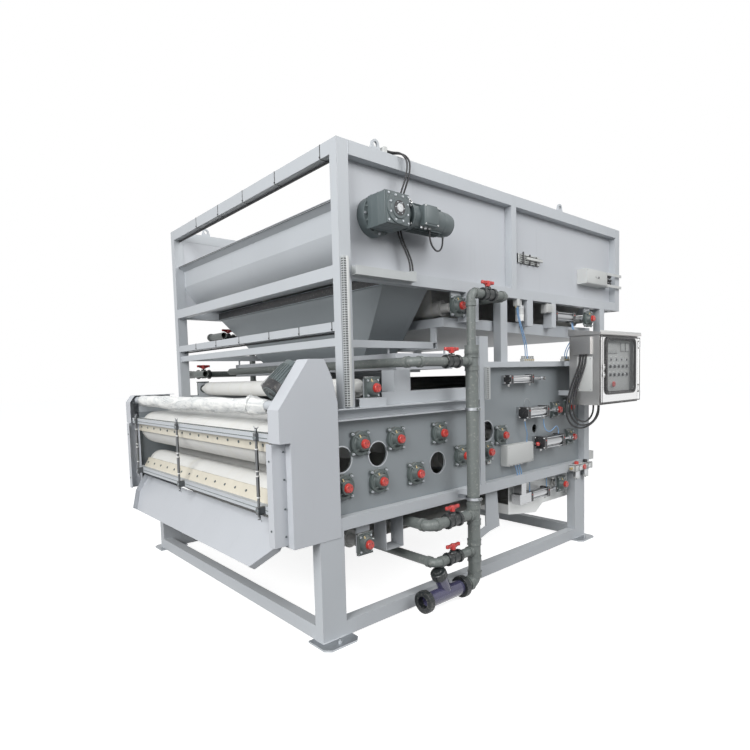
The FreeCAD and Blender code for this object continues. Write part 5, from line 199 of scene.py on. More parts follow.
class Piece:
    """One object of the dressing, gathered part by part in the row frame.

    A finish is given by its name in the table of finishes.
    """

    def __init__(self, name, body=FRAME_BODY, slot=None, replaces=()):
        self.name = name
        self.body = body
        self.slot = slot
        self.replaced = replaces
        self.mesh = bmesh.new()
        self.materials = []

    def keep(self, faces, finish):
        material = finish_named(finish).material
        if material not in self.materials:
            self.materials.append(material)
        index = self.materials.index(material)
        for face in faces:
            face.material_index = index

    def box(self, low, high, finish, edge=0.0, turn=None):
        """A block between two corners, with rounded edges where edge is above 0."""
        low = Vector(low)
        high = Vector(high)
        size = Matrix.Diagonal((high - low).to_4d())
        size[3][3] = 1
        matrix = Matrix.Translation((low + high) / 2) @ size
        if turn is not None:
            matrix = turn @ matrix
        made = bmesh.ops.create_cube(self.mesh, size=1, matrix=matrix)
        faces = {face for vert in made["verts"] for face in vert.link_faces}
        if edge:
            result = bmesh.ops.bevel(
                self.mesh,
                geom=list({line for face in faces for line in face.edges}),
                offset=edge,
                segments=EDGE_SEGMENTS,
                profile=0.5,
                affect="EDGES",
                clamp_overlap=True,
            )
            faces = {face for face in faces if face.is_valid} | set(result["faces"])
        self.keep(faces, finish)

    def block(self, low, size, finish, edge=0.0):
        """A block from its lowest corner and its size."""
        low = Vector(low)
        self.box(low, low + Vector(size), finish, edge)

    def lathe(self, place, axis, profile, finish, sides=24):
        """A turned form: profile holds (distance along the axis, radius)."""
        turned = Vector(axis).to_track_quat("Z", "Y").to_matrix().to_4x4()
        matrix = Matrix.Translation(Vector(place)) @ turned
        rings = []
        for along, radius in profile:
            places = [(0, 0, along)]
            if radius > 0:
                places = [ray * radius + Z_AXIS * along for ray in rays(sides, X_AXIS, Y_AXIS)]
            rings.append([self.mesh.verts.new(matrix @ Vector(corner)) for corner in places])
        self.skin(rings, finish)

    def skin(self, rings, finish):
        """Faces between closed rings of vertices; a ring of one vertex is a point."""
        faces = []
        for low, high in zip(rings, rings[1:]):
            count = max(len(low), len(high))
            for step in range(count):
                after = (step + 1) % count
                corners = [
                    low[step % len(low)],
                    low[after % len(low)],
                    high[after % len(high)],
                    high[step % len(high)],
                ]
                corners = [vert for i, vert in enumerate(corners) if vert not in corners[:i]]
                if len(corners) > 2:
                    faces.append(self.mesh.faces.new(corners))
        self.keep(faces, finish)

    def rod(self, start, end, radius, finish, sides=16, edge=0.0):
        """A closed round bar, with small chamfers where edge is above 0."""
        start = Vector(start)
        along = Vector(end) - start
        long = along.length
        profile = [(0, 0), (0, radius), (long, radius), (long, 0)]
        if edge:
            profile[1:3] = [
                (0, radius - edge), (edge, radius), (long - edge, radius), (long, radius - edge),
            ]
        self.lathe(start, along, profile, finish, sides)

    def ring(self, place, axis, inner, outer, deep, finish, sides=32):
        profile = [(0, inner), (0, outer), (deep, outer), (deep, inner), (0, inner)]
        self.lathe(place, axis, profile, finish, sides)

    def prism(self, outline, offset, finish):
        """A sheet or bar: an outline of points pushed along an offset."""
        offset = Vector(offset)
        low = [self.mesh.verts.new(corner) for corner in outline]
        high = [self.mesh.verts.new(corner + offset) for corner in outline]
        self.keep([self.mesh.faces.new(low), self.mesh.faces.new(high)], finish)
        self.skin([low, high], finish)

    def fin(self, foot, side, thick, offsets, finish):
        """A thin plate, its outline given from its foot and its thickness centred on it."""
        near = foot + side * thick / 2
        self.prism([near] + [near + offset for offset in offsets], side * -thick, finish)

    def sweep(self, points, radius, finish, sides=8, closed=False):
        """A round bar along a path."""
        points = [Vector(point) for point in points]
        count = len(points)
        rings = []
        side = None
        for index, point in enumerate(points):
            before = points[index - 1] if closed or index else point
            after = points[(index + 1) % count] if closed or index < count - 1 else point
            along = (after - before).normalized()
            if side is None:
                side = along.orthogonal().normalized()
            side = (side - along * side.dot(along)).normalized()
            ring = [point + ray * radius for ray in rays(sides, side, along.cross(side))]
            rings.append([self.mesh.verts.new(corner) for corner in ring])
        if closed:
            rings.append(rings[0])
        else:
            for ring in (rings[0], rings[-1]):
                self.keep([self.mesh.faces.new(ring)], finish)
        self.skin(rings, finish)

    def bolt(self, place, axis, across, finish, washer=True, high=None, stud=0.0):
        """A hexagon head on its washer, with the end of a stud where it is a nut."""
        axis = Vector(axis).normalized()
        place = Vector(place)
        radius = across / math.sqrt(3)
        high = high or across * 0.42
        if washer:
            deep = across * 0.07
            wide = across * 0.62
            self.lathe(place, axis, [(0, 0), (0, wide), (deep, wide), (deep, 0)], finish, 16)
            place = place + axis * deep
        head = [(0, 0), (0, radius), (high * 0.86, radius), (high, radius * 0.84), (high, 0)]
        self.lathe(place, axis, head, finish, HEX_SIDES)
        if stud:
            self.rod(place + axis * high, place + axis * (high + stud), across * 0.3, finish, 10)

    def done(self):
        mesh = self.mesh
        bmesh.ops.recalc_face_normals(mesh, faces=mesh.faces)
        for face in mesh.faces:
            face.smooth = True
        for line in mesh.edges:
            line.smooth = line.is_manifold and line.calc_face_angle(0) < SHARP_ANGLE
        data = bpy.data.meshes.new(self.name)
        mesh.to_mesh(data)
        mesh.free()
        for material in self.materials:
            data.materials.append(material)
        obj = bpy.data.objects.new(self.name, data)
        bpy.context.scene.collection.objects.link(obj)
        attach(obj, self.body)
        if self.replaced:
            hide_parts(*self.replaced)
        return obj


def darker(colour, share):
    return [part * share for part in colour]


def painted(name, colour, rough=0.42, edge=0.0025, dust=0.12):
    """Satin paint on steel: faint orange peel, uneven gloss, a little dust on top faces."""
    paint = Paint(name, IOR=1.5)
    cloud = paint.noise(1.3, 3.0, 0.6)
    fine = paint.noise(42.0, 2.0, 0.6)
    streak = paint.noise(3.0, 3.0, 0.6, vector=paint.spread((5.0, 5.0, 0.6)))
    shade = paint.mix(cloud.above(0.55, 0.2) * 0.6, colour, darker(colour, 0.93))
    shade = paint.mix(streak.above(0.68, 0.12) * 0.35, shade, darker(colour, 0.86))
    up = paint.facing((0, 0, 1)).above(0.75, 0.2)
    grit = (fine * 0.6 + cloud * 0.4).above(0.5, 0.2)
    shade = paint.mix(up * grit * dust, shade, (0.50, 0.47, 0.42))
    paint.set(Base_Color=shade, Roughness=rough + cloud * 0.10 + up * 0.12 - fine * 0.04)
    paint.bump(paint.noise(260.0, 2.0, 0.5), 0.06, 0.001, edge)
    return paint


EVEN_STROKES = (60.0, 60.0, 60.0)


def brushed(name, colour, rough=0.32, stretch=EVEN_STROKES):
    """Brushed metal, its strokes along the axis with the smallest stretch."""
    paint = Paint(name, Metallic=1.0)
    stroke = paint.noise(1.6, 4.0, 0.7, vector=paint.spread(stretch))
    cloud = paint.noise(2.4, 2.0, 0.5)
    shade = paint.mix(stroke * 0.7, colour, darker(colour, 0.72))
    paint.set(Base_Color=shade, Roughness=rough + stroke * 0.16 + cloud * 0.08 - 0.08)
    paint.bump(stroke, 0.10, 0.0006, 0.0015)
    return paint


def moulded(name, colour, rough=0.45, edge=0.0015, coat=0.0, specks=0.0):
    """Moulded or coated plastic with a faint mottle."""
    paint = Paint(name, Coat_Weight=coat)
    cloud = paint.noise(9.0, 3.0, 0.6)
    fine = paint.noise(150.0, 2.0, 0.6)
    shade = paint.mix(cloud.above(0.5, 0.25) * 0.5, colour, darker(colour, 0.84))
    if specks:
        dust = paint.noise(60.0, 3.0, 0.7).above(0.62, 0.06)
        shade = paint.mix(dust * specks, shade, (0.52, 0.49, 0.44))
    paint.set(Base_Color=shade, Roughness=rough + cloud * 0.14 + fine * 0.05 - 0.08)
    paint.bump(fine, 0.08, 0.0006, edge)
    return paint


WEAVE_PITCH = 0.0022
CLOTH_HALF = 1.062


def woven(name, colour):
    """Filter cloth: a plain weave with damp patches and edge wear."""
    paint = Paint(name, Sheen_Weight=0.15)
    threads = 1.0 / WEAVE_PITCH / 6.28 * 3.14
    warp = paint.waves(threads, "Y")
    weft = paint.waves(threads, "DIAGONAL")
    cloud = paint.noise(1.1, 4.0, 0.6)
    lines = paint.noise(1.2, 4.0, 0.65, vector=paint.spread((0.5, 9.0, 0.5)))
    shade = paint.mix(cloud.above(0.52, 0.18) * 0.5, colour, darker(colour, 0.9))
    shade = paint.mix(lines.above(0.6, 0.12) * 0.45, shade, (0.62, 0.60, 0.53))
    edge = paint.off_centre().above(CLOTH_HALF, 0.012)
    shade = paint.mix(edge * 0.6, shade, (0.60, 0.58, 0.52))
    paint.set(Base_Color=shade, Roughness=cloud * 0.1 + 0.78)
    paint.bump(warp * 0.5 + weft * 0.5, 0.25, 0.0008)
    return paint


def clear_film(name):
    """Layers of crumpled plastic film, painted lighter on its raised folds and with painted shade
    in the hollows between them.
    """
    paint = Paint(name, Coat_Weight=0.5, Coat_Roughness=0.08)
    fold = paint.noise(7.0, 5.0, 0.65, vector=paint.spread((2.5, 0.7, 2.5)), distortion=1.2)
    crease = paint.cells(11.0, paint.spread((2.0, 0.6, 2.0)))
    # The colour follows the fold relief: a painted highlight on raised folds and painted shade in
    # the hollows.
    shade = paint.mix(fold.above(0.5, 0.16), (0.62, 0.64, 0.64), (0.90, 0.90, 0.87))
    paint.set(Base_Color=shade, Roughness=fold * 0.3 + 0.16)
    paint.bump(fold * 1.0 + crease.clamped() * 0.6, 0.8, 0.012)
    return paint


def tinted(name, colour):
    """See-through tinted plastic."""
    paint = Paint(name, Transmission_Weight=0.45, IOR=1.49, Coat_Weight=0.5)
    cloud = paint.noise(14.0, 2.0, 0.5)
    shade = paint.mix(cloud * 0.5, colour, darker(colour, 0.7))
    paint.set(Base_Color=shade, Roughness=cloud * 0.12 + 0.12)
    return paint


def clear_pane(name):
    """A clear pane that shows what is behind it."""
    paint = Paint(name, IOR=1.49, Base_Color=(0.30, 0.32, 0.33), Alpha=0.14)
    smear = paint.noise(5.0, 3.0, 0.6)
    paint.set(Roughness=smear * 0.05 + 0.05)
    return paint


def make_finishes(look):
    """All the finishes of the machine, by name."""
    sheet_strokes = (3.0, 180.0, 180.0)
    return {
        "frame": painted("frame_paint", look.frame_colour),
        "sheet": painted("sheet_paint", look.sheet_colour, 0.38),
        # A darker copy of the frame's paint: partly painted shade for the low side plates and the
        # transfer hopper, which get less light.
        "plate": painted("shaded_plate_paint", look.plate_colour),
        "hopper": painted("hopper_paint", look.hopper_colour, 0.40, 0.001),
        "zinc": brushed("zinc_plate", (0.42, 0.44, 0.46), 0.42, (30.0, 30.0, 30.0)),
        "steel": brushed("turned_steel", (0.66, 0.66, 0.66), 0.24, (60.0, 3.0, 60.0)),
        "stainless": brushed("cabinet_stainless", (0.62, 0.61, 0.60), 0.28, sheet_strokes),
        "cover": moulded("roller_cover", (0.62, 0.62, 0.60), 0.5),
        "belt": woven("belt_cloth", look.belt_colour),
        "bearing": painted("bearing_paint", (0.085, 0.105, 0.102), 0.38, 0.002, 0.3),
        "cap": moulded("bearing_cap", look.cap_colour, 0.3, coat=0.3),
        "motor": painted("motor_paint", look.motor_colour, 0.40, 0.003, 0.25),
        "pipe": moulded("pipe_grey", look.pipe_colour, 0.42, 0.001, specks=0.25),
        "valve": moulded("valve_black", (0.020, 0.024, 0.025), 0.28, 0.002, specks=0.2),
        "handle": moulded("handle_red", look.handle_colour, 0.34, 0.003, coat=0.2),
        "rubber": moulded("cable_rubber", (0.018, 0.018, 0.020), 0.5),
        "rim": moulded("edge_film", (0.50, 0.58, 0.64), 0.3, coat=0.2),
        "bright": brushed("door_stainless", (0.92, 0.92, 0.92), 0.13, sheet_strokes),
        "hose": moulded("hose_blue", (0.18, 0.36, 0.62), 0.3, coat=0.3),
        "cream": moulded("scraper_plastic", (0.64, 0.60, 0.50), 0.4),
        "white": moulded("white_plastic", (0.80, 0.80, 0.78), 0.4),
        "sleeve": brushed("sleeve_steel", (0.16, 0.165, 0.17), 0.34, (60.0, 60.0, 3.0)),
        "brass": brushed("nipple_brass", (0.62, 0.50, 0.28), 0.30),
        "barrel": brushed("cylinder_barrel", (0.48, 0.49, 0.50), 0.26, (2.0, 120.0, 120.0)),
        "black": moulded("black_plastic", (0.022, 0.022, 0.024), 0.4, specks=0.15),
        "box": painted("box_paint", (0.56, 0.57, 0.56), 0.5, 0.002),
        "duct": moulded("duct_plastic", (0.48, 0.50, 0.50), 0.5),
        "film": clear_film("wrapping_film"),
        "strainer": tinted("strainer_plastic", look.strainer_colour),
        "pane": clear_pane("window_pane"),
    }


FINISHES = {}


def finish_named(name):
    """A finish from the table, which is filled at its first use."""
    if not FINISHES:
        FINISHES.update(make_finishes(bpy.context.scene.press_look))
    return FINISHES[name]


NODE_FINISHES = {
    "frame": [
        "legs", "base_beams", "body_beams", "top_rails",
        "splice_posts", "rear_frames", "upper_posts", "upper_chords", "lifting_lugs",
        "inner_frames", "under_brackets", "rail_stands", "scraper_beams", "film_bar",
        "cabinet_arms",
    ],
    # These parts take the darker plate paint, which partly paints in the shade that falls on them.
    "plate": ["press_side_plates", "rear_side_plates", "transfer_hopper"],
    "sheet": ["upper_panels", "discharge_covers", "discharge_chute", "distribution_box"],
    "hopper": ["thickener_trough", "collecting_tray"],
    "cover": [
        "press_rollers", "guide_rollers", "thickener_rollers", "discharge_roller_upper",
        "discharge_roller_lower",
    ],
    "belt": ["belt_upper", "belt_lower", "thickening_belt"],
    "bearing": ["bearing_housings"],
    "cap": ["bearing_caps"],
    "motor": ["discharge_motor", "thickener_gearmotor"],
    "film": ["film_roll"],
    "cream": ["scraper_blades"],
    "zinc": ["foot_plates", "riser_clamps"],
    "sleeve": ["scraper_tie_rods"],
    "pipe": ["water_pipes"],
    "valve": ["valve_bodies"],
    "handle": [
        "valve_handle_top", "valve_handle_middle", "valve_handle_low", "valve_handle_foot",
        "valve_handle_far_top", "valve_handle_far_low",
    ],
    "strainer": ["strainer"],
    "stainless": ["cabinet_box", "cabinet_hinges"],
    "bright": ["cabinet_door"],
    "pane": ["door_window"],
    "barrel": ["air_cylinders"],
    "box": ["control_boxes"],
    "duct": ["wiring_ducts"],
}


def dress(node, finish):
    """Gives a CAD node its finish."""
    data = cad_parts[node].data
    data.materials.clear()
    data.materials.append(finish_named(finish).material)


LOOK_COLOURS = {
    "frame_colour": ("Frame paint", "Paint of the frame's tubes", (0.48, 0.505, 0.53)),
    "sheet_colour": ("Cover paint", "Paint of hoods, panels and chute", (0.50, 0.52, 0.55)),
    "hopper_colour": ("Hopper paint", "Paint of trough and tray", (0.45, 0.475, 0.50)),
    # Darker than the frame's paint, partly as painted shade on the low side plates and the transfer
    # hopper.
    "plate_colour": (
        "Side plate paint and painted shade", "Paint of the side plates and the transfer hopper, darkened partly as painted shade", (0.25, 0.275, 0.29),
    ),
    "belt_colour": ("Belt cloth", "Cloth of the filter belts", (0.68, 0.68, 0.66)),
    "motor_colour": ("Motor paint", "Paint of the gearmotors", (0.095, 0.118, 0.122)),
    "pipe_colour": ("Pipe plastic", "Plastic of the wash pipes", (0.145, 0.162, 0.155)),
    "handle_colour": ("Handle plastic", "Plastic of the valve handles", (0.50, 0.035, 0.030)),
    "cap_colour": ("Bearing cap", "Plastic of the bearing caps", (0.52, 0.04, 0.03)),
    "strainer_colour": (
        "Strainer plastic", "Tint of the see-through strainer", (0.12, 0.115, 0.22),
    ),
}


class PressLook(bpy.types.PropertyGroup):
    """Colours of the machine."""

    __annotations__ = {
        key: FloatVectorProperty(
            name=name, description=text, subtype="COLOR", default=colour, min=0, max=1
        )
        for key, (name, text, colour) in LOOK_COLOURS.items()
    }


class PressStage(bpy.types.PropertyGroup):
    """Camera, lamps and floor."""

    camera_place: FloatVectorProperty(
        name="Camera", description="Where the camera stands",
        subtype="TRANSLATION", unit="LENGTH", default=(-3.3972, -3.8585, 1.600),
    )
    lens: FloatProperty(
        name="Lens", description="Focal length", default=25.853, min=1, subtype="DISTANCE_CAMERA",
    )
    key_power: FloatProperty(
        name="Key lamp", description="Lamp at the discharge end", default=1030, unit="POWER",
    )
    fill_power: FloatProperty(
        name="Fill lamp", description="Lamp on the near side", default=20, unit="POWER",
    )
    roof_power: FloatProperty(
        name="Roof lamp", description="High lamp on the near side", default=280, unit="POWER",
    )
    sky: FloatProperty(
        name="Sky", description="Strength of the even light all round", default=0.29, min=0,
    )


CAMERA_SHIFT = (0.0243, 0.0507)
CAMERA_RIGHT = Vector((0.76450962, -0.64398104, -0.02852133))
CAMERA_UP = Vector((0.06462293, 0.03254487, 0.99737892))
LAMP_AIM = Vector((0, 0, 1.2))
KEY_PLACE, KEY_SIZE = (-9.0, -3.2, 6.0), 6.5
FILL_PLACE, FILL_SIZE = (1.5, -9.5, 5.5), 6.0
ROOF_PLACE, ROOF_SIZE = (0.8, -6.5, 5.6), 4.0
SKY_COLOUR = (0.93, 0.96, 1.0, 1)
FLOOR_GREY = 0.50
FLOOR_GREY_UNSEEN = 0.16
FLOOR_GLOW = 0.86
FLOOR_HALF = 60
FLOOR_DROP = 0.0005


def add_camera(context, stage):
    data = bpy.data.cameras.new("photo_camera")
    data.sensor_width = 36
    data.lens = stage.lens
    data.shift_x, data.shift_y = CAMERA_SHIFT
    data.clip_end = 200
    obj = bpy.data.objects.new("photo_camera", data)
    axes = (CAMERA_RIGHT, CAMERA_UP, CAMERA_RIGHT.cross(CAMERA_UP))
    turn = Matrix(axes).transposed().to_4x4()
    obj.matrix_world = Matrix.Translation(stage.camera_place) @ turn
    context.scene.collection.objects.link(obj)
    context.scene.camera = obj


def add_lamp(name, place, size, power):
    data = bpy.data.lights.new(name, "AREA")
    data.size = size
    data.energy = power
    obj = bpy.data.objects.new(name, data)
    turn = (LAMP_AIM - Vector(place)).to_track_quat("-Z", "Y").to_matrix().to_4x4()
    obj.matrix_world = Matrix.Translation(place) @ turn
    bpy.context.scene.collection.objects.link(obj)


def seen(tree):
    """1 for rays that show the surroundings: to the camera, in a gloss or through glass."""
    path = tree.nodes.new("ShaderNodeLightPath")
    total = path.outputs["Is Camera Ray"]
    for name in ("Is Glossy Ray", "Is Transmission Ray"):
        summed = tree.nodes.new("ShaderNodeMath")
        summed.use_clamp = True
        tree.links.new(total, summed.inputs[0])
        tree.links.new(path.outputs[name], summed.inputs[1])
        total = summed.outputs[0]
    return total


def show_or_light(tree, output, unseen, shown):
    """Joins a shader for the rays that light and one for the rays that show the surroundings."""
    mixed = tree.nodes.new("ShaderNodeMixShader")
    tree.links.new(seen(tree), mixed.inputs[0])
    tree.links.new(unseen.outputs[0], mixed.inputs[1])
    tree.links.new(shown.outputs[0], mixed.inputs[2])
    tree.links.new(mixed.outputs[0], tree.nodes.new(output).inputs[0])


def shader(tree, kind, **values):
    node = tree.nodes.new(kind)
    for name, value in values.items():
        node.inputs[name].default_value = value
    return node


def add_surroundings(context, stage):
    world = bpy.data.worlds.new("white_room")
    world.use_nodes = True
    tree = world.node_tree
    tree.nodes.clear()
    even = shader(tree, "ShaderNodeBackground", Color=SKY_COLOUR, Strength=stage.sky)
    white = shader(tree, "ShaderNodeBackground", Color=(1, 1, 1, 1), Strength=1.0)
    show_or_light(tree, "ShaderNodeOutputWorld", even, white)
    context.scene.world = world


def add_floor():
    mesh = bmesh.new()
    bmesh.ops.create_grid(mesh, x_segments=1, y_segments=1, size=FLOOR_HALF)
    data = bpy.data.meshes.new("floor")
    mesh.to_mesh(data)
    mesh.free()
    obj = bpy.data.objects.new("floor", data)
    obj.location.z = -FLOOR_DROP
    material = bpy.data.materials.new("floor_white")
    material.use_nodes = True
    tree = material.node_tree
    tree.nodes.clear()
    matt = shader(tree, "ShaderNodeBsdfDiffuse", Color=(FLOOR_GREY,) * 3 + (1,))
    dim = shader(tree, "ShaderNodeBsdfDiffuse", Color=(FLOOR_GREY_UNSEEN,) * 3 + (1,))
    glow = shader(tree, "ShaderNodeEmission", Strength=FLOOR_GLOW)
    added = tree.nodes.new("ShaderNodeAddShader")
    tree.links.new(matt.outputs[0], added.inputs[0])
    tree.links.new(glow.outputs[0], added.inputs[1])
    show_or_light(tree, "ShaderNodeOutputMaterial", dim, added)
    data.materials.append(material)
    bpy.context.scene.collection.objects.link(obj)


class PRESS_OT_stage(bpy.types.Operator):
    """Camera, lamps, white surroundings and the floor"""

    bl_idname = "press.stage"
    bl_label = "Stage"

    def execute(self, context):
        stage = context.scene.press_stage
        add_camera(context, stage)
        add_lamp("key_lamp", KEY_PLACE, KEY_SIZE, stage.key_power)
        add_lamp("fill_lamp", FILL_PLACE, FILL_SIZE, stage.fill_power)
        add_lamp("roof_lamp", ROOF_PLACE, ROOF_SIZE, stage.roof_power)
        add_surroundings(context, stage)
        add_floor()
        context.scene.view_settings.view_transform = "Standard"
        return {"FINISHED"}


class PRESS_OT_finishes(bpy.types.Operator):
    """Paint, metal, plastic and cloth on the pieces of the frame"""

    bl_idname = "press.finishes"
    bl_label = "Finishes"

    def execute(self, context):
        for finish, nodes in NODE_FINISHES.items():
            for node in nodes:
                dress(node, finish)
        return {"FINISHED"}


LEGS_LOW, LEGS_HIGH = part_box("legs")
NEAR = Vector((0, -1, 0))


def spot(x, inset, z, side="near"):
    """A place in metres: x from the discharge legs' outer face, inset from a side's legs."""
    y = LEGS_LOW[1] + inset * MM
    if side == "far":
        y = LEGS_HIGH[1] - inset * MM
    return Vector((LEGS_LOW[0] + x * MM, y, z * MM))


def outward(side):
    return NEAR if side == "near" else Y_AXIS


def node_box(node):
    low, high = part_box(node)
    return Vector(low), Vector(high)


def solids(node):
    """The lowest and highest corner of each solid of a CAD node."""
    mesh = bmesh.new()
    mesh.from_mesh(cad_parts[node].data)
    bmesh.ops.remove_doubles(mesh, verts=mesh.verts, dist=0.01 * MM)
    left = set(mesh.verts)
    boxes = []
    while left:
        front = [left.pop()]
        low = front[0].co.copy()
        high = front[0].co.copy()
        while front:
            vert = front.pop()
            low = Vector(map(min, low, vert.co))
            high = Vector(map(max, high, vert.co))
            for line in vert.link_edges:
                other = line.other_vert(vert)
                if other in left:
                    left.remove(other)
                    front.append(other)
        boxes.append((low, high))
    mesh.free()
    return sorted(boxes, key=lambda box: (round(box[0].y, 3), round(box[0].x, 3), box[0].z))


FLANGE_HIGH = 0.14
EAR = 0.063
HOUSING_DEEP = 0.024
SLIDE_BOLTS = (0.043, 0.048)
FLANGE_RIM = [(0, 0.076), (0.002, 0.073), (0.002, 0.060), (0.008, 0.055)]
FLANGE_EAR = [(0, 0.0165), (0.005, 0.0155), (0.006, 0.0)]
NIPPLE_ANGLE = math.radians(115)
NIPPLE_WAY = Vector((math.cos(NIPPLE_ANGLE), 0, math.sin(NIPPLE_ANGLE)))
NOSE = [(0, 0.043), (0.003, 0.042), (0.0035, 0.029), (0, 0.0285)]
NIPPLE = [
    (0.006, 0.004), (0.014, 0.0035), (0.015, 0.0025), (0.017, 0.0035), (0.020, 0.002), (0.020, 0),
]
CAP_DOME = [
    (0, 0.0265), (0.0025, 0.025), (0.0035, 0.019), (0.0030, 0.015), (0.0015, 0.013),
    (0.0022, 0.0),
]


def round_housing(piece, seat, out):
    """A round cast flange: nuts on its ears, a rim, and ribs to the hub."""
    piece.lathe(seat + out * HOUSING_DEEP, out, FLANGE_RIM, "bearing", 36)
    for right, up in CORNERS:
        ear = seat + Vector((right * EAR, 0, up * EAR))
        piece.lathe(ear + out * 0.010, out, FLANGE_EAR, "bearing", 18)
        piece.bolt(ear + out * 0.0155, out, 0.016, "zinc", stud=0.006)
        inner = Vector((right, 0, up)).normalized()
        foot = seat + inner * 0.044 + out * HOUSING_DEEP
        piece.fin(foot, out.cross(inner), 0.010, [inner * 0.032, out * 0.022], "bearing")


def square_housing(piece, seat, out):
    """A square sliding housing: guide strips at both edges and four screws."""
    for right, up in CORNERS:
        corner = Vector((right * SLIDE_BOLTS[0], 0, up * SLIDE_BOLTS[1]))
        piece.bolt(seat + corner + out * HOUSING_DEEP, out, 0.013, "zinc")
    for up in (-1, 1):
        low = seat + Vector((-0.062, 0, up * 0.066 - 0.006))
        high = low + Vector((0.124, 0, 0.012)) + out * 0.022
        piece.box(*sorted_box(low, high), "steel", 0.001)


def grease_nipple(piece, place):
    """A nipple on its hexagon, leaning over the housing."""
    piece.bolt(place, NIPPLE_WAY, 0.011, "brass", washer=False, high=0.007)
    piece.lathe(place, NIPPLE_WAY, NIPPLE, "brass", 12)


def bearing_cap(piece, low, high):
    """The domed face of a red cap, its bead and its three screws."""
    out = outward("near" if low.y < 0 else "far")
    face = low.y if low.y < 0 else high.y
    middle = Vector(((low.x + high.x) / 2, face, (low.z + high.z) / 2))
    piece.lathe(middle, out, CAP_DOME, "cap", 28)
    piece.ring(middle - out * 0.019, out, 0.0265, 0.0305, 0.004, "cap", 28)
    for hole in rays(3, X_AXIS, Z_AXIS, 30):
        place = middle + hole * 0.0155 + out * 0.0018
        piece.lathe(place, out, [(0, 0.0035), (0.002, 0.003), (0.002, 0)], "black", 10)


class PRESS_OT_bearings(bpy.types.Operator):
    """Bolts, ribs, nipples and collars of the bearing housings, and the caps' faces"""

    bl_idname = "press.bearings"
    bl_label = "Bearing fittings"

    def execute(self, context):
        housings = Piece("bearing_fittings", slot="bearing_paint")
        for low, high in solids("bearing_housings"):
            out = outward("near" if low.y < 0 else "far")
            seat = (low + high) / 2
            tip = seat.copy()
            seat.y, tip.y = (high.y, low.y) if low.y < 0 else (low.y, high.y)
            fittings = round_housing if high.z - low.z > FLANGE_HIGH else square_housing
            fittings(housings, seat, out)
            grease_nipple(housings, tip - out * 0.014 + NIPPLE_WAY * 0.044)
            housings.lathe(tip, out, NOSE, "bearing", 28)
        housings.done()
        caps = Piece("cap_faces", slot="cap_red")
        for low, high in solids("bearing_caps"):
            bearing_cap(caps, low, high)
        caps.done()
        return {"FINISHED"}


SHAFT_SIDES = 40
FIN_COUNT = 34
GEARBOX_RIM = [(0, 0.094), (0.005, 0.094), (0.007, 0.092), (0.007, 0.066), (0.012, 0.063)]
GEARBOX_SHAFT = [(0.0, 0.026), (0.022, 0.026), (0.024, 0.024), (0.024, 0.007), (0.016, 0.0)]
TORQUE_FLANGE = [
    (0, 0.1262), (0.010, 0.1262), (0.012, 0.124), (0.012, 0.100), (0.018, 0.090),
]
MOTOR_FINS = (0.262, 0.258, 0.004, 0.013)
MOTOR_COVER = [
    (0, 0.070), (0, 0.081), (0.010, 0.083), (0.068, 0.080), (0.086, 0.074), (0.094, 0.060),
    (0.096, 0.0),
]
CABLE_GLAND = [
    (0, 0.0), (0, 0.0135), (0.005, 0.0135), (0.006, 0.0115), (0.0115, 0.0105), (0.012, 0.0),
]
MOTOR_GLAND = [(0, 0.0), (0, 0.0135), (0.006, 0.0135), (0.012, 0.0105), (0.0125, 0.0)]


def gearbox(piece):
    """Covers, ribs and bolts of the gearbox, with the hollow shaft's end and the torque flange."""
    centre = spot(560, -150, 2620)
    piece.lathe(centre, NEAR, GEARBOX_RIM, "motor", SHAFT_SIDES)
    for ray in rays(8, X_AXIS, Z_AXIS, 22.5):
        piece.bolt(centre + ray * 0.079 + NEAR * 0.007, NEAR, 0.012, "zinc")
    piece.lathe(centre + NEAR * -0.004, NEAR, GEARBOX_SHAFT, "barrel", SHAFT_SIDES)
    piece.ring(centre + NEAR * 0.010, NEAR, 0.026, 0.046, 0.004, "black", SHAFT_SIDES)
    for ray in rays(6, X_AXIS, Z_AXIS):
        piece.bolt(centre + ray * 0.036 + NEAR * 0.014, NEAR, 0.007, "zinc", washer=False)
    piece.block(centre + Vector((-0.004, -0.021, 0.019)), (0.008, 0.012, 0.010), "zinc", 0.0005)
    low = spot(465, -150, 2525)
    high = spot(655, 40, 2715)
    y_low = low.y + 0.012
    y_high = high.y - 0.02
    for z in (low.z - 0.004, high.z - 0.010):
        piece.box((low.x - 0.005, y_low, z), (high.x + 0.004, y_high, z + 0.014), "motor", 0.004)
    for x in (low.x - 0.006, high.x - 0.010):
        low_corner = (x, y_low, low.z + 0.002)
        piece.box(low_corner, (x + 0.016, y_high, high.z - 0.002), "motor", 0.004)
    for along in (0.010, 0.070, 0.130):
        y = low.y + along
        low_corner = (low.x - 0.007, y, low.z - 0.006)
        piece.box(low_corner, (high.x + 0.006, y + 0.016, high.z + 0.006), "motor", 0.005)
    for x, inset in ((600, -60), (520, -110)):
        piece.bolt(spot(x, inset, 2716), Z_AXIS, 0.022, "zinc")
    for x, z in ((478, 2540), (478, 2700), (642, 2540), (642, 2700)):
        piece.bolt(spot(x, -151, z), NEAR, 0.012, "zinc")
    flange = spot(560, 40, 2620)
    piece.lathe(flange, NEAR, TORQUE_FLANGE, "motor", 48)
    for step, ray in enumerate(rays(16, X_AXIS, Z_AXIS)):
        if step % 2 == 0:
            piece.bolt(flange + ray * 0.113 + NEAR * 0.012, NEAR, 0.014, "zinc")
            continue
        outline = [ray * 0.060, ray * 0.060 + NEAR * 0.008, NEAR * 0.070]
        piece.fin(flange + ray * 0.062, NEAR.cross(ray), 0.010, outline, "motor")


def cooling_fin(piece, foot, along, ray, thick, size):
    """A motor's cooling fin; size is its length, where its top ends and starts, and its height."""
    long, top, back, high = size
    outline = [along * long, along * top + ray * high, along * back + ray * high]
    piece.fin(foot, along.cross(ray), thick, outline, "motor")


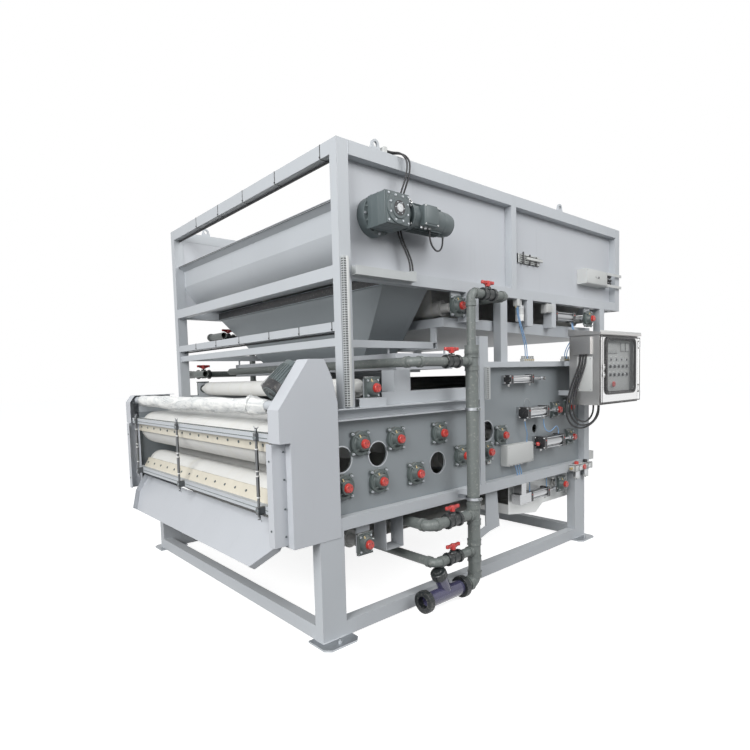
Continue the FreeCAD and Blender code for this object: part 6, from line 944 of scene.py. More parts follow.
def motor_body(piece):
    """Flanges, fins and the fan's cover along the motor's axis, and its lifting eye."""
    start = spot(655, -55, 2620)
    for along, radius, deep in ((0.0, 0.086, 0.014), (0.054, 0.088, 0.016), (0.076, 0.083, 0.012)):
        piece.ring(start + X_AXIS * along, X_AXIS, 0.05, radius, deep, "motor", 36)
    for ray in rays(4, Y_AXIS, Z_AXIS, 45):
        piece.bolt(start + X_AXIS * 0.054 + ray * 0.077, -X_AXIS, 0.013, "steel")
    for ray in rays(FIN_COUNT, Y_AXIS, Z_AXIS, 180 / FIN_COUNT):
        behind_terminal_box = ray.y < -0.55 and abs(ray.z) < 0.80
        if not behind_terminal_box:
            foot = start + X_AXIS * 0.092 + ray * 0.078
            cooling_fin(piece, foot, X_AXIS, ray, 0.0028, MOTOR_FINS)
    cover = start + X_AXIS * 0.362
    piece.lathe(cover, X_AXIS, MOTOR_COVER, "motor", 44)
    # Black rings on the cover's end stand in for the dark openings of its grille: painted shade.
    for radius in (0.020, 0.036, 0.052):
        piece.ring(cover + X_AXIS * 0.0945, X_AXIS, radius, radius + 0.007, 0.002, "black", 36)
    eye = [spot(760, -55, 2716) + ray * 0.018 for ray in rays(16, X_AXIS, Z_AXIS)]
    piece.sweep(eye, 0.006, "steel", 8, closed=True)


def terminal_box(piece):
    """The terminal box's raised lid with its screws, and the cable glands."""
    low = spot(785, -155, 2557.5)
    high = spot(910, -55, 2682.5)
    lid_low = Vector((low.x - 0.003, low.y - 0.010, low.z - 0.003))
    lid_high = Vector((high.x + 0.003, low.y + 0.012, high.z + 0.003))
    piece.box(lid_low, lid_high, "motor", 0.005)
    raised_low = lid_low + Vector((0.013, -0.004, 0.013))
    piece.box(raised_low, lid_high - Vector((0.013, 0.010, 0.013)), "motor", 0.003)
    for right in (lid_low.x + 0.009, lid_high.x - 0.009):
        for up in (lid_low.z + 0.009, lid_high.z - 0.009):
            piece.bolt((right, lid_low.y, up), NEAR, 0.008, "steel")
    for x in (805, 842, 880):
        piece.lathe(spot(x, -110, 2557.5), -Z_AXIS, CABLE_GLAND, "barrel", HEX_SIDES)
    piece.lathe(spot(1075, -55, 2549), -Z_AXIS, MOTOR_GLAND, "barrel", HEX_SIDES)


class PRESS_OT_gearmotor(bpy.types.Operator):
    """The thickener's gearmotor: bolt circles, ribs, fins, end cover, glands and terminal lid"""

    bl_idname = "press.gearmotor"
    bl_label = "Thickener gearmotor"

    def execute(self, context):
        piece = Piece("gearmotor_details", slot="motor_paint")
        gearbox(piece)
        motor_body(piece)
        terminal_box(piece)
        piece.done()
        return {"FINISHED"}


TIE_ROD = 0.0045
HEAD_LONG = 34
HEAD_PROUD = Vector((0.0012, 0.0012, 0.0012))
SIDE_CYLINDERS = ((1905, 528, 1545, 72, 4), (2112, 510, 1262, 96, -8), (2349, 530, 990, 104, -12))
NEAR_CYLINDERS = ((2270, 475, 525, 84, 66), (2700, 560, 2100, 84, 74))


def cylinder(piece, side, x, long, z, head, inset):
    """One cylinder from its rear head's x, its whole length and its axis."""
    tube = long / 2
    half = head / 2
    out = outward(side)
    rear = spot(x, inset, z, side)
    for start in (x, x + HEAD_LONG + tube):
        corner = spot(start, inset - half, z - half, side)
        other = spot(start + HEAD_LONG, inset + half, z + half, side)
        low, high = sorted_box(corner, other)
        piece.box(low - HEAD_PROUD, high + HEAD_PROUD, "black", 0.005)
    for right, up in CORNERS:
        offset = (out * right + Z_AXIS * up) * (half - 10) * MM
        start = rear + X_AXIS * 0.030 + offset
        piece.rod(start, start + X_AXIS * (tube + 8) * MM, TIE_ROD, "barrel", 8)
        for along, way in ((0.0, -1), (2 * HEAD_LONG + tube, 1)):
            place = rear + X_AXIS * (along * MM + way * 0.001) + offset
            piece.bolt(place, X_AXIS * way, 0.014, "steel", washer=False)
    front = rear + X_AXIS * (2 * HEAD_LONG + tube) * MM
    piece.rod(front, front + X_AXIS * 0.010, 0.022, "barrel", 24, edge=0.002)
    tip = rear + X_AXIS * long * MM
    fork = tip - X_AXIS * 0.036
    piece.rod(tip - X_AXIS * 0.050, fork, 0.017, "zinc", HEX_SIDES)
    for way in (-1, 1):
        low = fork + Vector((0, way * 0.011 - 0.005, -0.016))
        piece.block(low, (0.050, 0.010, 0.032), "zinc", 0.003)
    pin = fork + X_AXIS * 0.030
    piece.rod(pin - Y_AXIS * 0.024, pin + Y_AXIS * 0.024, 0.007, "steel", 14)
    for start in (x + HEAD_LONG / 2, x + 1.5 * HEAD_LONG + tube):
        port = spot(start, inset, z - half, side)
        piece.rod(port, port - Z_AXIS * 0.008, 0.009, "barrel", HEX_SIDES)
        piece.rod(port - Z_AXIS * 0.006, port - Z_AXIS * 0.020, 0.0075, "white", 14)
        red = spot(start, inset - half, z + half * 0.4, side)
        piece.lathe(red, out, [(0, 0.006), (0.003, 0.005), (0.0035, 0)], "cap", 14)


class PRESS_OT_cylinders(bpy.types.Operator):
    """Heads, tie rods, nuts, fittings and rod ends of the air cylinders"""

    bl_idname = "press.cylinders"
    bl_label = "Air cylinders"

    def execute(self, context):
        piece = Piece("cylinder_details", slot="cylinder_silver")
        for side in ("near", "far"):
            for sizes in SIDE_CYLINDERS:
                cylinder(piece, side, *sizes)
        for sizes in NEAR_CYLINDERS:
            cylinder(piece, "near", *sizes)
        piece.done()
        return {"FINISHED"}


HANDLE_HALF = 0.062
HANDLE_BAR = 0.054
VALVES = (
    ("top", 1473, 2172, 31.5, "near", 1700, 1),
    ("middle", 1058, 1688, 31.5, "near", 685, -1),
    ("low", 1040, 590, 37.5, "near", 811, -1),
    ("foot", 1040, 325, 31.5, "near", 859, -1),
    ("far_top", 871, 2050, 31.5, "far", 650, -1),
    ("far_low", 575, 1672, 31.5, "far", 400, -1),
)
PIPE_OUT = -130
MAIN_PIPE = 0.045
LOW_PIPE = 0.0375
BRANCH_PIPE = 0.0315
SOCKETS = (
    *((1276, z, Z_AXIS, MAIN_PIPE, 0.040, "near") for z in (152, 265, 385, 535, 650, 1735)),
    *((1276, z, Z_AXIS, MAIN_PIPE, 0.036, "near") for z in (1640, 1745)),
    (1276, 2095, Z_AXIS, BRANCH_PIPE, 0.036, "near"),
    (1222, 325, X_AXIS, BRANCH_PIPE, 0.030, "near"),
    (1222, 590, X_AXIS, LOW_PIPE, 0.030, "near"),
    (1222, 1688, X_AXIS, BRANCH_PIPE, 0.030, "near"),
    (1208, 95, X_AXIS, MAIN_PIPE, 0.036, "near"),
    (1332, 2172, X_AXIS, BRANCH_PIPE, 0.034, "near"),
    *((1150, z, Z_AXIS, BRANCH_PIPE, 0.036, "far") for z in (1575, 1940)),
)
VALVE_NECK = [(0, 0.030), (0.006, 0.027), (0.008, 0.0235), (0.0145, 0.0235)]
HANDLE_KNOB = [
    (0, 0.0), (0, 0.011), (0.003, 0.0125), (0.019, 0.0125), (0.022, 0.011), (0.022, 0),
]
STRAINER_CAP = [(0, 0.054), (0.004, 0.050), (0.006, 0.030), (0.012, 0.026), (0.012, 0.0)]


def socket(piece, place, axis, radius, deep):
    """A fitting's collar with a lip round a pipe."""
    lip = radius + 0.0045
    profile = [
        (0, radius), (0, lip + 0.002), (0.006, lip + 0.002), (0.007, lip), (deep - 0.007, lip),
        (deep - 0.006, lip + 0.002), (deep, lip + 0.002), (deep, radius),
    ]
    piece.lathe(place - axis * deep / 2, axis, profile, "pipe", 32)


def riser(piece):
    """Sockets along the wash pipes, and the riser's clips."""
    for x, z, axis, radius, deep, side in SOCKETS:
        socket(piece, spot(x, PIPE_OUT, z, side), axis, radius, deep)
    for z, radius in ((705, 0.057), (1350, 0.050)):
        band = spot(1276, PIPE_OUT, z)
        piece.ring(band - Z_AXIS * 0.010, Z_AXIS, 0.0452, radius, 0.020, "zinc", 36)
        piece.block(band + Vector((-0.012, -0.066, -0.009)), (0.024, 0.022, 0.018), "zinc", 0.002)
        piece.bolt(band + Vector((0.012, -0.058, 0)), X_AXIS, 0.013, "steel")


def branch(piece, centre, radius, side, end, way):
    """Collars at the ends of a branch's turn."""
    corner = spot(end, PIPE_OUT, centre.z / MM, side)
    bend = radius * 1.3 + 0.016
    socket(piece, corner - X_AXIS * way * bend, X_AXIS, radius, 0.030)
    socket(piece, corner - outward(side) * bend, Y_AXIS, radius, 0.030)


def ribs(piece, start, axis, first, second, count, radius, long, thick):
    """Grip ribs all round a nut."""
    for ray in rays(count, first, second):
        foot = start + ray * radius
        piece.rod(foot, foot + axis * long, thick, "valve", 6)


def valve(piece, centre, radius):
    """Ribbed union nuts at both ends of a valve's body, and the neck under its handle."""
    nut = radius + 0.012
    crest = nut + 0.0012
    profile = [(0, nut - 0.003), (0.002, crest), (0.022, crest), (0.0245, nut - 0.003)]
    for way in (-1, 1):
        axis = X_AXIS * way
        start = centre + axis * 0.046
        piece.lathe(start, axis, profile, "valve", 32)
        ribs(piece, start + axis * 0.003, axis, Y_AXIS, Z_AXIS, 20, nut + 0.001, 0.017, 0.0028)
    start = centre - X_AXIS * 0.018
    piece.ring(start, X_AXIS, radius + 0.004, radius + 0.0095, 0.036, "valve", 32)
    piece.lathe(centre + Z_AXIS * (radius + 0.004), Z_AXIS, VALVE_NECK, "valve", 28)


def handle(name, centre, radius):
    """The red handle: two wedges with round ends on a ribbed hub."""
    node = "valve_handle_" + name
    piece = Piece(node + "_grip", body=node, slot="handle_red")
    bar = centre + Z_AXIS * (radius + HANDLE_BAR)
    for way in (-1, 1):
        end = bar + X_AXIS * way * (HANDLE_HALF - 0.004)
        piece.lathe(end - Z_AXIS * 0.011, Z_AXIS, HANDLE_KNOB, "handle", 20)
        start = bar + X_AXIS * way * 0.010
        wedge = ((start, -0.024), (end, -0.010), (end, 0.0115), (start, 0.0115))
        outline = [place + Z_AXIS * up - Y_AXIS * 0.004 for place, up in wedge]
        piece.prism(outline, Y_AXIS * 0.008, "handle")
    hub = [(0, 0.017), (0.004, 0.015), (0.005, 0.009), (0.003, 0.0)]
    piece.lathe(bar + Z_AXIS * 0.008, Z_AXIS, hub, "handle", 24)
    for ray in rays(6, X_AXIS, Y_AXIS, 30):
        foot = bar - Z_AXIS * 0.027 + ray * 0.0185
        piece.rod(foot, foot + Z_AXIS * 0.024, 0.0024, "handle", 8)
    piece.done()


def strainer(piece):
    """Ribbed union nuts, the branch's cap and the clear barrel's collars."""
    for x in (722, 1105):
        start = spot(x, PIPE_OUT, 95)
        ribs(piece, start + X_AXIS * 0.005, X_AXIS, Y_AXIS, Z_AXIS, 24, 0.0715, 0.035, 0.0035)
        piece.ring(start, X_AXIS, 0.046, 0.0735, 0.005, "valve", 36)
    tilt = math.radians(63)
    along = Vector((-math.cos(tilt), 0, math.sin(tilt)))
    cap = spot(965, PIPE_OUT, 95) + along * 0.145
    ribs(piece, cap, along, Y_AXIS, along.cross(Y_AXIS), 18, 0.0535, 0.040, 0.0032)
    piece.lathe(cap + along * 0.045, along, STRAINER_CAP, "valve", 28)


class PRESS_OT_pipes(bpy.types.Operator):
    """Sockets, unions and clips of the wash pipes, the valves and their handles"""

    bl_idname = "press.pipes"
    bl_label = "Pipes and valves"

    def execute(self, context):
        sockets = Piece("pipe_sockets", slot="pipe_grey")
        riser(sockets)
        unions = Piece("valve_unions", slot="valve_black")
        for name, x, z, radius, side, end, way in VALVES:
            centre = spot(x, PIPE_OUT, z, side)
            valve(unions, centre, radius * MM)
            branch(sockets, centre, radius * MM, side, end, way)
            handle(name, centre, radius * MM)
        strainer(unions)
        sockets.done()
        unions.done()
        return {"FINISHED"}


RED_KNOB = [(0, 0.0), (0, 0.016), (0.012, 0.018), (0.020, 0.014), (0.022, 0)]
RED_BUTTON = [(0, 0.012), (0.016, 0.012), (0.018, 0.009), (0.018, 0)]
DIAL = [(0, 0.024), (0.012, 0.024), (0.014, 0.021), (0.014, 0.0)]
DIAL_FACE = [(0, 0.020), (0.001, 0.0)]
DIALS = ((0.25, "barrel", "white"), (0.5, "cap", "cap"), (0.75, "barrel", "white"))
FILTER_LONG = 0.330
FILTER_KNOB = [
    (0, 0.016), (0.004, 0.016), (0.006, 0.020), (0.026, 0.020), (0.030, 0.016), (0.030, 0.0),
]
FILTER_CUP = [
    (0, 0.0), (0, 0.012), (0.010, 0.024), (0.016, 0.0285), (0.058, 0.0285), (0.060, 0.031),
    (0.074, 0.031),
]
LINE_FILTER = [
    (-0.006, 0.0), (-0.006, 0.020), (0.0, 0.0345), (0.034, 0.0345), (0.036, 0.036),
    (0.052, 0.036), (0.054, 0.0345),
]
PIN = [(0, 0.010), (0.004, 0.009), (0.005, 0)]
WALL_GLAND = [
    (0, 0.0), (0, 0.015), (0.014, 0.015), (0.016, 0.009), (0.022, 0.008), (0.022, 0.0),
]
DUCT_LONG = 0.910
DUCT_PITCH = 0.0145
SLOT_HIGH = 0.0065


def slab(piece, place, below, above, finish, edge=0.0):
    """A block round a place, by its reach below and above on each axis."""
    piece.box(place - Vector(below), place + Vector(above), finish, edge)


def lid(piece, low, high, inset, finish):
    """A lid on a box's near face with a screw near each corner."""
    inset = Vector((inset, 0, inset))
    low = low + inset
    high = high - inset
    piece.box((low.x, low.y - 0.006, low.z), (high.x, low.y + 0.002, high.z), finish, 0.002)
    for x in (low.x + 0.012, high.x - 0.012):
        for z in (low.z + 0.012, high.z - 0.012):
            piece.bolt((x, low.y - 0.006, z), NEAR, 0.008, "barrel")


def pneumatic_box(piece):
    """The long box's lid and outlets, and the red knobs and bracket near it."""
    lid(piece, spot(1882, 0, 841), spot(2266, 60, 1009), 0.006, "box")
    for index in range(5):
        foot = spot(1950 + 45 * index, 28, 841)
        piece.rod(foot, foot - Z_AXIS * 0.012, 0.0075, "barrel", HEX_SIDES)
    knob = spot(2300, -14, 985)
    piece.rod(knob + Y_AXIS * 0.074, knob, 0.010, "barrel", 14)
    piece.lathe(knob, NEAR, RED_KNOB, "cap", 20)
    for z in (905, 955):
        piece.lathe(spot(1700, 58, z), NEAR, RED_BUTTON, "cap", 16)
    piece.block(spot(1672, 40, 880), (0.056, 0.020, 0.110), "black", 0.003)


def air_filter(piece):
    """The air filter's body with three dials, two knobs, two bowls and brass ends."""
    low = spot(2860, -60, 672)
    slab(piece, low, (0.002, 0.002, 0.002), (0.332, 0.060, 0.058), "black", 0.005)
    for share, rim, face in DIALS:
        centre = low + Vector((FILTER_LONG * share, -0.001, 0.028))
        piece.lathe(centre, NEAR, DIAL, rim, 26)
        piece.lathe(centre + NEAR * 0.0135, NEAR, DIAL_FACE, face, 24)
    for share, finish in ((0.25, "cap"), (0.75, "black")):
        middle = low + Vector((FILTER_LONG * share, 0.030, 0))
        piece.lathe(middle + Z_AXIS * 0.056, Z_AXIS, FILTER_KNOB, finish, 20)
        bowl = middle - Z_AXIS * 0.072
        piece.lathe(bowl, Z_AXIS, FILTER_CUP, "barrel", 26)
        piece.rod(bowl, bowl - Z_AXIS * 0.012, 0.005, "black", 10)
    for along, x in ((-X_AXIS, 0.0), (X_AXIS, FILTER_LONG)):
        start = low + Vector((x, 0.030, 0.028))
        neck = start + along * 0.018
        piece.rod(start, neck, 0.013, "brass", HEX_SIDES)
        piece.rod(neck, start + along * 0.034, 0.009, "brass", 14)


def junction_box(piece):
    """The junction box's lid and latch, with cable glands on the wall next to it."""
    low = spot(3200, 6, 2430)
    high = spot(3620, 96, 2570)
    lid(piece, low, high, 0.004, "frame")
    latch = (low + high) / 2
    latch.y = low.y - 0.007
    slab(piece, latch, (0.034, 0.002, 0.006), (0.020, 0.004, 0.006), "black", 0.001)
    piece.lathe(latch + X_AXIS * 0.026, NEAR, PIN, "black", 16)
    for row, z in enumerate((2466, 2500, 2536)):
        for column in range(3):
            place = spot(3650 + 42 * column + 10 * (row % 2), 40, z)
            piece.lathe(place, NEAR, WALL_GLAND, "black", 18)
    piece.block(spot(3622, 62, 2440), (0.150, 0.030, 0.120), "box", 0.002)


def vent(piece):
    """The louvred block behind the chord, with dark rods and a bar in front of it."""
    low = spot(2190, 86, 2521)
    slab(piece, low, (0, 0.002, 0), (0.330, 0.010, 0.080), "motor", 0.002)
    for index in range(4):
        louvre = low + Vector((0.02, -0.012, 0.014 + 0.017 * index))
        piece.block(louvre, (0.27, 0.012, 0.006), "motor", 0.001)
    for index in range(3):
        foot = low + Vector((0.06 + 0.10 * index, -0.014, -0.012))
        piece.rod(foot, foot + Z_AXIS * (0.104 - 0.012 * index), 0.007, "black", 12)
    piece.block(low + Vector((0.10, -0.024, 0.030)), (0.25, 0.016, 0.026), "black", 0.003)


def under_chord(piece):
    """The line filter's cap and the fittings between the low chord and the rear body."""
    can = spot(2180, 67, 2030)
    piece.lathe(can, Z_AXIS, LINE_FILTER, "white", 28)
    piece.ring(can + Z_AXIS * 0.098, Z_AXIS, 0.030, 0.037, 0.028, "barrel", 28)
    for x in (2108, 2124):
        start = spot(x, 53, 2150)
        piece.rod(start, start - Z_AXIS * 0.014, 0.0065, "brass", 12)
    for x, count in ((2184, 5), (2834, 3)):
        for index in range(count):
            low = spot(x + index * 30, 24, 1714)
            if index % 2 == 0:
                piece.block(low, (0.020, 0.036, 0.022), "black", 0.002)
            nozzle = low + Vector((0.010, -0.006, -0.010))
            piece.rod(nozzle, nozzle + Y_AXIS * 0.010, 0.006, "brass", 10)
    ribbed = spot(2560, 40, 2120)
    piece.block(ribbed, (0.120, 0.060, 0.080), "box", 0.002)
    for index in range(6):
        low = ribbed + Vector((0.006 + 0.019 * index, -0.010, 0.004))
        piece.block(low, (0.010, 0.012, 0.072), "box", 0.001)


def duct(piece):
    """Slots of the wiring ducts, drawn as thin black strips that paint the shade inside them, and
    the snap lid.
    """
    start = spot(243, 8, 1420)
    for index in range(int(DUCT_LONG / DUCT_PITCH)):
        slot = start + Z_AXIS * (0.006 + DUCT_PITCH * index)
        # Black strips on two faces paint the shade inside each slot.
        piece.block(slot + Vector((0.004, -0.0012, 0)), (0.016, 0.0042, SLOT_HIGH), "black")
        piece.block(slot + Vector((-0.0012, 0.003, 0)), (0.0032, 0.017, SLOT_HIGH), "black")
    piece.block(start + Vector((0.024, -0.002, 0)), (0.019, 0.006, DUCT_LONG), "white", 0.001)
    start = spot(1594, -25, 1400)
    # Black strips paint the shade inside the second duct's slots.
    for index in range(16):
        slot = start + Vector((0.004, -0.0012, 0.008 + 0.015 * index))
        piece.block(slot, (0.018, 0.0042, SLOT_HIGH), "black")


class PRESS_OT_boxes(bpy.types.Operator):
    """Lids, screws, valves and dials of the boxes on the near side"""

    bl_idname = "press.boxes"
    bl_label = "Boxes and air fittings"

    def execute(self, context):
        piece = Piece("box_details", slot="box_grey")
        for part in (pneumatic_box, air_filter, junction_box, vent, under_chord, duct):
            part(piece)
        piece.done()
        return {"FINISHED"}


KNOB_ROWS = ((1.690, 5, 0.010, 0.010), (1.630, 6, 0.014, 0.020), (1.556, 6, 0.014, 0.020))
GRIPPED_KNOB = 0.015
HEM = 0.010
LATCH = [(0.003, 0.009), (0.008, 0.008), (0.008, 0.0)]
STOP_COLLAR = [(0, 0.034), (0.003, 0.033), (0.003, 0.020), (0.014, 0.018)]
STOP_BUTTON = [(0.012, 0.018), (0.016, 0.026), (0.024, 0.026), (0.028, 0.020), (0.029, 0.0)]
CABINET_GLANDS = ((1.410, -1.490), (1.503, -1.490), (1.538, -1.480))
FLOOR_GLAND = [
    (0, 0.0), (0, 0.0165), (0.007, 0.0165), (0.008, 0.013), (0.013, 0.0125), (0.014, 0.0),
]


def rounded(low, high, y, radius):
    """A rectangle's line with round corners, on the door's face."""
    line = []
    for turn, (x, z) in enumerate(((1, 1), (0, 1), (0, 0), (1, 0))):
        corner = Vector((high.x if x else low.x, y, high.z if z else low.z))
        corner += Vector((-radius if x else radius, 0, -radius if z else radius))
        quarter = list(rays(24, X_AXIS, Z_AXIS, 90 * turn))[:7]
        line += [corner + ray * radius for ray in quarter]
    return line


def door_details():
    """Window rim and seal, hem, latches and hinge pins of the cabinet's door."""
    piece = Piece("door_details", body="cabinet_door")
    low, high = node_box("door_window")
    face, back = node_box("cabinet_door")
    grow = Vector((0.004, 0, 0.004))
    rim = rounded(low - grow, high + grow, face.y, 0.045)
    piece.sweep(rim, 0.009, "black", 10, closed=True)
    seal = rounded(low + grow * 3, high - grow * 3, face.y + 0.002, 0.036)
    piece.sweep(seal, 0.005, "rubber", 8, closed=True)
    for x0, z0, x1, z1 in (
        (face.x, face.z, face.x + HEM, back.z), (back.x - HEM, face.z, back.x, back.z),
        (face.x, face.z, back.x, face.z + HEM), (face.x, back.z - HEM, back.x, back.z),
    ):
        piece.box((x0, face.y - 0.0018, z0), (x1, face.y + 0.001, z1), "stainless", 0.0008)
    for z in (1.625, 1.560):
        place = Vector((face.x + 0.040, face.y, z))
        slab(piece, place, (0.011, 0.004, 0.023), (0.011, 0.001, 0.023), "white", 0.003)
        piece.lathe(place, NEAR, LATCH, "barrel", 18)
        slab(piece, place, (0.004, 0.009, 0.014), (0.004, -0.005, 0.010), "white", 0.002)
    for z in (face.z + 0.06, back.z - 0.06):
        pin = Vector((back.x - 0.004, face.y - 0.001, z))
        piece.rod(pin - Z_AXIS * 0.028, pin + Z_AXIS * 0.028, 0.005, "barrel", 14)
    piece.done()


def panel_knob(piece, place, radius, deep):
    """A knob in its collar with a blank strip over it."""
    collar = [(0, radius + 0.006), (0.004, radius + 0.005), (0.005, radius)]
    piece.lathe(place, NEAR, collar, "barrel", 20)
    knob = [(0.004, radius), (deep, radius * 0.9), (deep + 0.002, 0.0)]
    piece.lathe(place, NEAR, knob, "black", 20)
    if deep > GRIPPED_KNOB:
        reach = (0.003, 0.004, radius * 0.9)
        slab(piece, place + NEAR * deep, reach, reach, "black", 0.001)
    strip = place + Vector((0, -0.001, radius + 0.016))
    slab(piece, strip, (0.016, 0.001, 0.004), (0.016, 0.002, 0.004), "white")


def switch_panel():
    """The board behind the window with its screen, meters, knobs and stop button."""
    piece = Piece("switch_panel")
    low, high = node_box("door_window")
    y = low.y + 0.046
    board_low = (low.x - 0.02, y, low.z - 0.02)
    piece.box(board_low, (high.x + 0.02, y + 0.004, high.z + 0.02), "box", 0.001)
    screen = Vector((low.x + 0.10, y, 1.745))
    slab(piece, screen, (0, 0.006, 0), (0.20, 0.002, 0.105), "black", 0.003)
    slab(piece, screen, (-0.012, 0.008, -0.014), (0.188, -0.004, 0.092), "motor", 0.001)
    for along in (0.36, 0.46):
        meter = Vector((low.x + along, y, 1.765))
        slab(piece, meter, (0, 0.010, 0), (0.075, 0.002, 0.075), "black", 0.003)
        slab(piece, meter, (-0.008, 0.012, -0.022), (0.067, -0.008, 0.067), "white", 0.001)
    for z, count, radius, deep in KNOB_ROWS:
        for column in range(count):
            x = low.x + 0.075 + 0.41 * column / (count - 1)
            panel_knob(piece, Vector((x, y, z)), radius, deep)
    stop = Vector((low.x + 0.20, y, 1.472))
    piece.lathe(stop, NEAR, STOP_COLLAR, "box", 26)
    piece.lathe(stop, NEAR, STOP_BUTTON, "cap", 26)
    low, high = node_box("cabinet_box")
    hem_low = (low.x + 0.002, low.y + 0.001, high.z - 0.058)
    piece.box(hem_low, (high.x - 0.002, low.y + 0.004, high.z - 0.030), "stainless", 0.001)
    cover = Vector((1.148, -1.610, 1.420))
    piece.block(cover, (0.006, 0.140, 0.300), "box", 0.002)
    for up in (0.016, 0.284):
        for along in (0.014, 0.126):
            piece.bolt(cover + Vector((0, along, up)), -X_AXIS, 0.008, "barrel")
    for x, y in CABINET_GLANDS:
        piece.lathe((x, y, 1.297), -Z_AXIS, FLOOR_GLAND, "black", HEX_SIDES)
    piece.done()


class PRESS_OT_cabinet(bpy.types.Operator):
    """Rim, hem and latches of the cabinet's door, the switch panel and the roof's hem"""

    bl_idname = "press.cabinet"
    bl_label = "Cabinet"

    def execute(self, context):
        door_details()
        switch_panel()
        return {"FINISHED"}


FILM_AXIS = (-1.755, 1.447)
FILM_ENDS = (-1.085, 1.130)
FILM_ROWS = 150
FILM_SIDES = 40
FILM_HUMPS = 9
KNOT_SIDES = 28
SCRAPER_SLOPE = Vector((-0.867, 0, 0.497))
SCRAPER_BOLT = [(0, 0.0095), (0.004, 0.0085), (0.006, 0.005), (0.006, 0)]
ROD_X = -1.831
ROD_Y = (-1.066, 0.135, 1.066)
MOTOR_TILT = math.radians(41)
MOTOR_END = [(-0.006, 0.0), (-0.006, 0.060), (0.0, 0.079), (0.046, 0.081), (0.050, 0.079)]
END_FINS = (0.132, 0.130, 0.002, 0.0055)


def film_place(radius, angle, y, drop=0.0):
    """A place round the film's bar."""
    x = FILM_AXIS[0] + radius * math.cos(angle)
    return Vector((x, y, FILM_AXIS[1] + radius * math.sin(angle) - drop))


def turns(count):
    """Evenly spaced angles all round."""
    return [2 * math.pi * step / count for step in range(count)]


def bell(y, middle, wide):
    """1 at the middle, fading to 0 on both sides."""
    return math.exp(-(((y - middle) / wide) ** 2))


def film_ring(share, humps):
    """The film's section at a share of its length: thicker at the knot, hanging in two places."""
    y = FILM_ENDS[0] + (FILM_ENDS[1] - FILM_ENDS[0]) * share
    end = min(share, 1 - share)
    body = 0.0425 * min(1.0, 0.80 + end * 8) + 0.010 * bell(y, -0.93, 0.045)
    droop = 0.014 + 0.016 * bell(y, 0.30, 0.22) + 0.010 * bell(y, -0.35, 0.3)
    ring = []
    for angle in turns(FILM_SIDES):
        folds = [math.sin(wave * y + turn * angle + start) for start, wave, turn in humps]
        radius = body + 0.0065 * sum(folds) / len(folds)
        ring.append(film_place(radius, angle, y, droop * max(0.0, -math.sin(angle)) ** 3))
    return ring


def film_wrap():
    """Plastic film wound loosely round the bar, hanging below it, with a knot at the near end."""
    piece = Piece("film_wrap", replaces=("film_roll",))
    chance = random.Random(7)
    humps = [
        (chance.uniform(0, 6.28), chance.uniform(5, 26), chance.uniform(0.6, 2.2))
        for _ in range(FILM_HUMPS)
    ]
    rings = [film_ring(row / FILM_ROWS, humps) for row in range(FILM_ROWS + 1)]
    rings = [[piece.mesh.verts.new(place) for place in ring] for ring in rings]
    piece.skin(rings, "film")
    for ring, y in zip((rings[0], rings[-1]), FILM_ENDS):
        inner = [film_place(0.031, angle, y) for angle in turns(FILM_SIDES)]
        piece.skin([ring, [piece.mesh.verts.new(place) for place in inner]], "film")
    for turn in range(3):
        loop = []
        for angle in turns(KNOT_SIDES):
            y = -0.925 + 0.018 * turn + 0.012 * math.sin(angle + turn)
            loop.append(film_place(0.054 + 0.004 * math.sin(3 * angle + turn), angle, y))
        piece.sweep(loop, 0.006, "film", 8, closed=True)
    piece.done()


def tie_rod(piece, rod):
    """Sleeves with white bands on a tie rod, and clips with wing nuts at its ends."""
    for low, high in ((0.905, 1.035), (1.062, 1.195)):
        piece.rod(rod + Z_AXIS * low, rod + Z_AXIS * high, 0.0105, "sleeve", 16, edge=0.002)
        for z in (low - 0.003, high - 0.005):
            band = rod + Z_AXIS * z
            piece.rod(band, band + Z_AXIS * 0.008, 0.0122, "white", 16, edge=0.002)
    for z, up in ((1.305, Z_AXIS), (0.788, -Z_AXIS)):
        nut = rod + Z_AXIS * z
        piece.bolt(nut, up, 0.016, "zinc")
        for side in (NEAR, Y_AXIS):
            root = nut + side * 0.006 + up * 0.006
            tip = root + side * 0.020 + up * 0.012
            wing = [root, tip, tip + up * 0.006, root + up * 0.006]
            piece.prism(wing, X_AXIS * 0.0035, "zinc")
    for z in (1.262, 0.829):
        clip = rod + Vector((-0.016, -0.016, z - 0.007))
        piece.block(clip, (0.010, 0.032, 0.014), "zinc", 0.002)


def scraper_fittings():
    """Bolts of the blades, the beams' edges and cover strip, and the tie rods' fittings."""
    piece = Piece("scraper_fittings")
    for index in range(15):
        y = -1.06 + 2.12 * index / 14
        piece.lathe((-1.783, y, 1.212), -X_AXIS, SCRAPER_BOLT, "motor", 14)
        piece.lathe((-1.7345, y + 0.02, 0.8855), SCRAPER_SLOPE, SCRAPER_BOLT, "motor", 14)
    for x, z in ((-1.8225, 1.2595), (-1.7955, 0.8215)):
        piece.block((x, -1.176, z), (0.003, 2.352, 0.006), "box", 0.0008)
    piece.block((-1.8215, -1.177, 1.2875), (0.046, 2.354, 0.003), "white", 0.001)
    for y in ROD_Y:
        tie_rod(piece, Vector((ROD_X, y, 0)))
    piece.done()


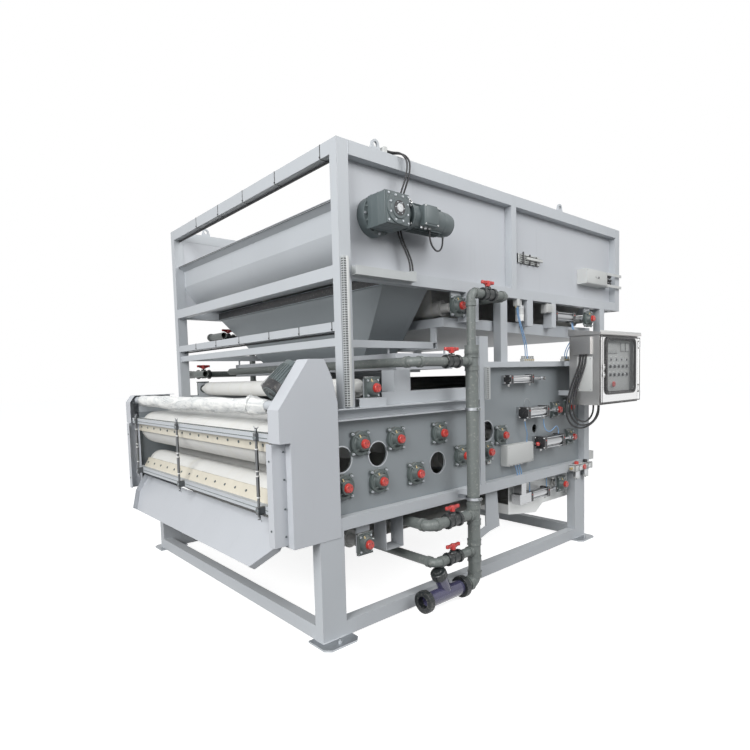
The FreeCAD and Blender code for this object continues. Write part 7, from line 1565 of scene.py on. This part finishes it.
def discharge_motor():
    """End cover, fins and terminal box of the tilted motor."""
    piece = Piece("discharge_motor_details")
    along = Vector((math.cos(MOTOR_TILT), 0, math.sin(MOTOR_TILT)))
    across = along.cross(Y_AXIS)
    centre = Vector((-1.670, -1.125, 1.582))
    end = centre - along * 0.100
    piece.lathe(end, along, MOTOR_END, "black", 40)
    for radius in (0.020, 0.036, 0.052):
        piece.ring(end - along * 0.009, along, radius, radius + 0.008, 0.006, "motor", 36)
    for ray in rays(32, Y_AXIS, across):
        foot = end + along * 0.052 + ray * 0.0775
        cooling_fin(piece, foot, along, ray, 0.0026, END_FINS)
    turn = Matrix.Translation(centre) @ Matrix((along, Y_AXIS, -across)).transposed().to_4x4()
    piece.box((-0.070, 0.066, -0.045), (0.050, 0.112, 0.045), "box", 0.006, turn)
    piece.box((-0.074, 0.106, -0.048), (0.054, 0.116, 0.048), "box", 0.003, turn)
    piece.done()


def guard_screws():
    """Screws of the guards at the discharge end, on both sides."""
    piece = Piece("cover_trim")
    for out in (NEAR, Y_AXIS):
        for z in (0.70, 0.86, 1.03, 1.19):
            piece.bolt(Vector((-1.775, 0, z)) + out * 1.2665, out, 0.010, "motor")
        for z in (0.74, 1.14):
            piece.bolt(Vector((-1.8505, 0, z)) + out * 1.235, -X_AXIS, 0.010, "motor")
    piece.done()


class PRESS_OT_discharge(bpy.types.Operator):
    """Film on its bar, scraper fittings, the tilted motor's details and the guards' screws"""

    bl_idname = "press.discharge"
    bl_label = "Discharge end"

    def execute(self, context):
        film_wrap()
        scraper_fittings()
        discharge_motor()
        guard_screws()
        return {"FINISHED"}


TIE_BEAMS = (
    ((-1.341, -1.281), (2.945, 3.031), (0.705, 0.282, -0.135, -0.596, -1.124)),
    ((-1.341, -1.281), (1.888, 1.943), (0.832, 0.424, 0.014, -0.442, -0.830, -1.193)),
)
TIE_WIDE = 0.007
TIE_PROUD = 0.0014
TIE_THICK = 0.0019
CABLE_Y = (-1.21, -0.8, -0.4, 0.0, 0.4, 0.8, 1.21)
PORTS = ((-1.351, 1.092), (-1.047, 1.095), (-0.465, 0.964), (0.123, 1.144))
PORT_RADIUS = 0.080
PLATE_OUT = 1.2595
CHORD_OUT = 1.2875
ANCHOR_OUT = 1.364


def cable_tie(piece, low, wide, high):
    """A strap round a beam that runs across the machine, and its lock."""
    outer = low - Vector((TIE_PROUD, TIE_WIDE / 2, TIE_PROUD))
    wide += 2 * TIE_PROUD
    high += 2 * TIE_PROUD
    for shift in (0, wide - TIE_THICK):
        piece.block(outer + X_AXIS * shift, (TIE_THICK, TIE_WIDE, high), "black")
    for shift in (0, high - TIE_THICK):
        piece.block(outer + Z_AXIS * shift, (wide, TIE_WIDE, TIE_THICK), "black")
    slab(piece, low, (0.006, 0.005, -0.006), (0, 0.005, 0.016), "black", 0.001)


def ties(piece):
    """Cable ties along the two cross beams, and the cable under each."""
    for (x0, x1), (z0, z1), places in TIE_BEAMS:
        for y in places:
            cable_tie(piece, Vector((x0, y, z0)), x1 - x0, z1 - z0)
        cable = [(x1 - 0.006, y, z0 - 0.009) for y in CABLE_Y]
        piece.sweep(cable, 0.007, "rubber", 10)


def port_rims(piece):
    """Rims round the side plates' openings."""
    for out in (NEAR, Y_AXIS):
        for x, z in PORTS:
            place = Vector((x, 0, z)) + out * PLATE_OUT
            piece.ring(place, out, PORT_RADIUS - 0.001, PORT_RADIUS + 0.007, 0.003, "zinc", 44)
        place = Vector((0.690, 0, 1.335)) + out * PLATE_OUT
        piece.ring(place, out, 0.038, 0.044, 0.003, "zinc", 32)


def rims(piece):
    """The hopper's upper rim, and rolled edges of the trough and the tray."""
    low, high = node_box("transfer_hopper")
    start = (low.x - 0.004, low.y + 0.004, high.z - 0.070)
    piece.box(start, (low.x + 0.002, high.y - 0.004, high.z - 0.002), "rim", 0.002)
    low, high = node_box("thickener_trough")
    start = (low.x + 0.002, low.y + 0.003, high.z - 0.012)
    piece.box(start, (low.x + 0.014, high.y - 0.003, high.z + 0.003), "hopper", 0.003)
    low, high = node_box("collecting_tray")
    for y in (low.y + 0.003, high.y - 0.003):
        start = (low.x + 0.004, y, high.z - 0.004)
        piece.rod(start, (high.x - 0.004, y, high.z - 0.004), 0.005, "hopper", 10)


def seams(piece):
    """Weld beads where the posts meet the chords, and where legs meet their feet."""
    for way in (-1, 1):
        y = way * CHORD_OUT
        for z in (2.945, 2.287):
            for x in (-1.251, 0.451, 0.517, 2.285):
                bead = [(x, y - way * back, z) for back in (0.066, 0.033, 0)]
                piece.sweep(bead, 0.0035, "frame", 6)
        for x in (-1.251, 2.285):
            for z0, z1 in ((2.945, 3.031), (2.207, 2.287)):
                bead = [(x, y, z) for z in (z0 + 0.004, (z0 + z1) / 2, z1 - 0.004)]
                piece.sweep(bead, 0.0025, "frame", 6)
    for low, high in solids("legs"):
        across = (low.x, (low.x + high.x) / 2, high.x)
        bead = [(x, low.y, 0.0135) for x in across]
        bead += [(x, high.y, 0.0135) for x in reversed(across)]
        piece.sweep(bead, 0.005, "frame", 6, closed=True)


def anchors(piece):
    """Anchor bolts with nuts in the foot plates."""
    for low, high in solids("foot_plates"):
        y = -ANCHOR_OUT if low.y < 0 else ANCHOR_OUT
        place = ((low.x + high.x) / 2, y, high.z)
        piece.bolt(place, Z_AXIS, 0.024, "zinc", stud=0.012)


class PRESS_OT_frame(bpy.types.Operator):
    """Cable ties, port rims, the hopper's rim, weld seams and the anchors' nuts"""

    bl_idname = "press.frame"
    bl_label = "Frame details"

    def execute(self, context):
        piece = Piece("frame_details")
        for part in (ties, port_rims, rims, seams, anchors):
            part(piece)
        piece.done()
        return {"FINISHED"}


BELTS = {
    "belt_upper": "press_rollers",
    "belt_lower": "press_rollers",
    "thickening_belt": "thickener_rollers",
}
CLOTH_ROWS = 36
SEAM_TEETH = 108
HOOK_HALF = 0.015
HOOK_SHIFT = 0.0012
HOOK_WIDE = 0.64


def pairs(run):
    """Each place of a closed run with the next one."""
    return list(zip(run, run[1:] + run[:1]))


def around(run):
    """The length of a closed run."""
    return sum((after - place).length for place, after in pairs(run))


def outer_line(node):
    """The outer one of the two closed lines of a belt's section."""
    source = bmesh.new()
    source.from_mesh(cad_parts[node].data)
    bmesh.ops.remove_doubles(source, verts=source.verts, dist=0.01 * MM)
    low = min(vert.co.y for vert in source.verts)
    left = {
        line for line in source.edges
        if all(vert.co.y < low + MM for vert in line.verts)
        and any(abs(face.normal.y) < 0.5 for face in line.link_faces)
    }
    found = []
    while left:
        first, last = left.pop().verts
        run = [first.co.copy()]
        while last is not first:
            run.append(last.co.copy())
            line = next(other for other in last.link_edges if other in left)
            left.remove(line)
            last = line.other_vert(last)
        found.append(run)
    source.free()
    return max(found, key=around)


def seam(piece, run, low, high):
    """A strip of wire hooks across the outer face, in the middle of the longest straight run."""
    start, end = max(pairs(run), key=lambda pair: (pair[1] - pair[0]).length)
    along = (end - start).normalized()
    out = along.cross(Y_AXIS)
    middle = (start + end) / 2
    if sum((place - middle).dot(out) for place in run) > 0:
        out = -out
    turn = Matrix((along, Y_AXIS, out)).transposed().to_4x4()
    step = (high - low) / SEAM_TEETH
    side = step * HOOK_WIDE / 2
    for tooth in range(SEAM_TEETH):
        place = Vector((middle.x, low + step * (tooth + 0.5), middle.z))
        shift = HOOK_SHIFT if tooth % 2 else -HOOK_SHIFT
        piece.box(
            (shift - HOOK_HALF, -side, -0.0002), (shift + HOOK_HALF, side, 0.0008), "zinc",
            turn=Matrix.Translation(place) @ turn,
        )


def belt(node):
    """A belt's cloth: one layer on the outer face of its solid."""
    (_, low, _), (_, high, _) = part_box(node)
    run = outer_line(node)
    piece = Piece(node + "_cloth", replaces=(node,))
    rings = []
    for row in range(CLOTH_ROWS + 1):
        y = low + (high - low) * row / CLOTH_ROWS
        rings.append([piece.mesh.verts.new((place.x, y, place.z)) for place in run])
    piece.skin(rings, "belt")
    seam(piece, run, low, high)
    flat = (high - low, around(run))
    piece.done()


class PRESS_OT_belts(bpy.types.Operator):
    """The three filter belts as stretched cloth, each with its clipper seam"""

    bl_idname = "press.belts"
    bl_label = "Filter belts"

    def execute(self, context):
        for node, rollers in BELTS.items():
            belt(node)
        return {"FINISHED"}


# Lengths in metres and routes of the free cables and hoses: x, inset and z in millimetres, as spot
# counts them. Each route runs from the fitting that the cord leaves to the one that it enters.
MOTOR_CABLES = {
    "drive_cable_left": (0.906, [
        (818, 10, 2292), (818, 10, 2350), (795, 31, 2430), (764, 57, 2520), (752, 62, 2620),
        (752, 52, 2715), (760, 22, 2805), (776, -6, 2885), (784, -15, 2950), (784, -13, 3006),
        (755, 16, 3051), (715, 56, 3054), (659, 56, 3054),
    ]),
    "drive_cable_right": (0.939, [
        (842, 10, 2292), (842, 10, 2350), (819, 31, 2430), (790, 57, 2520), (778, 62, 2620),
        (778, 52, 2715), (786, 22, 2805), (802, -6, 2885), (810, -15, 2950), (810, -13, 3006),
        (781, 16, 3051), (721, 76, 3054), (659, 76, 3054),
    ]),
    "motor_loop": (0.343, [
        (880, -110, 2545.5), (880, -110, 2506), (905, -104, 2452), (965, -90, 2425),
        (1020, -74, 2436), (1060, -60, 2468), (1075, -55, 2506), (1075, -55, 2536),
    ]),
}
CABINET_CABLES = {
    "cabinet_cable_front": (0.942, [
        (2712, -236, 1741), (2712, -236, 1680), (2700, -216, 1600), (2692, -184, 1515),
        (2690, -156, 1430), (2676, -142, 1345), (2676, -138, 1262), (2715, -138, 1190),
        (2785, -148, 1150), (2862, -158, 1140), (2922, -165, 1162), (2966, -169, 1202),
        (2985, -170, 1247), (2985, -170, 1288),
    ]),
    "cabinet_cable_middle": (1.086, [
        (2712, -210, 1741), (2712, -210, 1680), (2700, -190, 1600), (2692, -158, 1515),
        (2690, -130, 1430), (2676, -116, 1345), (2668, -112, 1255), (2700, -116, 1175),
        (2775, -130, 1122), (2865, -145, 1105), (2955, -158, 1118), (3022, -165, 1152),
        (3062, -169, 1204), (3078, -170, 1250), (3078, -170, 1288),
    ]),
    "cabinet_cable_back": (1.180, [
        (2712, -184, 1741), (2712, -184, 1680), (2700, -164, 1600), (2692, -132, 1515),
        (2690, -104, 1430), (2676, -90, 1345), (2648, -88, 1256), (2672, -92, 1168),
        (2740, -105, 1105), (2835, -120, 1078), (2935, -135, 1088), (3030, -148, 1125),
        (3095, -158, 1180), (3113, -160, 1236), (3113, -160, 1288),
    ]),
}
AIR_HOSES = {
    "riser_hose_left": (0.451, [
        (2108, 45, 2150), (2108, 45, 2100), (2128, 36, 2010), (2160, 31, 1920), (2195, 30, 1830),
        (2212, 36, 1760), (2212, 36, 1715),
    ]),
    "riser_hose_right": (0.455, [
        (2124, 45, 2150), (2124, 45, 2100), (2146, 36, 2010), (2184, 31, 1920), (2222, 30, 1830),
        (2240, 36, 1760), (2240, 36, 1715),
    ]),
    "thickener_hose_left": (0.402, [
        (3024, 58, 2058), (3024, 58, 2022), (3012, 40, 1986), (2982, 24, 1940), (2936, 18, 1886),
        (2892, 25, 1834), (2864, 33, 1790), (2852, 36, 1750), (2852, 36, 1715),
    ]),
    "thickener_hose_right": (0.394, [
        (3040, 58, 2058), (3040, 58, 2022), (3030, 38, 1984), (3004, 20, 1936), (2964, 14, 1884),
        (2924, 21, 1834), (2898, 32, 1790), (2888, 36, 1750), (2888, 36, 1715),
    ]),
    "tension_hose_long": (0.419, [
        (2418, -8, 1214), (2418, -8, 1182), (2406, -18, 1136), (2418, -30, 1094), (2462, -38, 1076),
        (2514, -37, 1092), (2568, -30, 1114), (2612, -21, 1116), (2642, -15, 1099),
        (2655, -12, 1070), (2655, -12, 1042),
    ]),
    "tension_hose_short": (0.226, [
        (2129, -8, 1214), (2129, -8, 1184), (2146, -8, 1130), (2180, 2, 1086), (2201, 20, 1044),
        (2201, 20, 1009),
    ]),
    "box_hose_left": (0.099, [
        (2040, 28, 841), (2040, 28, 815), (2052, 18, 780), (2052, 18, 745),
    ]),
    "box_hose_middle": (0.099, [
        (2070, 28, 841), (2070, 28, 815), (2086, 20, 780), (2086, 20, 745),
    ]),
    "box_hose_right": (0.099, [
        (2100, 28, 841), (2100, 28, 815), (2116, 20, 780), (2116, 20, 745),
    ]),
    "return_hose_left": (0.101, [
        (2276, 44, 667), (2276, 44, 635), (2286, 50, 600), (2286, 50, 567),
    ]),
    "return_hose_right": (0.102, [
        (2546, 44, 667), (2546, 44, 635), (2558, 50, 600), (2558, 50, 567),
    ]),
}


def lay(routes, diameter, finish, node):
    """Cables or hoses of one diameter, hanging freely between the fittings at their ends."""
    for name, (length, route) in routes.items():
        places = [spot(*place) for place in route]
        curve = bpy.data.curves.new(name, "CURVE")
        curve.dimensions = "3D"
        curve.bevel_depth = diameter / 2
        curve.bevel_resolution = 3
        curve.resolution_u = 10
        curve.use_fill_caps = True
        line = curve.splines.new("NURBS")
        line.points.add(len(places) - 1)
        for point, place in zip(line.points, places):
            point.co = (*place, 1)
        line.order_u = 3
        line.use_endpoint_u = True
        curve.materials.append(finish_named(finish).material)
        obj = bpy.data.objects.new(name, curve)
        bpy.context.scene.collection.objects.link(obj)
        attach(obj, FRAME_BODY)
        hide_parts(node)


class PRESS_OT_cords(bpy.types.Operator):
    """Black cables of the motor and the cabinet, and blue air hoses"""

    bl_idname = "press.cords"
    bl_label = "Cables and hoses"

    def execute(self, context):
        lay(MOTOR_CABLES, 0.012, "rubber", "black_cables")
        lay(CABINET_CABLES, 0.016, "rubber", "black_cables")
        lay(AIR_HOSES, 0.008, "hose", "air_hoses")
        return {"FINISHED"}


STEPS = (
    PRESS_OT_stage,
    PRESS_OT_finishes,
    PRESS_OT_bearings,
    PRESS_OT_gearmotor,
    PRESS_OT_cylinders,
    PRESS_OT_pipes,
    PRESS_OT_boxes,
    PRESS_OT_cabinet,
    PRESS_OT_discharge,
    PRESS_OT_frame,
    PRESS_OT_belts,
    PRESS_OT_cords,
)


class PRESS_PT_panel(bpy.types.Panel):
    """The steps of the dressing, in order"""

    bl_label = "Belt Press"
    bl_idname = "PRESS_PT_panel"
    bl_space_type = "VIEW_3D"
    bl_region_type = "UI"
    bl_category = "Belt Press"

    def draw(self, context):
        for step in STEPS:
            self.layout.operator(step.bl_idname)
        for group in (context.scene.press_look, context.scene.press_stage):
            box = self.layout.box()
            for name in group.bl_rna.properties.keys():
                if name not in ("rna_type", "name"):
                    box.prop(group, name)


GROUPS = {"press_look": PressLook, "press_stage": PressStage}


def register():
    for name, group in GROUPS.items():
        bpy.utils.register_class(group)
        setattr(bpy.types.Scene, name, PointerProperty(type=group))
    for step in STEPS:
        bpy.utils.register_class(step)
    bpy.utils.register_class(PRESS_PT_panel)


def unregister():
    bpy.utils.unregister_class(PRESS_PT_panel)
    for step in reversed(STEPS):
        bpy.utils.unregister_class(step)
    for name, group in GROUPS.items():
        delattr(bpy.types.Scene, name)
        bpy.utils.unregister_class(group)


def main():
    register()
    for step in STEPS:
        module, name = step.bl_idname.split(".")
        getattr(getattr(bpy.ops, module), name)()


if __name__ == "__main__":
    main()
